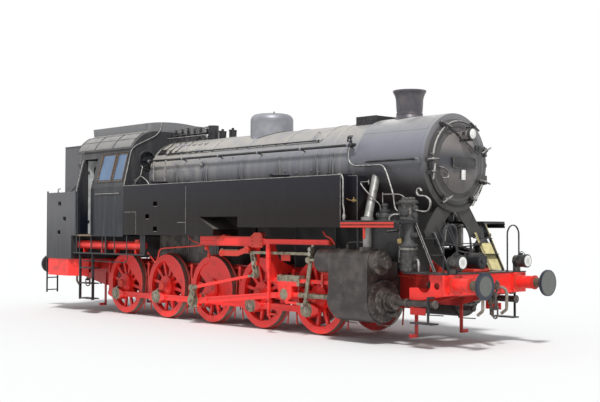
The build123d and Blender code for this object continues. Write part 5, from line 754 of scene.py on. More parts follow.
# Colours of the first and second patches, roughness, its spread, metallic, and the patches' scale and depth
PLAIN_FINISHES = {
    "chimney_paint": ((0.085, 0.080, 0.094), (0.13, 0.118, 0.122), 0.36, 0.12, 0.45, 6, 0.006),
    "dome_paint": ((0.24, 0.245, 0.27), (0.33, 0.33, 0.35), 0.42, 0.12, 0.5, 3),
    "cylinder_black": ((0.026, 0.020, 0.018), (0.070, 0.058, 0.050), 0.30, 0.22, 0.0, 5),
    "cover_iron": ((0.060, 0.052, 0.047), (0.17, 0.145, 0.125), 0.34, 0.25, 0.2, 16),
    "hook_steel": ((0.05, 0.045, 0.04), (0.17, 0.14, 0.11), 0.4, 0.3, 0.5, 14),
    "pipe_silver": ((0.34, 0.33, 0.31), (0.20, 0.19, 0.18), 0.32, 0.2, 0.45, 8),
    "door_grey": ((0.42, 0.44, 0.44), (0.30, 0.30, 0.29), 0.4, 0.2, 0.0, 5),
    "lamp_grey": ((0.035, 0.034, 0.035), (0.12, 0.11, 0.10), 0.25, 0.25, 0.3, 12),
    "hose_rubber": ((0.17, 0.145, 0.115), (0.30, 0.265, 0.22), 0.55, 0.2, 0.0, 16),
    "brass": ((0.46, 0.33, 0.14), (0.30, 0.21, 0.10), 0.3, 0.2, 0.6, 20),
    # Channel red is painted shade: the darker red of the channel's web, in the recess between its flanges.
    "channel_red": ((0.30, 0.016, 0.012), (0.16, 0.012, 0.010), 0.4, 0.2),
    "window_wood": ((0.21, 0.13, 0.075), (0.12, 0.08, 0.05), 0.45, 0.2, 0.0, 20),
    "plate_black": ((0.018, 0.018, 0.02), (0.03, 0.03, 0.03), 0.3, 0.15),
    "plate_white": ((0.78, 0.78, 0.75), (0.64, 0.63, 0.60), 0.4, 0.2, 0.0, 25),
    "seat_leather": ((0.10, 0.045, 0.025), (0.16, 0.08, 0.05), 0.45, 0.2, 0.0, 15),
    "ladder_yellow": ((0.70, 0.62, 0.30), (0.55, 0.47, 0.22), 0.45, 0.2, 0.0, 12),
}
# Solids whose finish isn't the one of their slot or of their own name
NODE_FINISHES = {
    "side_tank_right": "tank_paint",
    "side_tank_left": "tank_paint",
    "cab_walls": "cab_sheet",
    "cab_roof": "roof_paint",
    "bunker": "bunker_sheet",
    "boiler": "barrel_paint",
    "smokebox": "smokebox_paint",
    "platforms": "platform_black",
    "cylinder_right": "cylinder_black",
    "cylinder_left": "cylinder_black",
    "chimney": "chimney_paint",
    "steam_dome": "dome_paint",
}


# Fittings. Each function gives shells in millimetres.

def wall_frame(left, right, low, high, width, thickness, origin, up, out):
    """A mitred frame round an opening: a four-cornered section carried round the corners, in X and up
    from origin."""
    corners = np.array(
        [(right, low, 1, -1), (right, high, 1, 1), (left, high, -1, 1), (left, low, -1, -1)], float
    )
    spread = np.array([0, 0, width, width], float)[None, :]
    rise = np.array([0, thickness, thickness, 0], float)[None, :, None]
    across = corners[:, :1] + corners[:, 2:3] * spread
    along = corners[:, 1:2] + corners[:, 3:] * spread
    points = np.asarray(origin, float) + across[..., None] * X + along[..., None] * np.asarray(up, float)
    return grid(points + rise * np.asarray(out, float), closed=True, loop=True)


def hand_wheel(centre, axis, radius, rod=7.0):
    """A small wheel: a round ring with a hub and two crossing spokes."""
    u = np.arange(6) * math.pi / 3
    ring = turned(centre, axis, np.stack([rod * np.sin(-u), radius + rod * np.cos(u)], 1), 14, loop=True)
    turn = facing(axis)[0]
    centre = np.asarray(centre, float)
    spokes = [
        tube([centre - radius * turn[:, k], centre + radius * turn[:, k]], 0.7 * rod, 5) for k in (0, 1)
    ]
    return [ring, turned(centre - 10 * turn[:, 2], axis, [(0, 14), (20, 14)], 8), *spokes]


DOOR_DOGS = (
    # across, height, slope of the handle
    (-741, 3195, 4),
    (-730, 2985, 80),
    (-422, 3845, -18),
    (386, 3842, -30),
    (682, 3408, 25),
    (697, 2841, -12),
    (383, 2545, 50),
    (-377, 2508, 26),
)


def door_clamps():
    """Clamps round the door: a finger over the rim, its foot on the ring, a stud with a nut and a
    cross handle."""
    dark, bright = [], []
    centre = np.array([0, 0, BARREL_Z])
    shank = [(0, 18), (50, 18), (50, 36), (76, 36), (78, 26), (86, 18), (112, 18)]
    for y, z, slope in DOOR_DOGS:
        out = unit([0, y, z - BARREL_Z])
        inner, stud, foot, outer = (centre + reach * out for reach in (680, 752, 806, 812))
        dark.append(bar([inner + 5772 * X, outer + 5772 * X], 64, 26, up=X))
        dark.append(bar([foot + 5706 * X, foot + 5780 * X], 56, 24, up=out))
        dark.append(turned(stud + 5735 * X, X, shank, 8))
        lean = math.radians(slope)
        way = np.array([0, math.cos(lean), math.sin(lean)])
        bright.append(
            tube([stud + 5840 * X + reach * way for reach in (-140, -128, 128, 140)], [12, 17, 17, 12])
        )
        bright.append(button(stud + 5818 * X, X, 30, 38, 18, 10))
    return dark, bright


def door_rails():
    """Rails on the door: one over its top right quarter, one low on the left, a grab handle; the
    dish's weld."""
    centre, radius = (5806, 0, BARREL_Z), 722
    shells = [
        tube(arc(centre, radius, 64, 172, steps=28), 17), tube(arc(centre, radius, -58, -30, steps=8), 14)
    ]
    for degrees in (66, 101, 136, 170, -32, -56):
        foot = arc(centre, radius, degrees, degrees, steps=1)[0]
        shells += [tube([foot - 62 * X, foot], 12, 6), ball(foot, 22, 8, 5)]
    handle = [(5790, -536, 3070), (5850, -530, 3066), (5858, -400, 3012)]
    handle += [(5858, -372, 2890), (5850, -460, 2884), (5805, -465, 2884)]
    shells.append(pipe(handle, 45, 13))
    weld = [(-6, 538), (3, 540), (5, 546), (0, 553), (-6, 554)]
    return shells, [turned((5784, 0, BARREL_Z), X, weld, 96, loop=True)]


def door_lamp():
    """Rim, vent, bail and brackets of the lamp on the door, and its lens."""
    x, z = 6083, 3655
    rim = [(0, 101), (0, 107), (40, 107), (44, 100), (44, 88), (30, 88), (30, 100)]
    body = [
        turned((x - 34, 0, z), X, rim, 32, loop=True),
        capped_neck((x - 100, 0, z + 94), Z, 36, 48, 20, (26, 38, 48), 16),
        turned((x - 194, 0, z), -X, [(-4, 84), (0, 84), (14, 60), (20, 20)], 24),
        *[block((x - 110, y, z + 10), (46, 26, 60)) for y in (-108, 108)],
        bar([(5770, -252, 3797), (5868, 120, 3510), (5876, 395, 3352), (5800, 716, 3478)], 34, 9, up=X),
        bar([(5790, 0, z - 112), (6060, 0, z - 112)], 110, 12),
        # Runs along its own up, so its corners aren't numbers: not drawn, but it moves the turned views
        bar([(6040, 0, z - 112), (6040, 0, z - 90)], 60, 60),
        block((5868, 420, 3442), (54, 150, 96), 8),
        button((5890, 420, 3442), X, 34, 24, 24, 12),
        tube(arc((x - 70, 0, z + 40), 128, 10, 170, steps=14), 6, 6),
    ]
    face = [(-12, 20), (-12, 90), (0, 90), (8, 78), (15, 55), (19, 25), (20, 8)]
    return body, [turned((x + 8, 0, z), X, face, 32)]


def blank_plates():
    """The bare number plate with its raised rim, brackets and corner bolts, and the small bare plate
    under it."""
    x, y, z = 5890, 30, 3161
    plates = [block((x - 6, y, z), (10, 622, 192), 3)]
    corners = np.array([(x - 1, y + a * 286, z + b * 72) for a in (-1, 1) for b in (-1, 1)])
    fixings = [bolts(corners, X, 9, 7)]
    fixings += [block((x - 28, y + a * 200, z), (40, 40, 120), 4) for a in (-1, 1)]
    fixings += [strip((x, y - 308, z + b * 92), (x, y + 308, z + b * 92), 5, 6, Z) for b in (-1, 1)]
    fixings += [strip((x, y + a * 307, z - 92), (x, y + a * 307, z + 92), 5, 6) for a in (-1, 1)]
    return plates, fixings, [block((5880, 5, 2950), (24, 94, 172), 3)]


def smokebox_trim():
    """Lap seams high on both sides, rivets round both ends and along the seams, rail ends, and the
    front ring."""
    seam, out = on_barrel(line(4112, 5630, 2), 48, SMOKEBOX_RADIUS + 1)
    shells = [strip(*seam, 56, 6, out[0])]
    for degrees in (46.7, 49.3):
        shells.append(rivets(*on_barrel(line(4150, 5600, 25), degrees, SMOKEBOX_RADIUS + 2), 7, 5))
    for x, degrees in ((4128, line(20, 150, 30)), (5618, line(20, 150, 30)), (5618, line(-18, 18, 9))):
        shells.append(rivets(*on_barrel(x, degrees, SMOKEBOX_RADIUS), 7, 4))
    shells.append(
        pipe([(5570, -930, 3205), (5652, -930, 3205), (5652, -930, 3130), (5652, -872, 3112)], 40, 19, 10)
    )
    shells.append(turned((4412, -930, 3205), X, [(-14, 12), (-8, 24), (8, 24), (14, 12)], 12))
    ring = [(-69, 856), (-69, 871), (0, 871), (4, 867), (4, 764), (-2, 764)]
    return [*both(shells), turned((5703, 0, BARREL_Z), X, ring, 96, loop=True)]


def side_pipes():
    """The valve where the long side pipe ends, and the thin pipe from it along and down to the pump."""
    x, y, z = 4010, -900, 3530
    spindle = [(0, 26), (30, 26), (30, 34), (48, 34), (48, 18), (90, 18), (90, 30), (112, 30), (118, 12)]
    dark = [
        ball((x, y, z), 42),
        turned((x, y, z + 30), Z, spindle, 10),
        turned((x, y + 20, z - 10), -Y, [(-60, 30), (20, 30), (20, 42), (34, 42), (34, 22), (64, 22)], 10),
        turned((x + 42, y, z), X, [(0, 34), (16, 34), (16, 20), (56, 20), (56, 28), (70, 28)], 10),
        *hand_wheel((x, y, z + 164), Z, 44),
        capped_neck((x - 105, y + 20, z + 80), (0.3, 0.2, 1), 16, 28, 10, (50, 80, 84), 10),
        pipe([(x, y + 10, z + 45), (x - 50, y + 20, z + 70), (x - 105, y + 20, z + 70)], 20, 10, 6),
    ]
    route = [
        (4010, -912, 3505), (3985, -925, 3400), (3990, -930, 3225), (4120, -932, 3140), (4830, -932, 3132)
    ]
    route += [(4930, -940, 3000), (5110, -960, 2604), (5150, -965, 2360), (5230, -970, 2310)]
    return both(dark), both([pipe(route, 95, 15, 10, 7)])


def barrel_fittings():
    """Washout covers, inspection domes, bolts, rail sleeves and two small pipes along the barrel."""
    cover = turned((0, 0, 0), Z, [(-4, 66), (10, 66), (10, 50), (24, 50), (32, 40), (36, 16)], 16)
    knob = turned((0, 0, 0), Z, [(-6, 74), (12, 74), (12, 62), (34, 58), (52, 42), (62, 18)], 20)
    sleeve = turned((0, 0, 0), X, [(-20, 27), (-16, 36), (16, 36), (20, 27)], 12)
    small_sleeve = turned((0, 0, 0), X, [(-12, 15), (-9, 22), (9, 22), (12, 15)], 10)
    shells = []
    for x, degrees in ((line(-2067, -760, 7), 50), (line(-1960, -870, 6), 33)):
        places, out = on_barrel(x, degrees, BARREL_RADIUS)
        shells += [repeated(cover, places, facing(out)), bolts(places + 36 * out, out, 11, 14)]
    places, out = on_barrel([-558], 75.8, BARREL_RADIUS)
    shells.append(repeated(knob, places, facing(out)))
    for x, degrees in ((449, 68), (3112, 97), (2469, 96), (2900, 94), (2150, 93), (-700, 66)):
        shells.append(bolts(*on_barrel([x], degrees, BARREL_RADIUS), 16, 22))
    shells.append(repeated(sleeve, line((-2440, -900, 3530), (3940, -900, 3530), 6)))
    shells.append(repeated(small_sleeve, line((-1990, -700, 3690), (2920, -700, 3690), 4)))
    shells.append(pipe([(2920, -700, 3690), (3010, -700, 3690), (3020, -640, 3730)], 30, 13, 6))
    shells.append(
        pipe([(2772, -480, 3860), (2790, -560, 3880), (2800, -650, 3790), (2790, -690, 3700)], 40, 9, 6)
    )
    return both(shells)


def barrel_top():
    """Fittings on the barrel's top: the dome's lid, safety valves, turret valves with their pipes; two
    rods."""
    shells = [
        turned((782, 0, 4426), Z, [(-6, 120), (8, 120), (12, 105)], 24),
        pipe([(1010, -130, 4385), (1030, -150, 4440), (1080, -210, 4430), (1085, -215, 4360)], 30, 8, 6),
    ]
    for x in (-892, -530):
        shells += [
            capped_neck((x, 0, 4160), Z, 44, 30, 14, (14, 60, 66), 14),
            *[capped_neck((x, y, 4010), Z, 22, 30, 12, (140, 156, 162), 10) for y in (-78, 78)],
            bar([(x, -96, 4176), (x, 96, 4176)], 30, 14),
        ]
    body = turned((0, 0, 0), Z, [(0, 26), (60, 26), (60, 38), (78, 38), (78, 16), (120, 16)], 10)
    for k, x in enumerate(line(-2440, -1360, 8)):
        y, raised = -150 + 70 * (k % 3), 26 * (k % 2)
        shells.append(repeated(body, [(x, y, 4150 + raised)]))
        shells += hand_wheel((x, y, 4272 + raised), Z if raised else unit((0.4, -0.6, 1)), 46, 6)
    for y, z in ((-150, 4150), (-20, 4168)):
        shells.append(tube([(-2538, y, z), (-1265, y, z)], 30, 10))
    for x in (-2300, -1900, -1500):
        shells.append(bar([(x, -260, 3990), (x, -130, 4130), (x, 0, 4150)], 40, 12, up=X))
    for k, x in enumerate(line(-2380, -1440, 5)):
        bend = on_barrel(x - 60, 26 + 4 * (k % 2), BARREL_RADIUS + 14)[0]
        rest = on_barrel(line(x - 70, -2440, 3), 40 + 3 * k, BARREL_RADIUS + 16)[0]
        shells.append(pipe([(x, -150, 4160), (x - 10, -230, 4150), bend, *rest], 50, 11, 6))
    rod = pipe([(-2538, -330, 4085), (-1100, -330, 4085), (-1000, -330, 4010)], 40, 12)
    return shells, [rod, tube([(-2538, 120, 4200), (-1268, 60, 4200)], 11)]


def chimney_trim():
    """A foot ring under the chimney, and bolts and top rails of the long box behind it."""
    near = line((3680, -312, 4040), (3980, -312, 4040), 4)
    return [
        collar((CHIMNEY_X, 0, 4096), Z, 237, 246, 14, 48),
        bolts(np.vstack([near, near * (1, -1, 1)]), np.repeat([-Y, Y], 4, 0), 12, 10),
        *[bar([(3565, y, 4112), (4095, y, 4112)], 26, 8) for y in (-300, 300)],
    ]


LEAN = unit((0, 225, 874))
LEAN_OUT = np.array([0, -LEAN[2], LEAN[1]])
SILL = np.array([0, -1525, 2950])
ROOF_CENTRE = np.array([0, -614.5, 3484.5])
ROOF_RADIUS = 792


def cab_trim():
    """Roof seams and gutter, seams and rivets on the sides, window hoods, round front frames and rear
    wings."""
    shells = []
    for angle in np.radians((46, 63)):
        out = np.array([0, -math.cos(angle), math.sin(angle)])
        seam = ROOF_CENTRE + ROOF_RADIUS * out
        shells.append(strip(seam - 4890 * X, seam - 2548 * X, 30, 5, out))
    for x in (-2556, -3330, -4110, -4888):
        hoop = arc(ROOF_CENTRE + x * X, ROOF_RADIUS, 152, 116, steps=12)
        shells.append(bar(hoop, 24, 5, up=X, edge=1))
    shells.append(tube([(-4895, -1331, 3812), (-2545, -1331, 3812)], 9))
    shells.append(bar([(-4890, -1316, 3845), (-2550, -1316, 3845)], 8, 26))
    for z in (2700, 2946):
        shells.append(side_strip((-3890, z), (-2560, z), 8, 4))
    for x, z in ((-2562, 2940), (-3885, 2690)):
        shells.append(side_strip((x, 1885), (x, z), 8, 4))
    shells.append(side_strip((-3690, 2835), (-2715, 2835), 34, 4))
    shells.append(rivet_row((-4560, -1525, 1900), (-4560, -1525, 2900), 12, -Y, 6, 4))
    frame_profile = [(-4, 200), (-4, 232), (22, 232), (26, 224), (26, 200)]
    shells.append(turned((-2540, -900, 3560), X, frame_profile, 32, loop=True))
    for x in (-3410, -2850):
        hood = SILL + 812 * LEAN + x * X
        shells.append(bar([hood - 300 * X, hood + 240 * X], 12, 26, up=LEAN_OUT))
    shells.append(
        plate([(-4900, 3560), (-4640, 3200), (-4626, 3200), (-4626, 3560)], 8, (0, -1298, 0), X, Z)
    )
    shells.append(bar([(-4900, -1180, 3556), (-4628, -1180, 3556)], 230, 8))
    shells.append(block((-4640, -1160, 3400), (30, 230, 400), 4))
    return both(shells)


def cab_pipes():
    """Pale grab rails beside the doorways, the rail under the side windows, and pipes round the cab's
    corners."""
    leaning = [(-3890, -1548, 2880), (-3890, -1547, 2960), (-3890, -1506, 3120), (-3890, -1478, 3130)]
    rear = [(-4520, -1548, 2880), (-4520, -1547, 2956), (-4520, -1382, 3600), (-4520, -1350, 3612)]
    window = [(-3697, -1526, 2793), (-3697, -1548, 2793), (-2706, -1548, 2793), (-2706, -1526, 2793)]
    corner = [(-2520, -512, 4440), (-2520, -545, 4260), (-2520, -680, 4130), (-2520, -1215, 3880)]
    corner += [(-2520, -1330, 3780), (-2520, -1440, 3300), (-2520, -1512, 3010), (-2520, -1512, 2965)]
    drop = [(-4760, -1250, 3835), (-4800, -1290, 3560), (-4820, -1300, 3200), (-4830, -1300, 2872)]
    low = [(-2500, -1300, 2965), (-2440, -1200, 3120), (-2360, -1180, 3190), (-2200, -1130, 3080)]
    low += [(-2120, -1100, 2960)]
    front = [(-2530, -1080, 3420), (-2440, -1080, 3420), (-2420, -1150, 3180), (-2530, -1240, 3080)]
    pale = [
        pipe(leaning, 30, 13), pipe(rear, 30, 13), pipe(window, 16, 12), pipe(corner, 60, 12),
        pipe(drop, 60, 10)
    ]
    pale += [tube([(x, -1526, 2793), (x, -1546, 2793)], 9, 6) for x in (-3380, -3020)]
    pale += [tube([(x, -960, 2950), (x, -960, 3500), (x, -915, 3520)], 14) for x in (-2176, -1729)]
    return both([*pale, pipe(low, 50, 11, 6), pipe(front, 60, 10, 6)])


def window_frames():
    """Frames round the side windows: dark outside, with worn wooden posts, catches and sashes."""
    outer, wood = [], []
    catch = block((0, 0, 6), (30, 50, 12), 3)
    for left, right in ((-3690, -3125), (-3055, -2640)):
        outer.append(wall_frame(left, right, 134, 806, 26, 12, SILL, LEAN, LEAN_OUT))
        wood.append(wall_frame(left + 6, right - 6, 140, 800, -18, -16, SILL, LEAN, LEAN_OUT))
        for x in (left + 6, right - 6):
            foot = SILL + x * X + 14 * LEAN_OUT
            wood.append(strip(foot + 150 * LEAN, foot + 790 * LEAN, 16, 6, LEAN_OUT))
        for along in (250, 560):
            place = SILL + along * LEAN + (left + 10) * X + 12 * LEAN_OUT
            wood.append(repeated(catch, [place], facing(LEAN_OUT)))
    return both(outer), both(wood)


def tank_trim():
    """Seams, top and corner edges, foot-hole lips, filler lids, lifting eyes, pipes and cocks of the
    side tanks."""
    pale = [
        bar([(-2535, -1512, 2956), (4356, -1512, 2956)], 26, 13),
        bar([(4364, -1514, 2045), (4364, -1514, 2950)], 12, 12, up=X),
    ]
    for first, last in (
        ((-180, 1891), (-180, 2880)),
        ((-475, 2130), (-184, 2130)),
        ((-2488, 2367), (-2032, 2367)),
        ((-2028, 1880), (-2028, 2371)),
    ):
        pale.append(side_strip(first, last, 9, 3, -1525.5))
    drop = [(4300, -1496, 2962), (4372, -1496, 2966), (4412, -1496, 2880), (4414, -1496, 2420)]
    drop += [(4440, -1496, 2330), (4440, -1496, 2270)]
    valve = [(0, 22), (30, 22), (30, 32), (80, 32), (90, 20), (124, 20)]
    curl = [
        (4592, -1240, 2800), (4640, -1240, 2740), (4740, -1180, 2605), (4850, -1010, 2420),
        (4850, -990, 2165)
    ]
    pale += [
        bar([(4588, -1322, 2165), (4588, -1322, 2930)], 12, 12, up=X),
        bar([(4364, -1322, 2936), (4592, -1322, 2936)], 12, 12),
        *foot_hole_glint_lips(((-1290, 2530), (-1590, 2260), (-1290, 1990))),
        pipe(drop, 50, 14),
        turned((4440, -1496, 2160), Z, valve, 10),
        pipe(curl, 60, 13, 6),
        tube([(4590, -1240, 2824), (4792, -1240, 2827)], 9, 6),
        tube([(4792, -1240, 2860), (4792, -1240, 2778)], 11, 6),
    ]
    lid = [(0, 190), (60, 190), (60, 205), (84, 205), (96, 150)]
    lids = (-1600, 2400)
    dark = [
        tube([(4330, -1200, 2966), (4340, -1490, 2966)], 12, 6),
        *[turned((x, -1210, 2948), Z, lid, 28) for x in lids],
        *[bar([(x, -1440, 3034), (x, -1000, 3034)], 40, 12) for x in lids],
        bar([(-475, -1519, 2130), (-184, -1519, 2130)], 16, 9, up=Y),
    ]
    for x in (-2200, -200, 1500, 4000):
        dark.append(tube(arc((x, -1440, 2962), 42, 0, 180, across=X, steps=8), 11, 6))
    brass = [
        turned((4470, -1346, 2500), X, [(0, 12), (30, 12), (30, 26), (90, 26), (90, 14), (130, 14)], 10),
        tube([(4530, -1346, 2470), (4530, -1346, 2560)], 9, 6),
        pipe([(4365, -1360, 2540), (4400, -1360, 2520), (4480, -1346, 2500)], 20, 9, 6),
    ]
    return both(dark), both(pale), both(brass)


def bunker_trim():
    """Corner strips, foot-hole lips, rivets and rear rails of the bunker."""
    pale = [bar([(-5950, -1514, 2875), (-4630, -1514, 2875)], 20, 9)]
    pale += foot_hole_glint_lips(((-5370, 2600), (-5130, 2230), (-5390, 1900)))
    dark = [
        side_strip((-4640, 1840), (-4640, 2940), 20, 5),
        bar([(-5950, -1046, 4034), (-4640, -1046, 4034)], 26, 14),
        *[rivet_row((x, -1040, 2960), (x, -1040, 3960), 12, -Y) for x in (-5900, -4760)],
        rivet_row((-5960, -1480, 1340), (-5960, -1480, 2820), 16, -X),
        *[rivet_row((-5960, -1440, z), (-5960, -40, z), 14, -X) for z in (2800, 1330)],
        pipe(
            [(-5950, -1180, 2990), (-6060, -1180, 2990), (-6060, -1180, 2400), (-5950, -1180, 2400)], 60, 13
        ),
        bar([(-5300, -1290, 2876), (-5300, -1060, 3090)], 50, 10, up=X),
    ]
    return both(dark), both(pale)


def pump(side):
    """The lower part of a pump: ribs on its barrel, flanges with bolts, a valve chest, a neck and side
    caps."""
    x, y = PUMP_X, side * PUMP_Y
    shells = [collar((x, y, z), Z, 138, 150, 9) for z in range(1325, 1630, 27)]
    shells += flanges(x, y, ((1650, 150, 26), (1705, 168, 22)))
    shells.append(turned((x, y, 1672), Z, [(0, 120), (36, 158)], 28))
    shells.append(turned((x, y, 1726), Z, [(0, 160), (50, 118), (90, 96), (376, 96)], 24))
    shells.append(block((x - 60, y, 1960), (150, 150, 210), 10))
    shells.append(turned((x + 96, y, 1900), X, [(0, 52), (30, 52), (36, 40), (90, 40), (96, 20)], 14))
    for z in (1370, 1490):
        shells.append(capped_neck((x + 120, y, z), X, 42, 52, 24, (46, 66, 74)))
        shells.append(capped_neck((x - 120, y, z), -X, 36, 46, 20, (36, 54, 60)))
    return shells


def flanges(x, y, rows):
    """Flat flanges, each (height, radius, thickness), with a ring of bolts on top."""
    shells = []
    for z, r, h in rows:
        shells.append(
            turned((x, y, z), Z, [(0, r - 40), (0, r - 4), (4, r), (h - 4, r), (h, r - 4), (h, r - 40)], 28)
        )
        shells.append(bolts(circle((x, y, z + h), Z, r - 18, 10, 9), Z, 12, 20))
    return shells


def pump_heads():
    """What stands on the right platform: the air pump's head, a slim valve, and a wide one by the
    steam pipe."""
    x, y = PUMP_X, -PUMP_Y
    slant = (0.3, -1, 0)
    shells = flanges(x, y, ((2158, 158, 22), (2208, 140, 22), (2440, 175, 28), (2495, 128, 16)))
    shells += [
        capped_neck((x + 40, y - 30, 2500), Z, 48, 30, 16, (14, 34, 40)),
        capped_neck((x - 100, y, 2250), (-1, -0.6, 0), 54, 70, 30, (50, 74, 84), 14),
        capped_neck((x + 30, y - 90, 2300), slant, 60, 78, 30, (46, 70, 80), 16),
        bolts(circle((x + 51, y - 160, 2300), slant, 60, 6), slant, 10, 16),
        capped_neck((x + 90, y, 2350), X, 48, 64, 26, (56, 80, 88), 14),
        capped_neck((x + 90, y - 20, 2240), X, 40, 56, 22, (70, 96, 104), 14),
    ]
    x, y = 5237, -880
    slim = [
        (0, 96), (22, 96), (22, 72), (60, 72), (90, 86), (150, 86), (180, 70), (286, 70), (330, 50),
        (352, 44)
    ]
    shells.append(turned((x, y, PLATFORM_TOP), Z, slim, 20))
    shells += flanges(x, y, ((2270, 100, 20), (2432, 108, 26)))
    x, y = 4960, -1010
    wide = [(0, 128), (40, 128), (46, 100), (70, 92), (130, 88), (160, 70)]
    wide += [(168, 52), (240, 48), (250, 58), (286, 58), (300, 30)]
    shells.append(turned((x, y, PLATFORM_TOP), Z, wide, 22))
    shells += flanges(x, y, ((2196, 132, 22), (2300, 96, 20)))
    shells.append(capped_neck((x - 80, y, 2240), (-1, -0.4, 0), 40, 54, 20, (60, 84, 92)))
    shells.append(capped_neck((x + 80, y - 10, 2220), (1, -0.3, 0), 36, 50, 20, (60, 80, 88)))
    return shells


def pump_pipes():
    """The pumps' pipes: above the right platform, with the curled one towards the door, and below on
    both sides."""
    y = -PUMP_Y
    curl = [(5798, 2640), (5760, 2690), (5712, 2683), (5690, 2640), (5700, 2590), (5750, 2562), (5883, 2557)]
    curl += [(5985, 2490), (5990, 2400), (5950, 2310), (5860, 2290), (5590, 2330)]
    above = (
        ([(x, y, z) for x, z in curl], 19),
        ([(4907, y, 2607), (5300, y, 2600), (5400, y, 2560), (5430, y, 2480)], 11),
        ([(4907, y, 2640), (4907, y, 2330)], 8),
        ([(5320, y, 2250), (5210, -1080, 2250), (5150, -1100, 2200), (5150, -1100, 2155)], 22),
    )
    below = (
        ([(5620, y, 1490), (5720, y, 1490), (5760, -1040, 1400), (5760, -1040, 1290)], 18),
        ([(5380, y, 1430), (5290, y, 1430), (5270, -980, 1500), (5270, -950, 2100)], 16),
        (
            [
                (5260, y, 2100), (5240, -900, 2100), (5200, -780, 2060), (5000, -700, 1980),
                (4700, -660, 1960)
            ],
            20
        ),
    )
    upper, lower = (
        [pipe(route, 45, radius, steps=6) for route, radius in group] for group in (above, below)
    )
    return upper + both(lower)


def cylinder_trim(side):
    """Cover bolts, casing rivets, relief valves, drain cocks and their pipes, and the rod glands of
    one cylinder."""
    y, z = side * CYLINDER_Y, CYLINDER_Z
    valve_y, valve_z = side * VALVE_Y, VALVE_Z
    low_y = y - side * 60
    out = side * Y
    shells = [
        bolts(circle((5055, y, z), X, 352, 24), X, 12, 16),
        bolts(circle((3960, y, z), X, 305, 20), -X, 12, 16),
        turned((5055, y, z), X, [(-2, 240), (12, 236), (20, 190)], 40),
        collar((5150, y, z), X, 120, 152, 24),
        bolts(circle((5174, y, z), X, 136, 10), X, 10, 14),
        turned((5300, y, z), X, [(0, 118), (0, 130), (22, 130), (26, 60)], 24),
        collar((5560, y, z), X, 58, 74, 40, 20),
        turned((6172, y, z), X, [(0, 58), (0, 72), (18, 72), (20, 50)], 20),
        bolts(circle((5110, valve_y, valve_z), X, 186, 14), X, 11, 14),
        bolts(circle((3650, valve_y, valve_z), X, 186, 14), -X, 11, 14),
        turned((5110, valve_y, valve_z), X, [(-4, 214), (10, 214), (16, 200)], 40),
        turned((5244, valve_y, valve_z), X, [(0, 118), (8, 114), (14, 60)], 24),
        capped_neck((5110, valve_y - side * 10, valve_z + 130), X, 44, 54, 24, (50, 74, 80)),
        capped_neck((5055, low_y, 540), X, 44, 58, 20, (210, 236, 242), 14),
        bolts(circle((5291, low_y, 540), X, 42, 5), X, 8, 10),
        *[rivet_row((x, side * 1499, 700), (x, side * 1499, 1240), 14, out, 6) for x in (4062, 4984)],
        rivet_row((4062, side * 1492, 1500), (4984, side * 1492, 1500), 22, out, 6),
        bolts([(4400, side * 1499, z + 100 + rise) for rise in (0, 200)], out, 16, 18),
        bolts(line((3720, valve_y, 1655), (5060, valve_y, 1655), 12), Z, 11, 12),
    ]
    for x in (4130, 4900):
        shells.append(capped_neck((x, y, z - 368), -Z, 22, 30, 12, (20, 46, 50), 10, start=-30))
        shells.append(pipe([(x, y, 352), (x + 30, y, 346), (x + 330, y + side * 60, 346)], 20, 10, 6))
    for x, height in ((4300, 66), (4760, 90)):
        oiler = [
            (0, 46), (16, 46), (16, 28), (height, 28), (height + 4, 36), (height + 22, 36), (height + 30, 14)
        ]
        shells.append(turned((x, valve_y, 1640), Z, oiler, 12))
        shells.append(bolts(circle((x, valve_y, 1656), Z, 37, 6), Z, 7, 8))
    link = [(4300, 1700), (4300, 1760), (4420, 1775), (4740, 1775), (4760, 1735)]
    shells.append(pipe([(x, valve_y, z) for x, z in link], 30, 10, 6))
    return shells


def platform_trim():
    """Red channel along each platform's outer edge with its bracket and web, and the edges of the
    ladder cheeks."""
    red = [bar([(4384, -1529, z), (5632, -1529, z)], 14, 30) for z in (2104, 2044)]
    red += [block((4935, -1505, 1931), (44, 30, 196), 6), block((4935, -1440, 2040), (44, 150, 30), 6)]
    web = [bar([(4384, -1523, 2074), (5632, -1523, 2074)], 5, 88)]
    lean = unit((-LADDER_SLOPE, 0, 1))
    pale, yellow = [], []
    for y, length in ((-953, 930), (-567, 740)):
        foot = np.array([6031, y, 1285])
        edges = [
            bar([foot + shift * X, foot + shift * X + length * lean], 5, 9, up=Y) for shift in (-20, 20)
        ]
        pale += edges
        yellow += [*edges, bar([foot, foot + length * lean], 5, 36, up=Y)]
    back = [(6006, -760, 1290), (6006 - LADDER_SLOPE * 470, -760, 1760)]
    yellow.append(bar(back, 360, 5, up=unit((1, 0, LADDER_SLOPE))))
    return red, mirrored([*red, *web]), web, pale, mirrored(yellow)


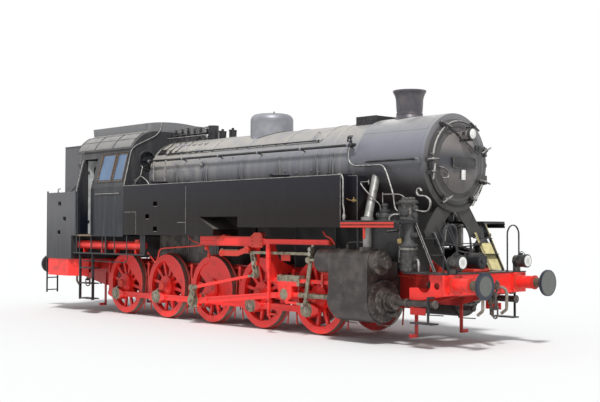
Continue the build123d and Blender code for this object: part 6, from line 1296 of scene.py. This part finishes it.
def deck_trim():
    """The front deck's lip, the drum's cover and strap, pipes between drum and smokebox, gussets, and
    hoop feet."""
    drum = (6290, 0, LAMP_Z)
    feet = [(6285, side * (870 + shift), 1270) for side in (-1, 1) for shift in (-170, 170)]
    dark = [
        bar([(6384, -1120, 1263), (6384, 1120, 1263)], 24, 14),
        turned(drum, X, [(0, 96), (8, 92), (8, 40), (26, 40), (30, 20)], 28),
        bolts(circle((6293, 0, LAMP_Z), X, 112, 10), X, 9, 10),
        collar((6000, 0, LAMP_Z), X, 139, 147, 30, 36),
        *[turned(foot, Z, [(0, 30), (8, 30), (8, 20), (20, 20)], 10) for foot in feet],
    ]
    for k, (y, low) in enumerate(((-300, 1640), (-220, 1560), (240, 1600))):
        route = [
            (5700, y, 2120), (5800, y + 40, 1900), (5900, y + 90 - 60 * k, low), (5990, y / 2, low - 30)
        ]
        dark.append(pipe([*route, (6060, y / 3, 1600)], 120, 16, steps=8))
    route = [
        (5690, -470, 2050), (5800, -420, 1760), (5960, -180, 1700), (6120, 100, 1730), (6150, 420, 1900)
    ]
    dark.append(pipe(route, 120, 12, steps=8))
    dark.append(block((5480, 0, 1900), (24, 612, 394), 4))
    red = [
        plate(
            [(5640, 1250), (6060, 1250), (5640, 1500)], 14, (0, side * 610 + 7, 0), X, Z
        ) for side in (-1, 1)
    ]
    red.append(block((6146, 0, 1300), (270, 430, 56), 8))
    loop = [(-110, 1765), (-85, 2010), (52, 2110), (205, 2030), (235, 1765)]
    return dark, red, [pipe([(5560, y, z) for y, z in loop], 90, 12, steps=7)]


def beam_trim():
    """Bolts of the buffer cases, rivets of beams and side plates, rings and brackets of the lamps at
    both ends."""
    red, dark = [], []
    for end in (1, -1):
        out = end * X
        for side in (-1, 1):
            y, lamp_y = side * BUFFER_Y, side * LAMP_Y
            corners = [(y + a * 150, BUFFER_Z + b * 128) for a in (-1, 1) for b in (-1, 1)]
            red.append(bolts([(end * 6404, *corner) for corner in corners], out, 15, 18))
            red.append(turned((end * 6405, y, BUFFER_Z), out, [(0, 150), (14, 150), (26, 118)], 32))
            red.append(collar((end * 6730, y, BUFFER_Z), out, 114, 122, 26, 32))
            dark.append(turned((end * 6997, y, BUFFER_Z), out, [(-22, 220), (-8, 227), (0, 223)], 48))
            rim = [(60, 108), (60, 118), (110, 118), (114, 100)]
            dark.append(turned((end * 6470, lamp_y, LAMP_Z), out, rim, 32, loop=True))
            dark.append(tube(arc((end * 6450, lamp_y, LAMP_Z + 35), 128, 8, 172, steps=14), 6, 6))
            dark.append(capped_neck((end * 6440, lamp_y, LAMP_Z + 107), Z, 30, 40, 16, (16, 28, 36), 14))
            dark.append(block((end * 6450, side * 1020, LAMP_Z), (44, 20, 52)))
        red += [rivet_row((end * 6403, -560, z), (end * 6403, 560, z), 12, out, 12, 8) for z in (1225, 965)]
    for side in (-1, 1):
        red.append(rivet_row((5560, side * 1050.5, 1180), (6260, side * 1050.5, 1180), 9, side * Y, 11, 7))
    return red, dark


def coupling(end):
    """A screw coupling hung on its own hook: two links, the screw with its nuts, and the weighted handle."""
    x = end * 6560
    return [
        tube(arc((x, 0, 1000), 60, 180, 360, across=Y, steps=12), 16),
        *[tube([(x, y, 998), (x, y, 1082)], 16) for y in (-60, 60)],
        tube([(x, -74, 1080), (x, 74, 1080)], 18),
        tube([(x, 0, 950), (x, 0, 640)], 22, 10),
        *[turned((x, 0, z), -Z, [(0, 34), (60, 34)], 8) for z in (930, 700)],
        pipe([(x + end * 6, 0, 800), (x + end * 40, 0, 800), (x + end * 44, 0, 700)], 16, 11, 6),
        ball((x + end * 44, 0, 690), 28, 10, 6),
        *[tube([(x, y, 670), (x, y, 560)], 15) for y in (-62, 62)],
        tube([(x, -76, 670), (x, 76, 670)], 17),
        tube(arc((x, 0, 562), 62, 180, 360, across=Y, steps=12), 15),
    ]


def motion_trim():
    """Plates, bolts, levers and pipes of the red girder and its bracket, and the steel pins of the
    valve gear."""
    face = -1310
    bracket = [(1690, 1640), (2040, 1640), (2040, 1850), (1980, 1930), (1800, 1930), (1690, 1860)]
    red = [
        block((690, -1225, 1866), (330, 150, 32), 5),
        plate([(560, 1775), (830, 1775), (830, 1850), (560, 1850)], 12, face * Y, X, Z),
        plate(bracket, 14, face * Y, X, Z),
        block((1860, -1230, 1890), (220, 120, 76), 14),
        *[bar([(60, -1314, z), (1690, -1314, z)], 10, 22) for z in (1672, 1838)],
        *[bar([(2240, -1314, z), (3862, -1314, z)], 10, 12) for z in (1802, 1716)],
        bolts([(x, -1322, 1812) for x in (600, 695, 790)], -Y, 13, 12),
        bolts([(x, -1324, z) for x in (1730, 1990) for z in (1680, 1760, 1835)], -Y, 14, 14),
        bolts(line((120, face, 1755), (500, face, 1755), 4), -Y, 11, 10),
        bolts(line((2200, -1312, 420), (2200, -1312, 1640), 7), -Y, 10, 10),
        turned((3880, -1280, 1759), X, [(-20, 62), (10, 62), (22, 40)], 16),
        block((2290, -1262, 372), (150, 90, 26), 4),
        block((2560, -1180, 1460), (260, 16, 130), 5),
        tube([(1548, -1180, 1598), (1548, -1330, 1598)], 44, 12),
        bar([(740, -1290, 1512), (1240, -1290, 1512), (1530, -1290, 1590)], 30, 110, edge=8),
        button((740, -1268, 1512), -Y, 66, 44, 50, 20),
        button((1548, -1268, 1598), -Y, 76, 54, 56, 20),
        bolts([(740, -1318, 1512), (1548, -1328, 1598)], -Y, 20, 16),
        button((1700, -1180, 1320), -Y, 60, 40, 40),
        bar([(3560, -1180, 1180), (3560, -1180, 930)], 60, 16, up=Y),
    ]
    pipe_run = [(-1850, -1330, 1470), (-1550, -1330, 1262), (-1480, -1330, 1290), (-1390, -1330, 1540)]
    pipe_run += [(-1290, -1330, 1575), (-200, -1300, 1640), (40, -1280, 1660)]
    for route, bend, radius in (
        (pipe_run, 60, 15),
        (
            [
                (-340, -1330, 1850), (-300, -1330, 1800), (-180, -1320, 1740), (0, -1300, 1700),
                (30, -1290, 1640)
            ],
            30, 13
        ),
        ([(120, -1250, 1600), (240, -1250, 1570), (250, -1250, 1500), (262, -1250, 1440)], 20, 16),
        ([(3700, -1290, 1960), (3760, -1290, 1880), (3900, -1290, 1840), (4010, -1290, 1720)], 30, 16),
    ):
        red.append(pipe(route, bend, radius))
    red += [
        turned((-2200, -1330, 1540), Z, [(0, 70), (10, 82), (210, 82), (224, 60)], 20),
        turned((200, -1262, 1560), Z, [(0, 30), (20, 50), (70, 50), (90, 28), (120, 28)], 14),
        turned((262, -1250, 1400), Z, [(0, 20), (60, 34), (96, 34), (100, 20)], 12),
    ]
    steel = [
        bolts(line((2400, -1196, 1010), (3560, -1196, 1010), 6), -Y, 12, 12),
        button((3327, -1262, 1624), -Y, 40, 30, 26),
        button((3327, -1262, 1540), -Y, 44, 34, 28),
        button((3136, -1262, 590), -Y, 38, 28, 24),
        block((3327, -1246, 1580), (76, 30, 190), 8),
        button((1670, -1228, 1330), -Y, 46, 26, 30),
        button((LINK_FOOT[0], -1228, LINK_FOOT[1]), -Y, 46, 18, 30),
        bolts([(1640, -1229, z) for z in (1230, 1440)], -Y, 11, 10),
        button((3400, -1262, 1676), Z, 30, 40, 16, 12),
        turned((3136, -1230, 640), Z, [(0, 16), (34, 16), (38, 8)], 10),
    ]
    return both(red), both(steel)


def wheel_trim(x):
    """Axle-end caps with their bolts on both sides of one axle."""
    shells = [turned((x, -968, AXLE_Z), -Y, [(-30, 92), (-2, 92), (4, 84), (4, 50), (-2, 44), (-2, 20)], 24)]
    shells.append(bolts(circle((x, -968, AXLE_Z), -Y, 66, 6), -Y, 9, 8))
    return both(shells)


def rod_end(x, z, side):
    """The fastening at a coupling rod's pin: a collar and its nut, and an oil cup with its spout above."""
    r = PIN_RADIUS
    top = np.array([x, side * (ROD_Y - 45), z])
    nut = [(-4, r), (8, r), (12, 0.8 * r), (12, 0.5 * r), (24, 0.5 * r), (28, 0.34 * r)]
    cup = [(1.05 * r, 26), (2.1 * r, 26), (2.1 * r, 34), (2.5 * r, 34), (2.7 * r, 14)]
    spout = [(0.3 * r, 14), (1.5 * r, 14), (1.6 * r, 8)]
    return [
        turned((x, side * ROD_Y, z), side * Y, nut, 16),
        turned(top, Z, cup, 12),
        turned(top + (1.35 * r) * X, (0.7, 0, 1), spout, 8),
    ]


def underframe_trim():
    """Straps of the air reservoirs, footboard brackets and posts, sand pipes, and pipes and rivets of
    the frame."""
    red = [collar((x, -1330, 1617), X, 99, 105, 36) for x in (-4560, -4050, -3540, -3190, -2640, -2120)]
    red.append(turned((-4700, -1330, 1617), -X, [(-2, 60), (20, 60), (24, 30), (60, 24), (64, 10)], 16))
    dark = []
    for x in (-4480, -3960, -3470, -2960, -2450, -1900):
        dark.append(bar([(x, -1150, 1424), (x, -1488, 1424)], 50, 12))
        dark.append(bar([(x, -1484, 1432), (x, -1484, 1862)], 34, 10, up=Y))
    dark.append(bar([(-4785, -1497, 1424), (-1730, -1497, 1424)], 12, 30))
    dark.append(bar([(-1900, -1430, 1440), (-1900, -1430, 1862)], 90, 12, up=Y))
    for axle in AXLES:
        for shift, lean in ((-760, 120), (760, -120)):
            x = axle + shift
            route = [
                (x, -700, 1150), (x, -745, 900), (x + lean * 0.4, -750, 420), (x + lean * 0.6, -750, 150)
            ]
            if abs(x) < 4200:
                red.append(pipe(route, 80, 16, 6))
    red.append(tube([(-4550, -655, 1190), (5300, -655, 1190)], 17))
    red.append(rivet_row((-5900, -618, 1170), (5300, -618, 1170), 66, -Y, 11, 7))
    red.append(rivet_row((-5900, -1510, 1235), (-4580, -1510, 1235), 14, -Y))
    dark.append(
        pipe(
            [(-2400, -1500, 1400), (-2400, -1500, 1300), (-2500, -1480, 1240), (-4300, -1480, 1240)], 40, 12,
            6
        )
    )
    return both(red), both(dark)


def boiler_face():
    """Fittings on the boiler's end in the cab: fire door, gauges, water glasses, regulator, valves;
    seats, brake."""
    x, top = -2780, 3720
    dark = [
        turned((x, 0, 2230), -X, [(-4, 250), (10, 250), (20, 200)], 28),
        block((x - 40, 0, 2230), (40, 360, 300), 8),
        bar([(x - 70, -150, 2270), (x - 70, 150, 2210)], 26, 16, up=X),
        turned((x, 0, 3450), -X, [(0, 70), (60, 70), (70, 30), (120, 26)], 18),
        bar([(x - 112, 60, 3450), (x - 112, -420, 3350)], 30, 20, up=X),
        tube([(x - 60, -560, top), (x - 60, 560, top)], 34, 10),
        bolts(circle((x, 0, 3080), X, 640, 30), -X, 14, 14),
    ]
    bright = []
    for y in (-250, 250):
        bright.append(tube([(x - 60, y, 2900), (x - 60, y, 3260)], 14))
        bright += [turned((x - 90, y, z), X, [(0, 24), (92, 24)], 10) for z in (2900, 3250)]
    for y, z, r in ((-120, 3700, 75), (90, 3660, 62), (260, 3560, 50)):
        bright.append(turned((x - 20, y, z), -X, [(0, r), (40, r), (46, r - 8), (44, r - 14), (44, 8)], 24))
    for k, y in enumerate(line(-520, 520, 7)):
        bright += hand_wheel((x - 150, y, top), X, 46, 6)
        dark.append(tube([(x - 60, y, top), (x - 150, y, top)], 12, 6))
        dark.append(
            pipe([(x - 60, y, 3700), (x - 66, y, 3300 - 60 * (k % 3)), (x - 20, y * 0.9, 2700)], 60, 9, 6)
        )
    seats = [block((-3470, y, 2330), (380, 380, 60), 16) for y in (-1080, 1080)]
    seats += [block((-3680, y, 2560), (50, 380, 380), 16) for y in (-1080, 1080)]
    dark += [tube([(-3470, y, 1862), (-3470, y, 2300)], 32, 10) for y in (-1080, 1080)]
    dark.append(pipe([(-3350, 900, 1862), (-3350, 900, 2700), (-3350, 800, 2700)], 30, 22))
    dark += hand_wheel((-3350, 780, 2700), unit((0, 1, 0.2)), 190, 14)
    return dark, bright, seats


# What a user can change

def colour(name, description, *values):
    """A colour that the user can change."""
    return FloatVectorProperty(
        name=name, description=description, subtype="COLOR", min=0, max=1, default=values
    )


class LocomotiveLook(PropertyGroup):
    """Colours, as the light shows them."""

    red: colour("Red", "Signal red of frames, wheels and beams", 0.90, 0.034, 0.026)
    # Oily red is also the colour of the painted shade between the frames and on the tyres' inner faces.
    oily_red: colour("Oily red", "Red where oil and soot lie on it", 0.26, 0.02, 0.014)
    black: colour("Black", "Satin black of fittings and steps", 0.012, 0.012, 0.014)
    faded_black: colour("Faded black", "Black where the weather has greyed it", 0.045, 0.044, 0.046)
    # Painted reflection of the sky on the tanks' upper sides.
    blue_black: colour("Upper black", "Tank sides near the top", 0.014, 0.014, 0.020)
    brown_black: colour("Lower black", "Tank sides near the foot", 0.008, 0.005, 0.004)
    warm_grey: colour("Warm grey", "Dusty runs on smokebox, door, cab and bunker", 0.13, 0.125, 0.115)
    heat_grey: colour("Heat grey", "Smokebox paint", 0.195, 0.20, 0.235)
    barrel_grey: colour("Barrel grey", "Boiler clothing in its upper half", 0.25, 0.258, 0.295)
    # Painted shade low on the sides of boiler and smokebox.
    low_grey: colour("Low grey", "Boiler and smokebox paint low on their sides", 0.050, 0.048, 0.050)
    # Painted highlight on the smokebox's top.
    pale_heat_grey: colour("Pale heat grey", "Smokebox paint where it has bleached", 0.29, 0.285, 0.29)
    # Front grey is also the painted highlight round the door's rim.
    ring_grey: colour("Front grey", "Upper part of the front ring", 0.205, 0.198, 0.205)
    # Dust also stands as the painted highlight on the pumps' ledges.
    dust: colour("Dust", "Dust on faces that look up", 0.42, 0.39, 0.34)
    # Pale dust is also the painted highlight along the boiler bands' edges.
    pale_dust: colour("Pale dust", "Dust on band edges and the smokebox's top", 0.62, 0.60, 0.56)
    # Door brown and door olive are the dish's painted reflection.
    dish_brown: colour("Door brown", "Upper part of the smokebox door's dish", 0.20, 0.178, 0.17)
    dish_olive: colour("Door olive", "Lower part of the smokebox door's dish", 0.040, 0.037, 0.030)
    oiled_steel: colour("Oiled steel", "Bare motion parts", 0.29, 0.262, 0.19)
    brown_oil: colour("Brown oil", "Old oil on motion parts", 0.105, 0.082, 0.055)
    tread: colour("Tread", "Rolled bright wheel tread", 0.60, 0.58, 0.53)


def amount(name, description, least, value, **settings):
    """A number that the user can change."""
    return FloatProperty(name=name, description=description, min=least, default=value, **settings)


class LocomotiveStage(PropertyGroup):
    """Light and floor."""

    sun: amount("Sun", "Strength of the soft sun", 0, 2.9)
    sky: amount("Sky", "Strength of the even light from all round", 0, 0.52)
    floor_width: amount("Floor width", "Side of the floor", 1, 160.0, unit="LENGTH")
    lens: amount("Lens", "Length of the camera's lens in millimetres", 10, 62.09)


def colours(context):
    """The user's colours as plain tuples."""
    look = context.scene.locomotive_look
    return type("Look", (), {key: tuple(getattr(look, key)) for key in LocomotiveLook.__annotations__})


class Step(Operator):
    """Makes one group of pieces."""

    bl_options = {"REGISTER", "UNDO"}

    def execute(self, context):
        self.make(context)
        return {"FINISHED"}


class LOCO_OT_solids(Step):
    """Gives every solid its finish."""

    bl_idname = "loco.solids"
    bl_label = "Paint the solids"

    def make(self, context):
        look = colours(context)
        finishes = {
            "red_paint": red_paint(look),
            "black_paint": black_paint(look),
            "platform_black": black_paint(look, "platform_black", 0.35),
            "turret_black": black_paint(look, "turret_black", 0.35),
            "tank_paint": tank_paint(look),
            "roof_paint": cab_paint(look, "roof_paint", (0.12, 0.12, 0.125), (0.21, 0.21, 0.215), 3.3, 0.45),
            "cab_sheet": cab_paint(
                look, "cab_sheet", (0.004, 0.007, 0.013), (0.036, 0.036, 0.040), 2.05, 0.4
            ),
            "bunker_sheet": cab_paint(
                look, "bunker_sheet", (0.034, 0.034, 0.038), (0.10, 0.10, 0.107), 1.3, 0.4
            ),
            "barrel_paint": barrel_paint(look),
            "smokebox_paint": smokebox_paint(look),
            "front_grey": door_paint(look),
            "cast_iron": iron_paint(look),
            "tyre_steel": tyre_paint(look),
            "buffer_paint": buffer_paint(look),
            "floor_wood": boards(),
            "glass": glass(),
            "lens_glass": lens_paint(),
            "rod_steel": rod_steel(look),
            "rubbed_steel": rubbed_and_highlight_paint(),
            **{name: plain_paint(name, *values) for name, values in PLAIN_FINISHES.items()},
            **rod_finishes(look),
        }
        for name, node in frame["nodes"].items():
            slot = node.data.materials[0].name.split(".")[0]
            node.data.materials.clear()
            node.data.materials.append(finishes[NODE_FINISHES.get(name, name if name in finishes else slot)])


class LOCO_OT_door(Step):
    """Makes the smokebox door's clamps, rails, lamp trim and bare plates."""

    bl_idname = "loco.door"
    bl_label = "Smokebox door"

    def make(self, context):
        dark, bright = door_clamps()
        rails, edge = door_rails()
        lamp, lens = door_lamp()
        plates, fixings, white = blank_plates()
        for name, shells, finish, slot in (
            ("door_clamps", [*dark, *edge], "cast_iron", "front_grey"),
            ("door_handles", [*bright, *rails], "rubbed_steel", None),
            ("door_lamp_trim", lamp, "lamp_grey", None),
            ("door_lamp_lens", lens, "plate_white", "lens_glass"),
            ("number_plate_bare", plates, "plate_black", None),
            ("plate_bolts", fixings, "rubbed_steel", None),
            ("small_plate_bare", white, "plate_white", "door_grey"),
        ):
            piece(name, shells, finish, "smokebox_door")


class LOCO_OT_smokebox(Step):
    """Makes the smokebox's seams and rivets, its side pipes and the chimney's foot ring."""

    bl_idname = "loco.smokebox"
    bl_label = "Smokebox and chimney"

    def make(self, context):
        dark, bright = side_pipes()
        piece("smokebox_seams", smokebox_trim(), "smokebox_paint")
        piece("side_valves", dark, "black_paint")
        piece("side_pipes", bright, "rubbed_steel")
        piece("chimney_rings", chimney_trim(), "chimney_paint")


class LOCO_OT_barrel(Step):
    """Makes the covers, sleeves, valves and pipes along the boiler."""

    bl_idname = "loco.barrel"
    bl_label = "Boiler fittings"

    def make(self, context):
        dark, bright = barrel_top()
        piece("boiler_covers", barrel_fittings(), "barrel_paint")
        piece("turret_valves", dark, "turret_black")
        piece("boiler_rods", bright, "rubbed_steel")


class LOCO_OT_cab(Step):
    """Makes the cab's seams, gutter, window frames, grab rails and pipes."""

    bl_idname = "loco.cab"
    bl_label = "Cab outside"

    def make(self, context):
        outer, wood = window_frames()
        piece("cab_seams", cab_trim(), "cab_sheet")
        piece("cab_rails", cab_pipes(), "rubbed_steel")
        piece("window_frames", outer, "cab_sheet")
        piece("window_sashes", wood, "window_wood")


class LOCO_OT_cab_inside(Step):
    """Makes the fittings on the boiler's end, the seats and the hand brake."""

    bl_idname = "loco.cab_inside"
    bl_label = "Cab inside"

    def make(self, context):
        dark, bright, seats = boiler_face()
        piece("boiler_face_fittings", dark, "cast_iron")
        piece("gauges_and_wheels", bright, "brass")
        piece("cab_seats", seats, "seat_leather")


class LOCO_OT_tanks(Step):
    """Makes the tanks' seams, edges, lids, pipes and cocks."""

    bl_idname = "loco.tanks"
    bl_label = "Side tanks"

    def make(self, context):
        dark, pale, brass = tank_trim()
        piece("tank_lids", dark, "tank_paint")
        piece("tank_edges", pale, "rubbed_steel")
        piece("tank_cocks", brass, "brass")


class LOCO_OT_bunker(Step):
    """Makes the bunker's corner strips, rivets, foot-hole lips and rear rails."""

    bl_idname = "loco.bunker"
    bl_label = "Coal bunker"

    def make(self, context):
        dark, pale = bunker_trim()
        piece("bunker_rivets", dark, "bunker_sheet")
        piece("bunker_edges", pale, "rubbed_steel")


class LOCO_OT_pumps(Step):
    """Makes the pumps' ribs, flanges, valves, oilers and pipes."""

    bl_idname = "loco.pumps"
    bl_label = "Pumps"

    def make(self, context):
        oilers = [block((5440, side * 1160, 1800), (70, 60, 90), 8) for side in SIDES.values()]
        piece("air_pump_parts", pump(-1), "cast_iron")
        piece("air_pump_heads", pump_heads(), "cast_iron")
        piece("feed_pump_parts", pump(1), "cast_iron")
        piece("pump_pipes", pump_pipes(), "rubbed_steel")
        piece("pump_oilers", oilers, "brass")


class LOCO_OT_cylinders(Step):
    """Makes the cylinders' bolts, rivets, valves and drain cocks."""

    bl_idname = "loco.cylinders"
    bl_label = "Cylinders"

    def make(self, context):
        for name, side in SIDES.items():
            piece(f"cylinder_trim_{name}", cylinder_trim(side), "cover_iron")


class LOCO_OT_front(Step):
    """Makes the platform edges, the front deck's fittings, the beams' bolts, the lamps' trim and the
    couplings."""

    bl_idname = "loco.front"
    bl_label = "Decks and beams"

    def make(self, context):
        red, left_edge, web, pale, yellow = platform_trim()
        dark, gussets, loop = deck_trim()
        beam_bolts, lamp_rings = beam_trim()
        # Painted shade: the left platform's edge channel wears black, though it is red like the right one.
        piece("left_platform_edge", left_edge, "platform_black")
        # Painted shade: the channel's web wears the darker channel red.
        piece("platform_webs", web, "channel_red")
        piece("deck_pipe_loop", loop, "rubbed_steel")
        piece("platform_edges", [*red, *gussets], "red_paint")
        piece("ladder_edges", pale, "rubbed_steel")
        piece("left_ladder_edges", yellow, "ladder_yellow")
        piece("deck_fittings", dark, "black_paint")
        piece("beam_bolts", beam_bolts, "red_paint")
        piece("lamp_trim", lamp_rings, "lamp_grey")
        piece("couplings", [*coupling(1), *coupling(-1)], "hook_steel")


class LOCO_OT_motion(Step):
    """Makes the girder's plates and pipes, and the valve gear's pins and oilers."""

    bl_idname = "loco.motion"
    bl_label = "Motion"

    def make(self, context):
        red, steel = motion_trim()
        piece("girder_plates", red, "red_paint")
        piece("gear_pins", steel, "rod_steel")


class LOCO_OT_rods(Step):
    """Makes the nuts and oil cups of the rods, each moving with its rod, and the axle ends, each with
    its wheels."""

    bl_idname = "loco.rods"
    bl_label = "Rods and axle ends"

    def make(self, context):
        outer_axles = [(number, x) for number, x in enumerate(AXLES, 1) if number != DRIVEN_AXLE]
        for number, x in outer_axles:
            piece(f"axle_ends_{number}", wheel_trim(x), "red_paint", f"wheelset_{number}")
        for name, side in SIDES.items():
            across, up = CRANK_PINS[name]
            ends = [shell for _, x in outer_axles for shell in rod_end(x + across, AXLE_Z + up, side)]
            piece(f"coupling_rod_ends_{name}", ends, "rod_steel", f"coupling_rod_{name}")


class LOCO_OT_underframe(Step):
    """Makes the reservoirs' straps, footboard brackets, sand pipes and frame rivets."""

    bl_idname = "loco.underframe"
    bl_label = "Underframe"

    def make(self, context):
        red, dark = underframe_trim()
        piece("underframe_pipes", red, "red_paint")
        piece("footboard_brackets", dark, "black_paint")


CAMERA_PLACE = (17.245, -14.267, 1.987)
CAMERA_TURN = (47.517, 1.589, 0.187)
SUN_WAY = (-0.42, 0.42, -0.80)
SUN_SPREAD = 9


class LOCO_OT_stage(Step):
    """Makes the floor, the sky, the sun and the camera at the picture's angle."""

    bl_idname = "loco.stage"
    bl_label = "Stage"

    def make(self, context):
        scene, stage = context.scene, context.scene.locomotive_stage
        self.floor(stage.floor_width * 500)
        self.sky(scene, stage.sky)
        light = bpy.data.lights.new("sun", "SUN")
        light.energy, light.angle = stage.sun, math.radians(SUN_SPREAD)
        placed("sun", light, facing(-unit(SUN_WAY))[0], (0, 0, 20))
        self.camera(scene, stage.lens)
        scene.view_settings.view_transform = "Standard"

    def floor(self, half):
        """An even pale floor that reaches half its width in millimetres each way."""
        Paint("floor_pale").finish((0.80, 0.80, 0.79), 0.9)
        corners = np.array([[(half, -half, 0), (-half, -half, 0)], [(half, half, 0), (-half, half, 0)]])
        floor = piece("floor", [grid(corners, capped=False)], "floor_pale")
        floor.parent = None
        del floor["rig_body"]

    def camera(self, scene, lens):
        """The picture's camera: yaw, pitch and roll in degrees, the yaw counted from +Y towards -X."""
        camera = bpy.data.cameras.new("camera")
        camera.lens, camera.sensor_width, camera.sensor_fit = lens, 36.0, "HORIZONTAL"
        camera.clip_end = 500
        yaw, pitch, roll = np.radians(CAMERA_TURN)
        ahead = np.array(
            [-math.sin(yaw) * math.cos(pitch), math.cos(yaw) * math.cos(pitch), math.sin(pitch)]
        )
        level = np.array([math.cos(yaw), math.sin(yaw), 0])
        high = np.cross(level, ahead)
        right = math.cos(roll) * level + math.sin(roll) * high
        up = math.cos(roll) * high - math.sin(roll) * level
        scene.camera = placed("camera", camera, np.stack([right, up, -ahead], 1), CAMERA_PLACE)

    def sky(self, scene, strength):
        """Even light all round; white to the camera, in reflections and through glass."""
        world = bpy.data.worlds.new("sky")
        scene.world = world
        world.use_nodes = True
        nodes, links = world.node_tree.nodes, world.node_tree.links
        nodes.clear()
        path = nodes.new("ShaderNodeLightPath")
        kinds = ("Math", "Math", "Background", "Background", "MixShader", "OutputWorld")
        direct, white, lit, seen, mix, out = (nodes.new(f"ShaderNode{kind}") for kind in kinds)
        direct.operation = white.operation = "MAXIMUM"
        for background, level, tint in (
            (lit, strength, (0.93, 0.96, 1.0, 1.0)), (seen, 1.0, (1.0, 1.0, 1.0, 1.0))
        ):
            background.inputs["Strength"].default_value = level
            background.inputs["Color"].default_value = tint
        for source, target in (
            (path.outputs["Is Camera Ray"], direct.inputs[0]),
            (path.outputs["Is Glossy Ray"], direct.inputs[1]),
            (direct.outputs[0], white.inputs[0]),
            (path.outputs["Is Transmission Ray"], white.inputs[1]),
            (white.outputs[0], mix.inputs[0]),
            (lit.outputs[0], mix.inputs[1]),
            (seen.outputs[0], mix.inputs[2]),
            (mix.outputs[0], out.inputs["Surface"]),
        ):
            links.new(source, target)


def placed(name, data, turn, place):
    """An object of the data in the scene, its axes turned and put in place."""
    made = bpy.data.objects.new(name, data)
    full = np.eye(4)
    full[:3, :3], full[:3, 3] = turn, place
    made.matrix_world = Matrix(full.tolist())
    bpy.context.scene.collection.objects.link(made)
    return made


class LOCO_PT_panel(Panel):
    """Lists the steps in order, with the sizes and colours they use."""

    bl_idname = "LOCO_PT_panel"
    bl_label = "Locomotive"
    bl_space_type = "VIEW_3D"
    bl_region_type = "UI"
    bl_category = "Locomotive"

    def draw(self, context):
        for step in STEPS:
            self.layout.operator(step.bl_idname)
        for group in (context.scene.locomotive_look, context.scene.locomotive_stage):
            for key in type(group).__annotations__:
                self.layout.prop(group, key)


STEPS = (
    LOCO_OT_solids,
    LOCO_OT_door,
    LOCO_OT_smokebox,
    LOCO_OT_barrel,
    LOCO_OT_cab,
    LOCO_OT_cab_inside,
    LOCO_OT_tanks,
    LOCO_OT_bunker,
    LOCO_OT_pumps,
    LOCO_OT_cylinders,
    LOCO_OT_front,
    LOCO_OT_motion,
    LOCO_OT_rods,
    LOCO_OT_underframe,
    LOCO_OT_stage,
)
CLASSES = (LocomotiveLook, LocomotiveStage, *STEPS, LOCO_PT_panel)


def register():
    for kind in CLASSES:
        bpy.utils.register_class(kind)
    bpy.types.Scene.locomotive_look = PointerProperty(type=LocomotiveLook)
    bpy.types.Scene.locomotive_stage = PointerProperty(type=LocomotiveStage)


def unregister():
    del bpy.types.Scene.locomotive_stage
    del bpy.types.Scene.locomotive_look
    for kind in reversed(CLASSES):
        bpy.utils.unregister_class(kind)


def main():
    """Registers the classes and makes every piece in order."""
    register()
    for step in STEPS:
        group, name = step.bl_idname.split(".")
        getattr(getattr(bpy.ops, group), name)()


if __name__ == "__main__":
    main()
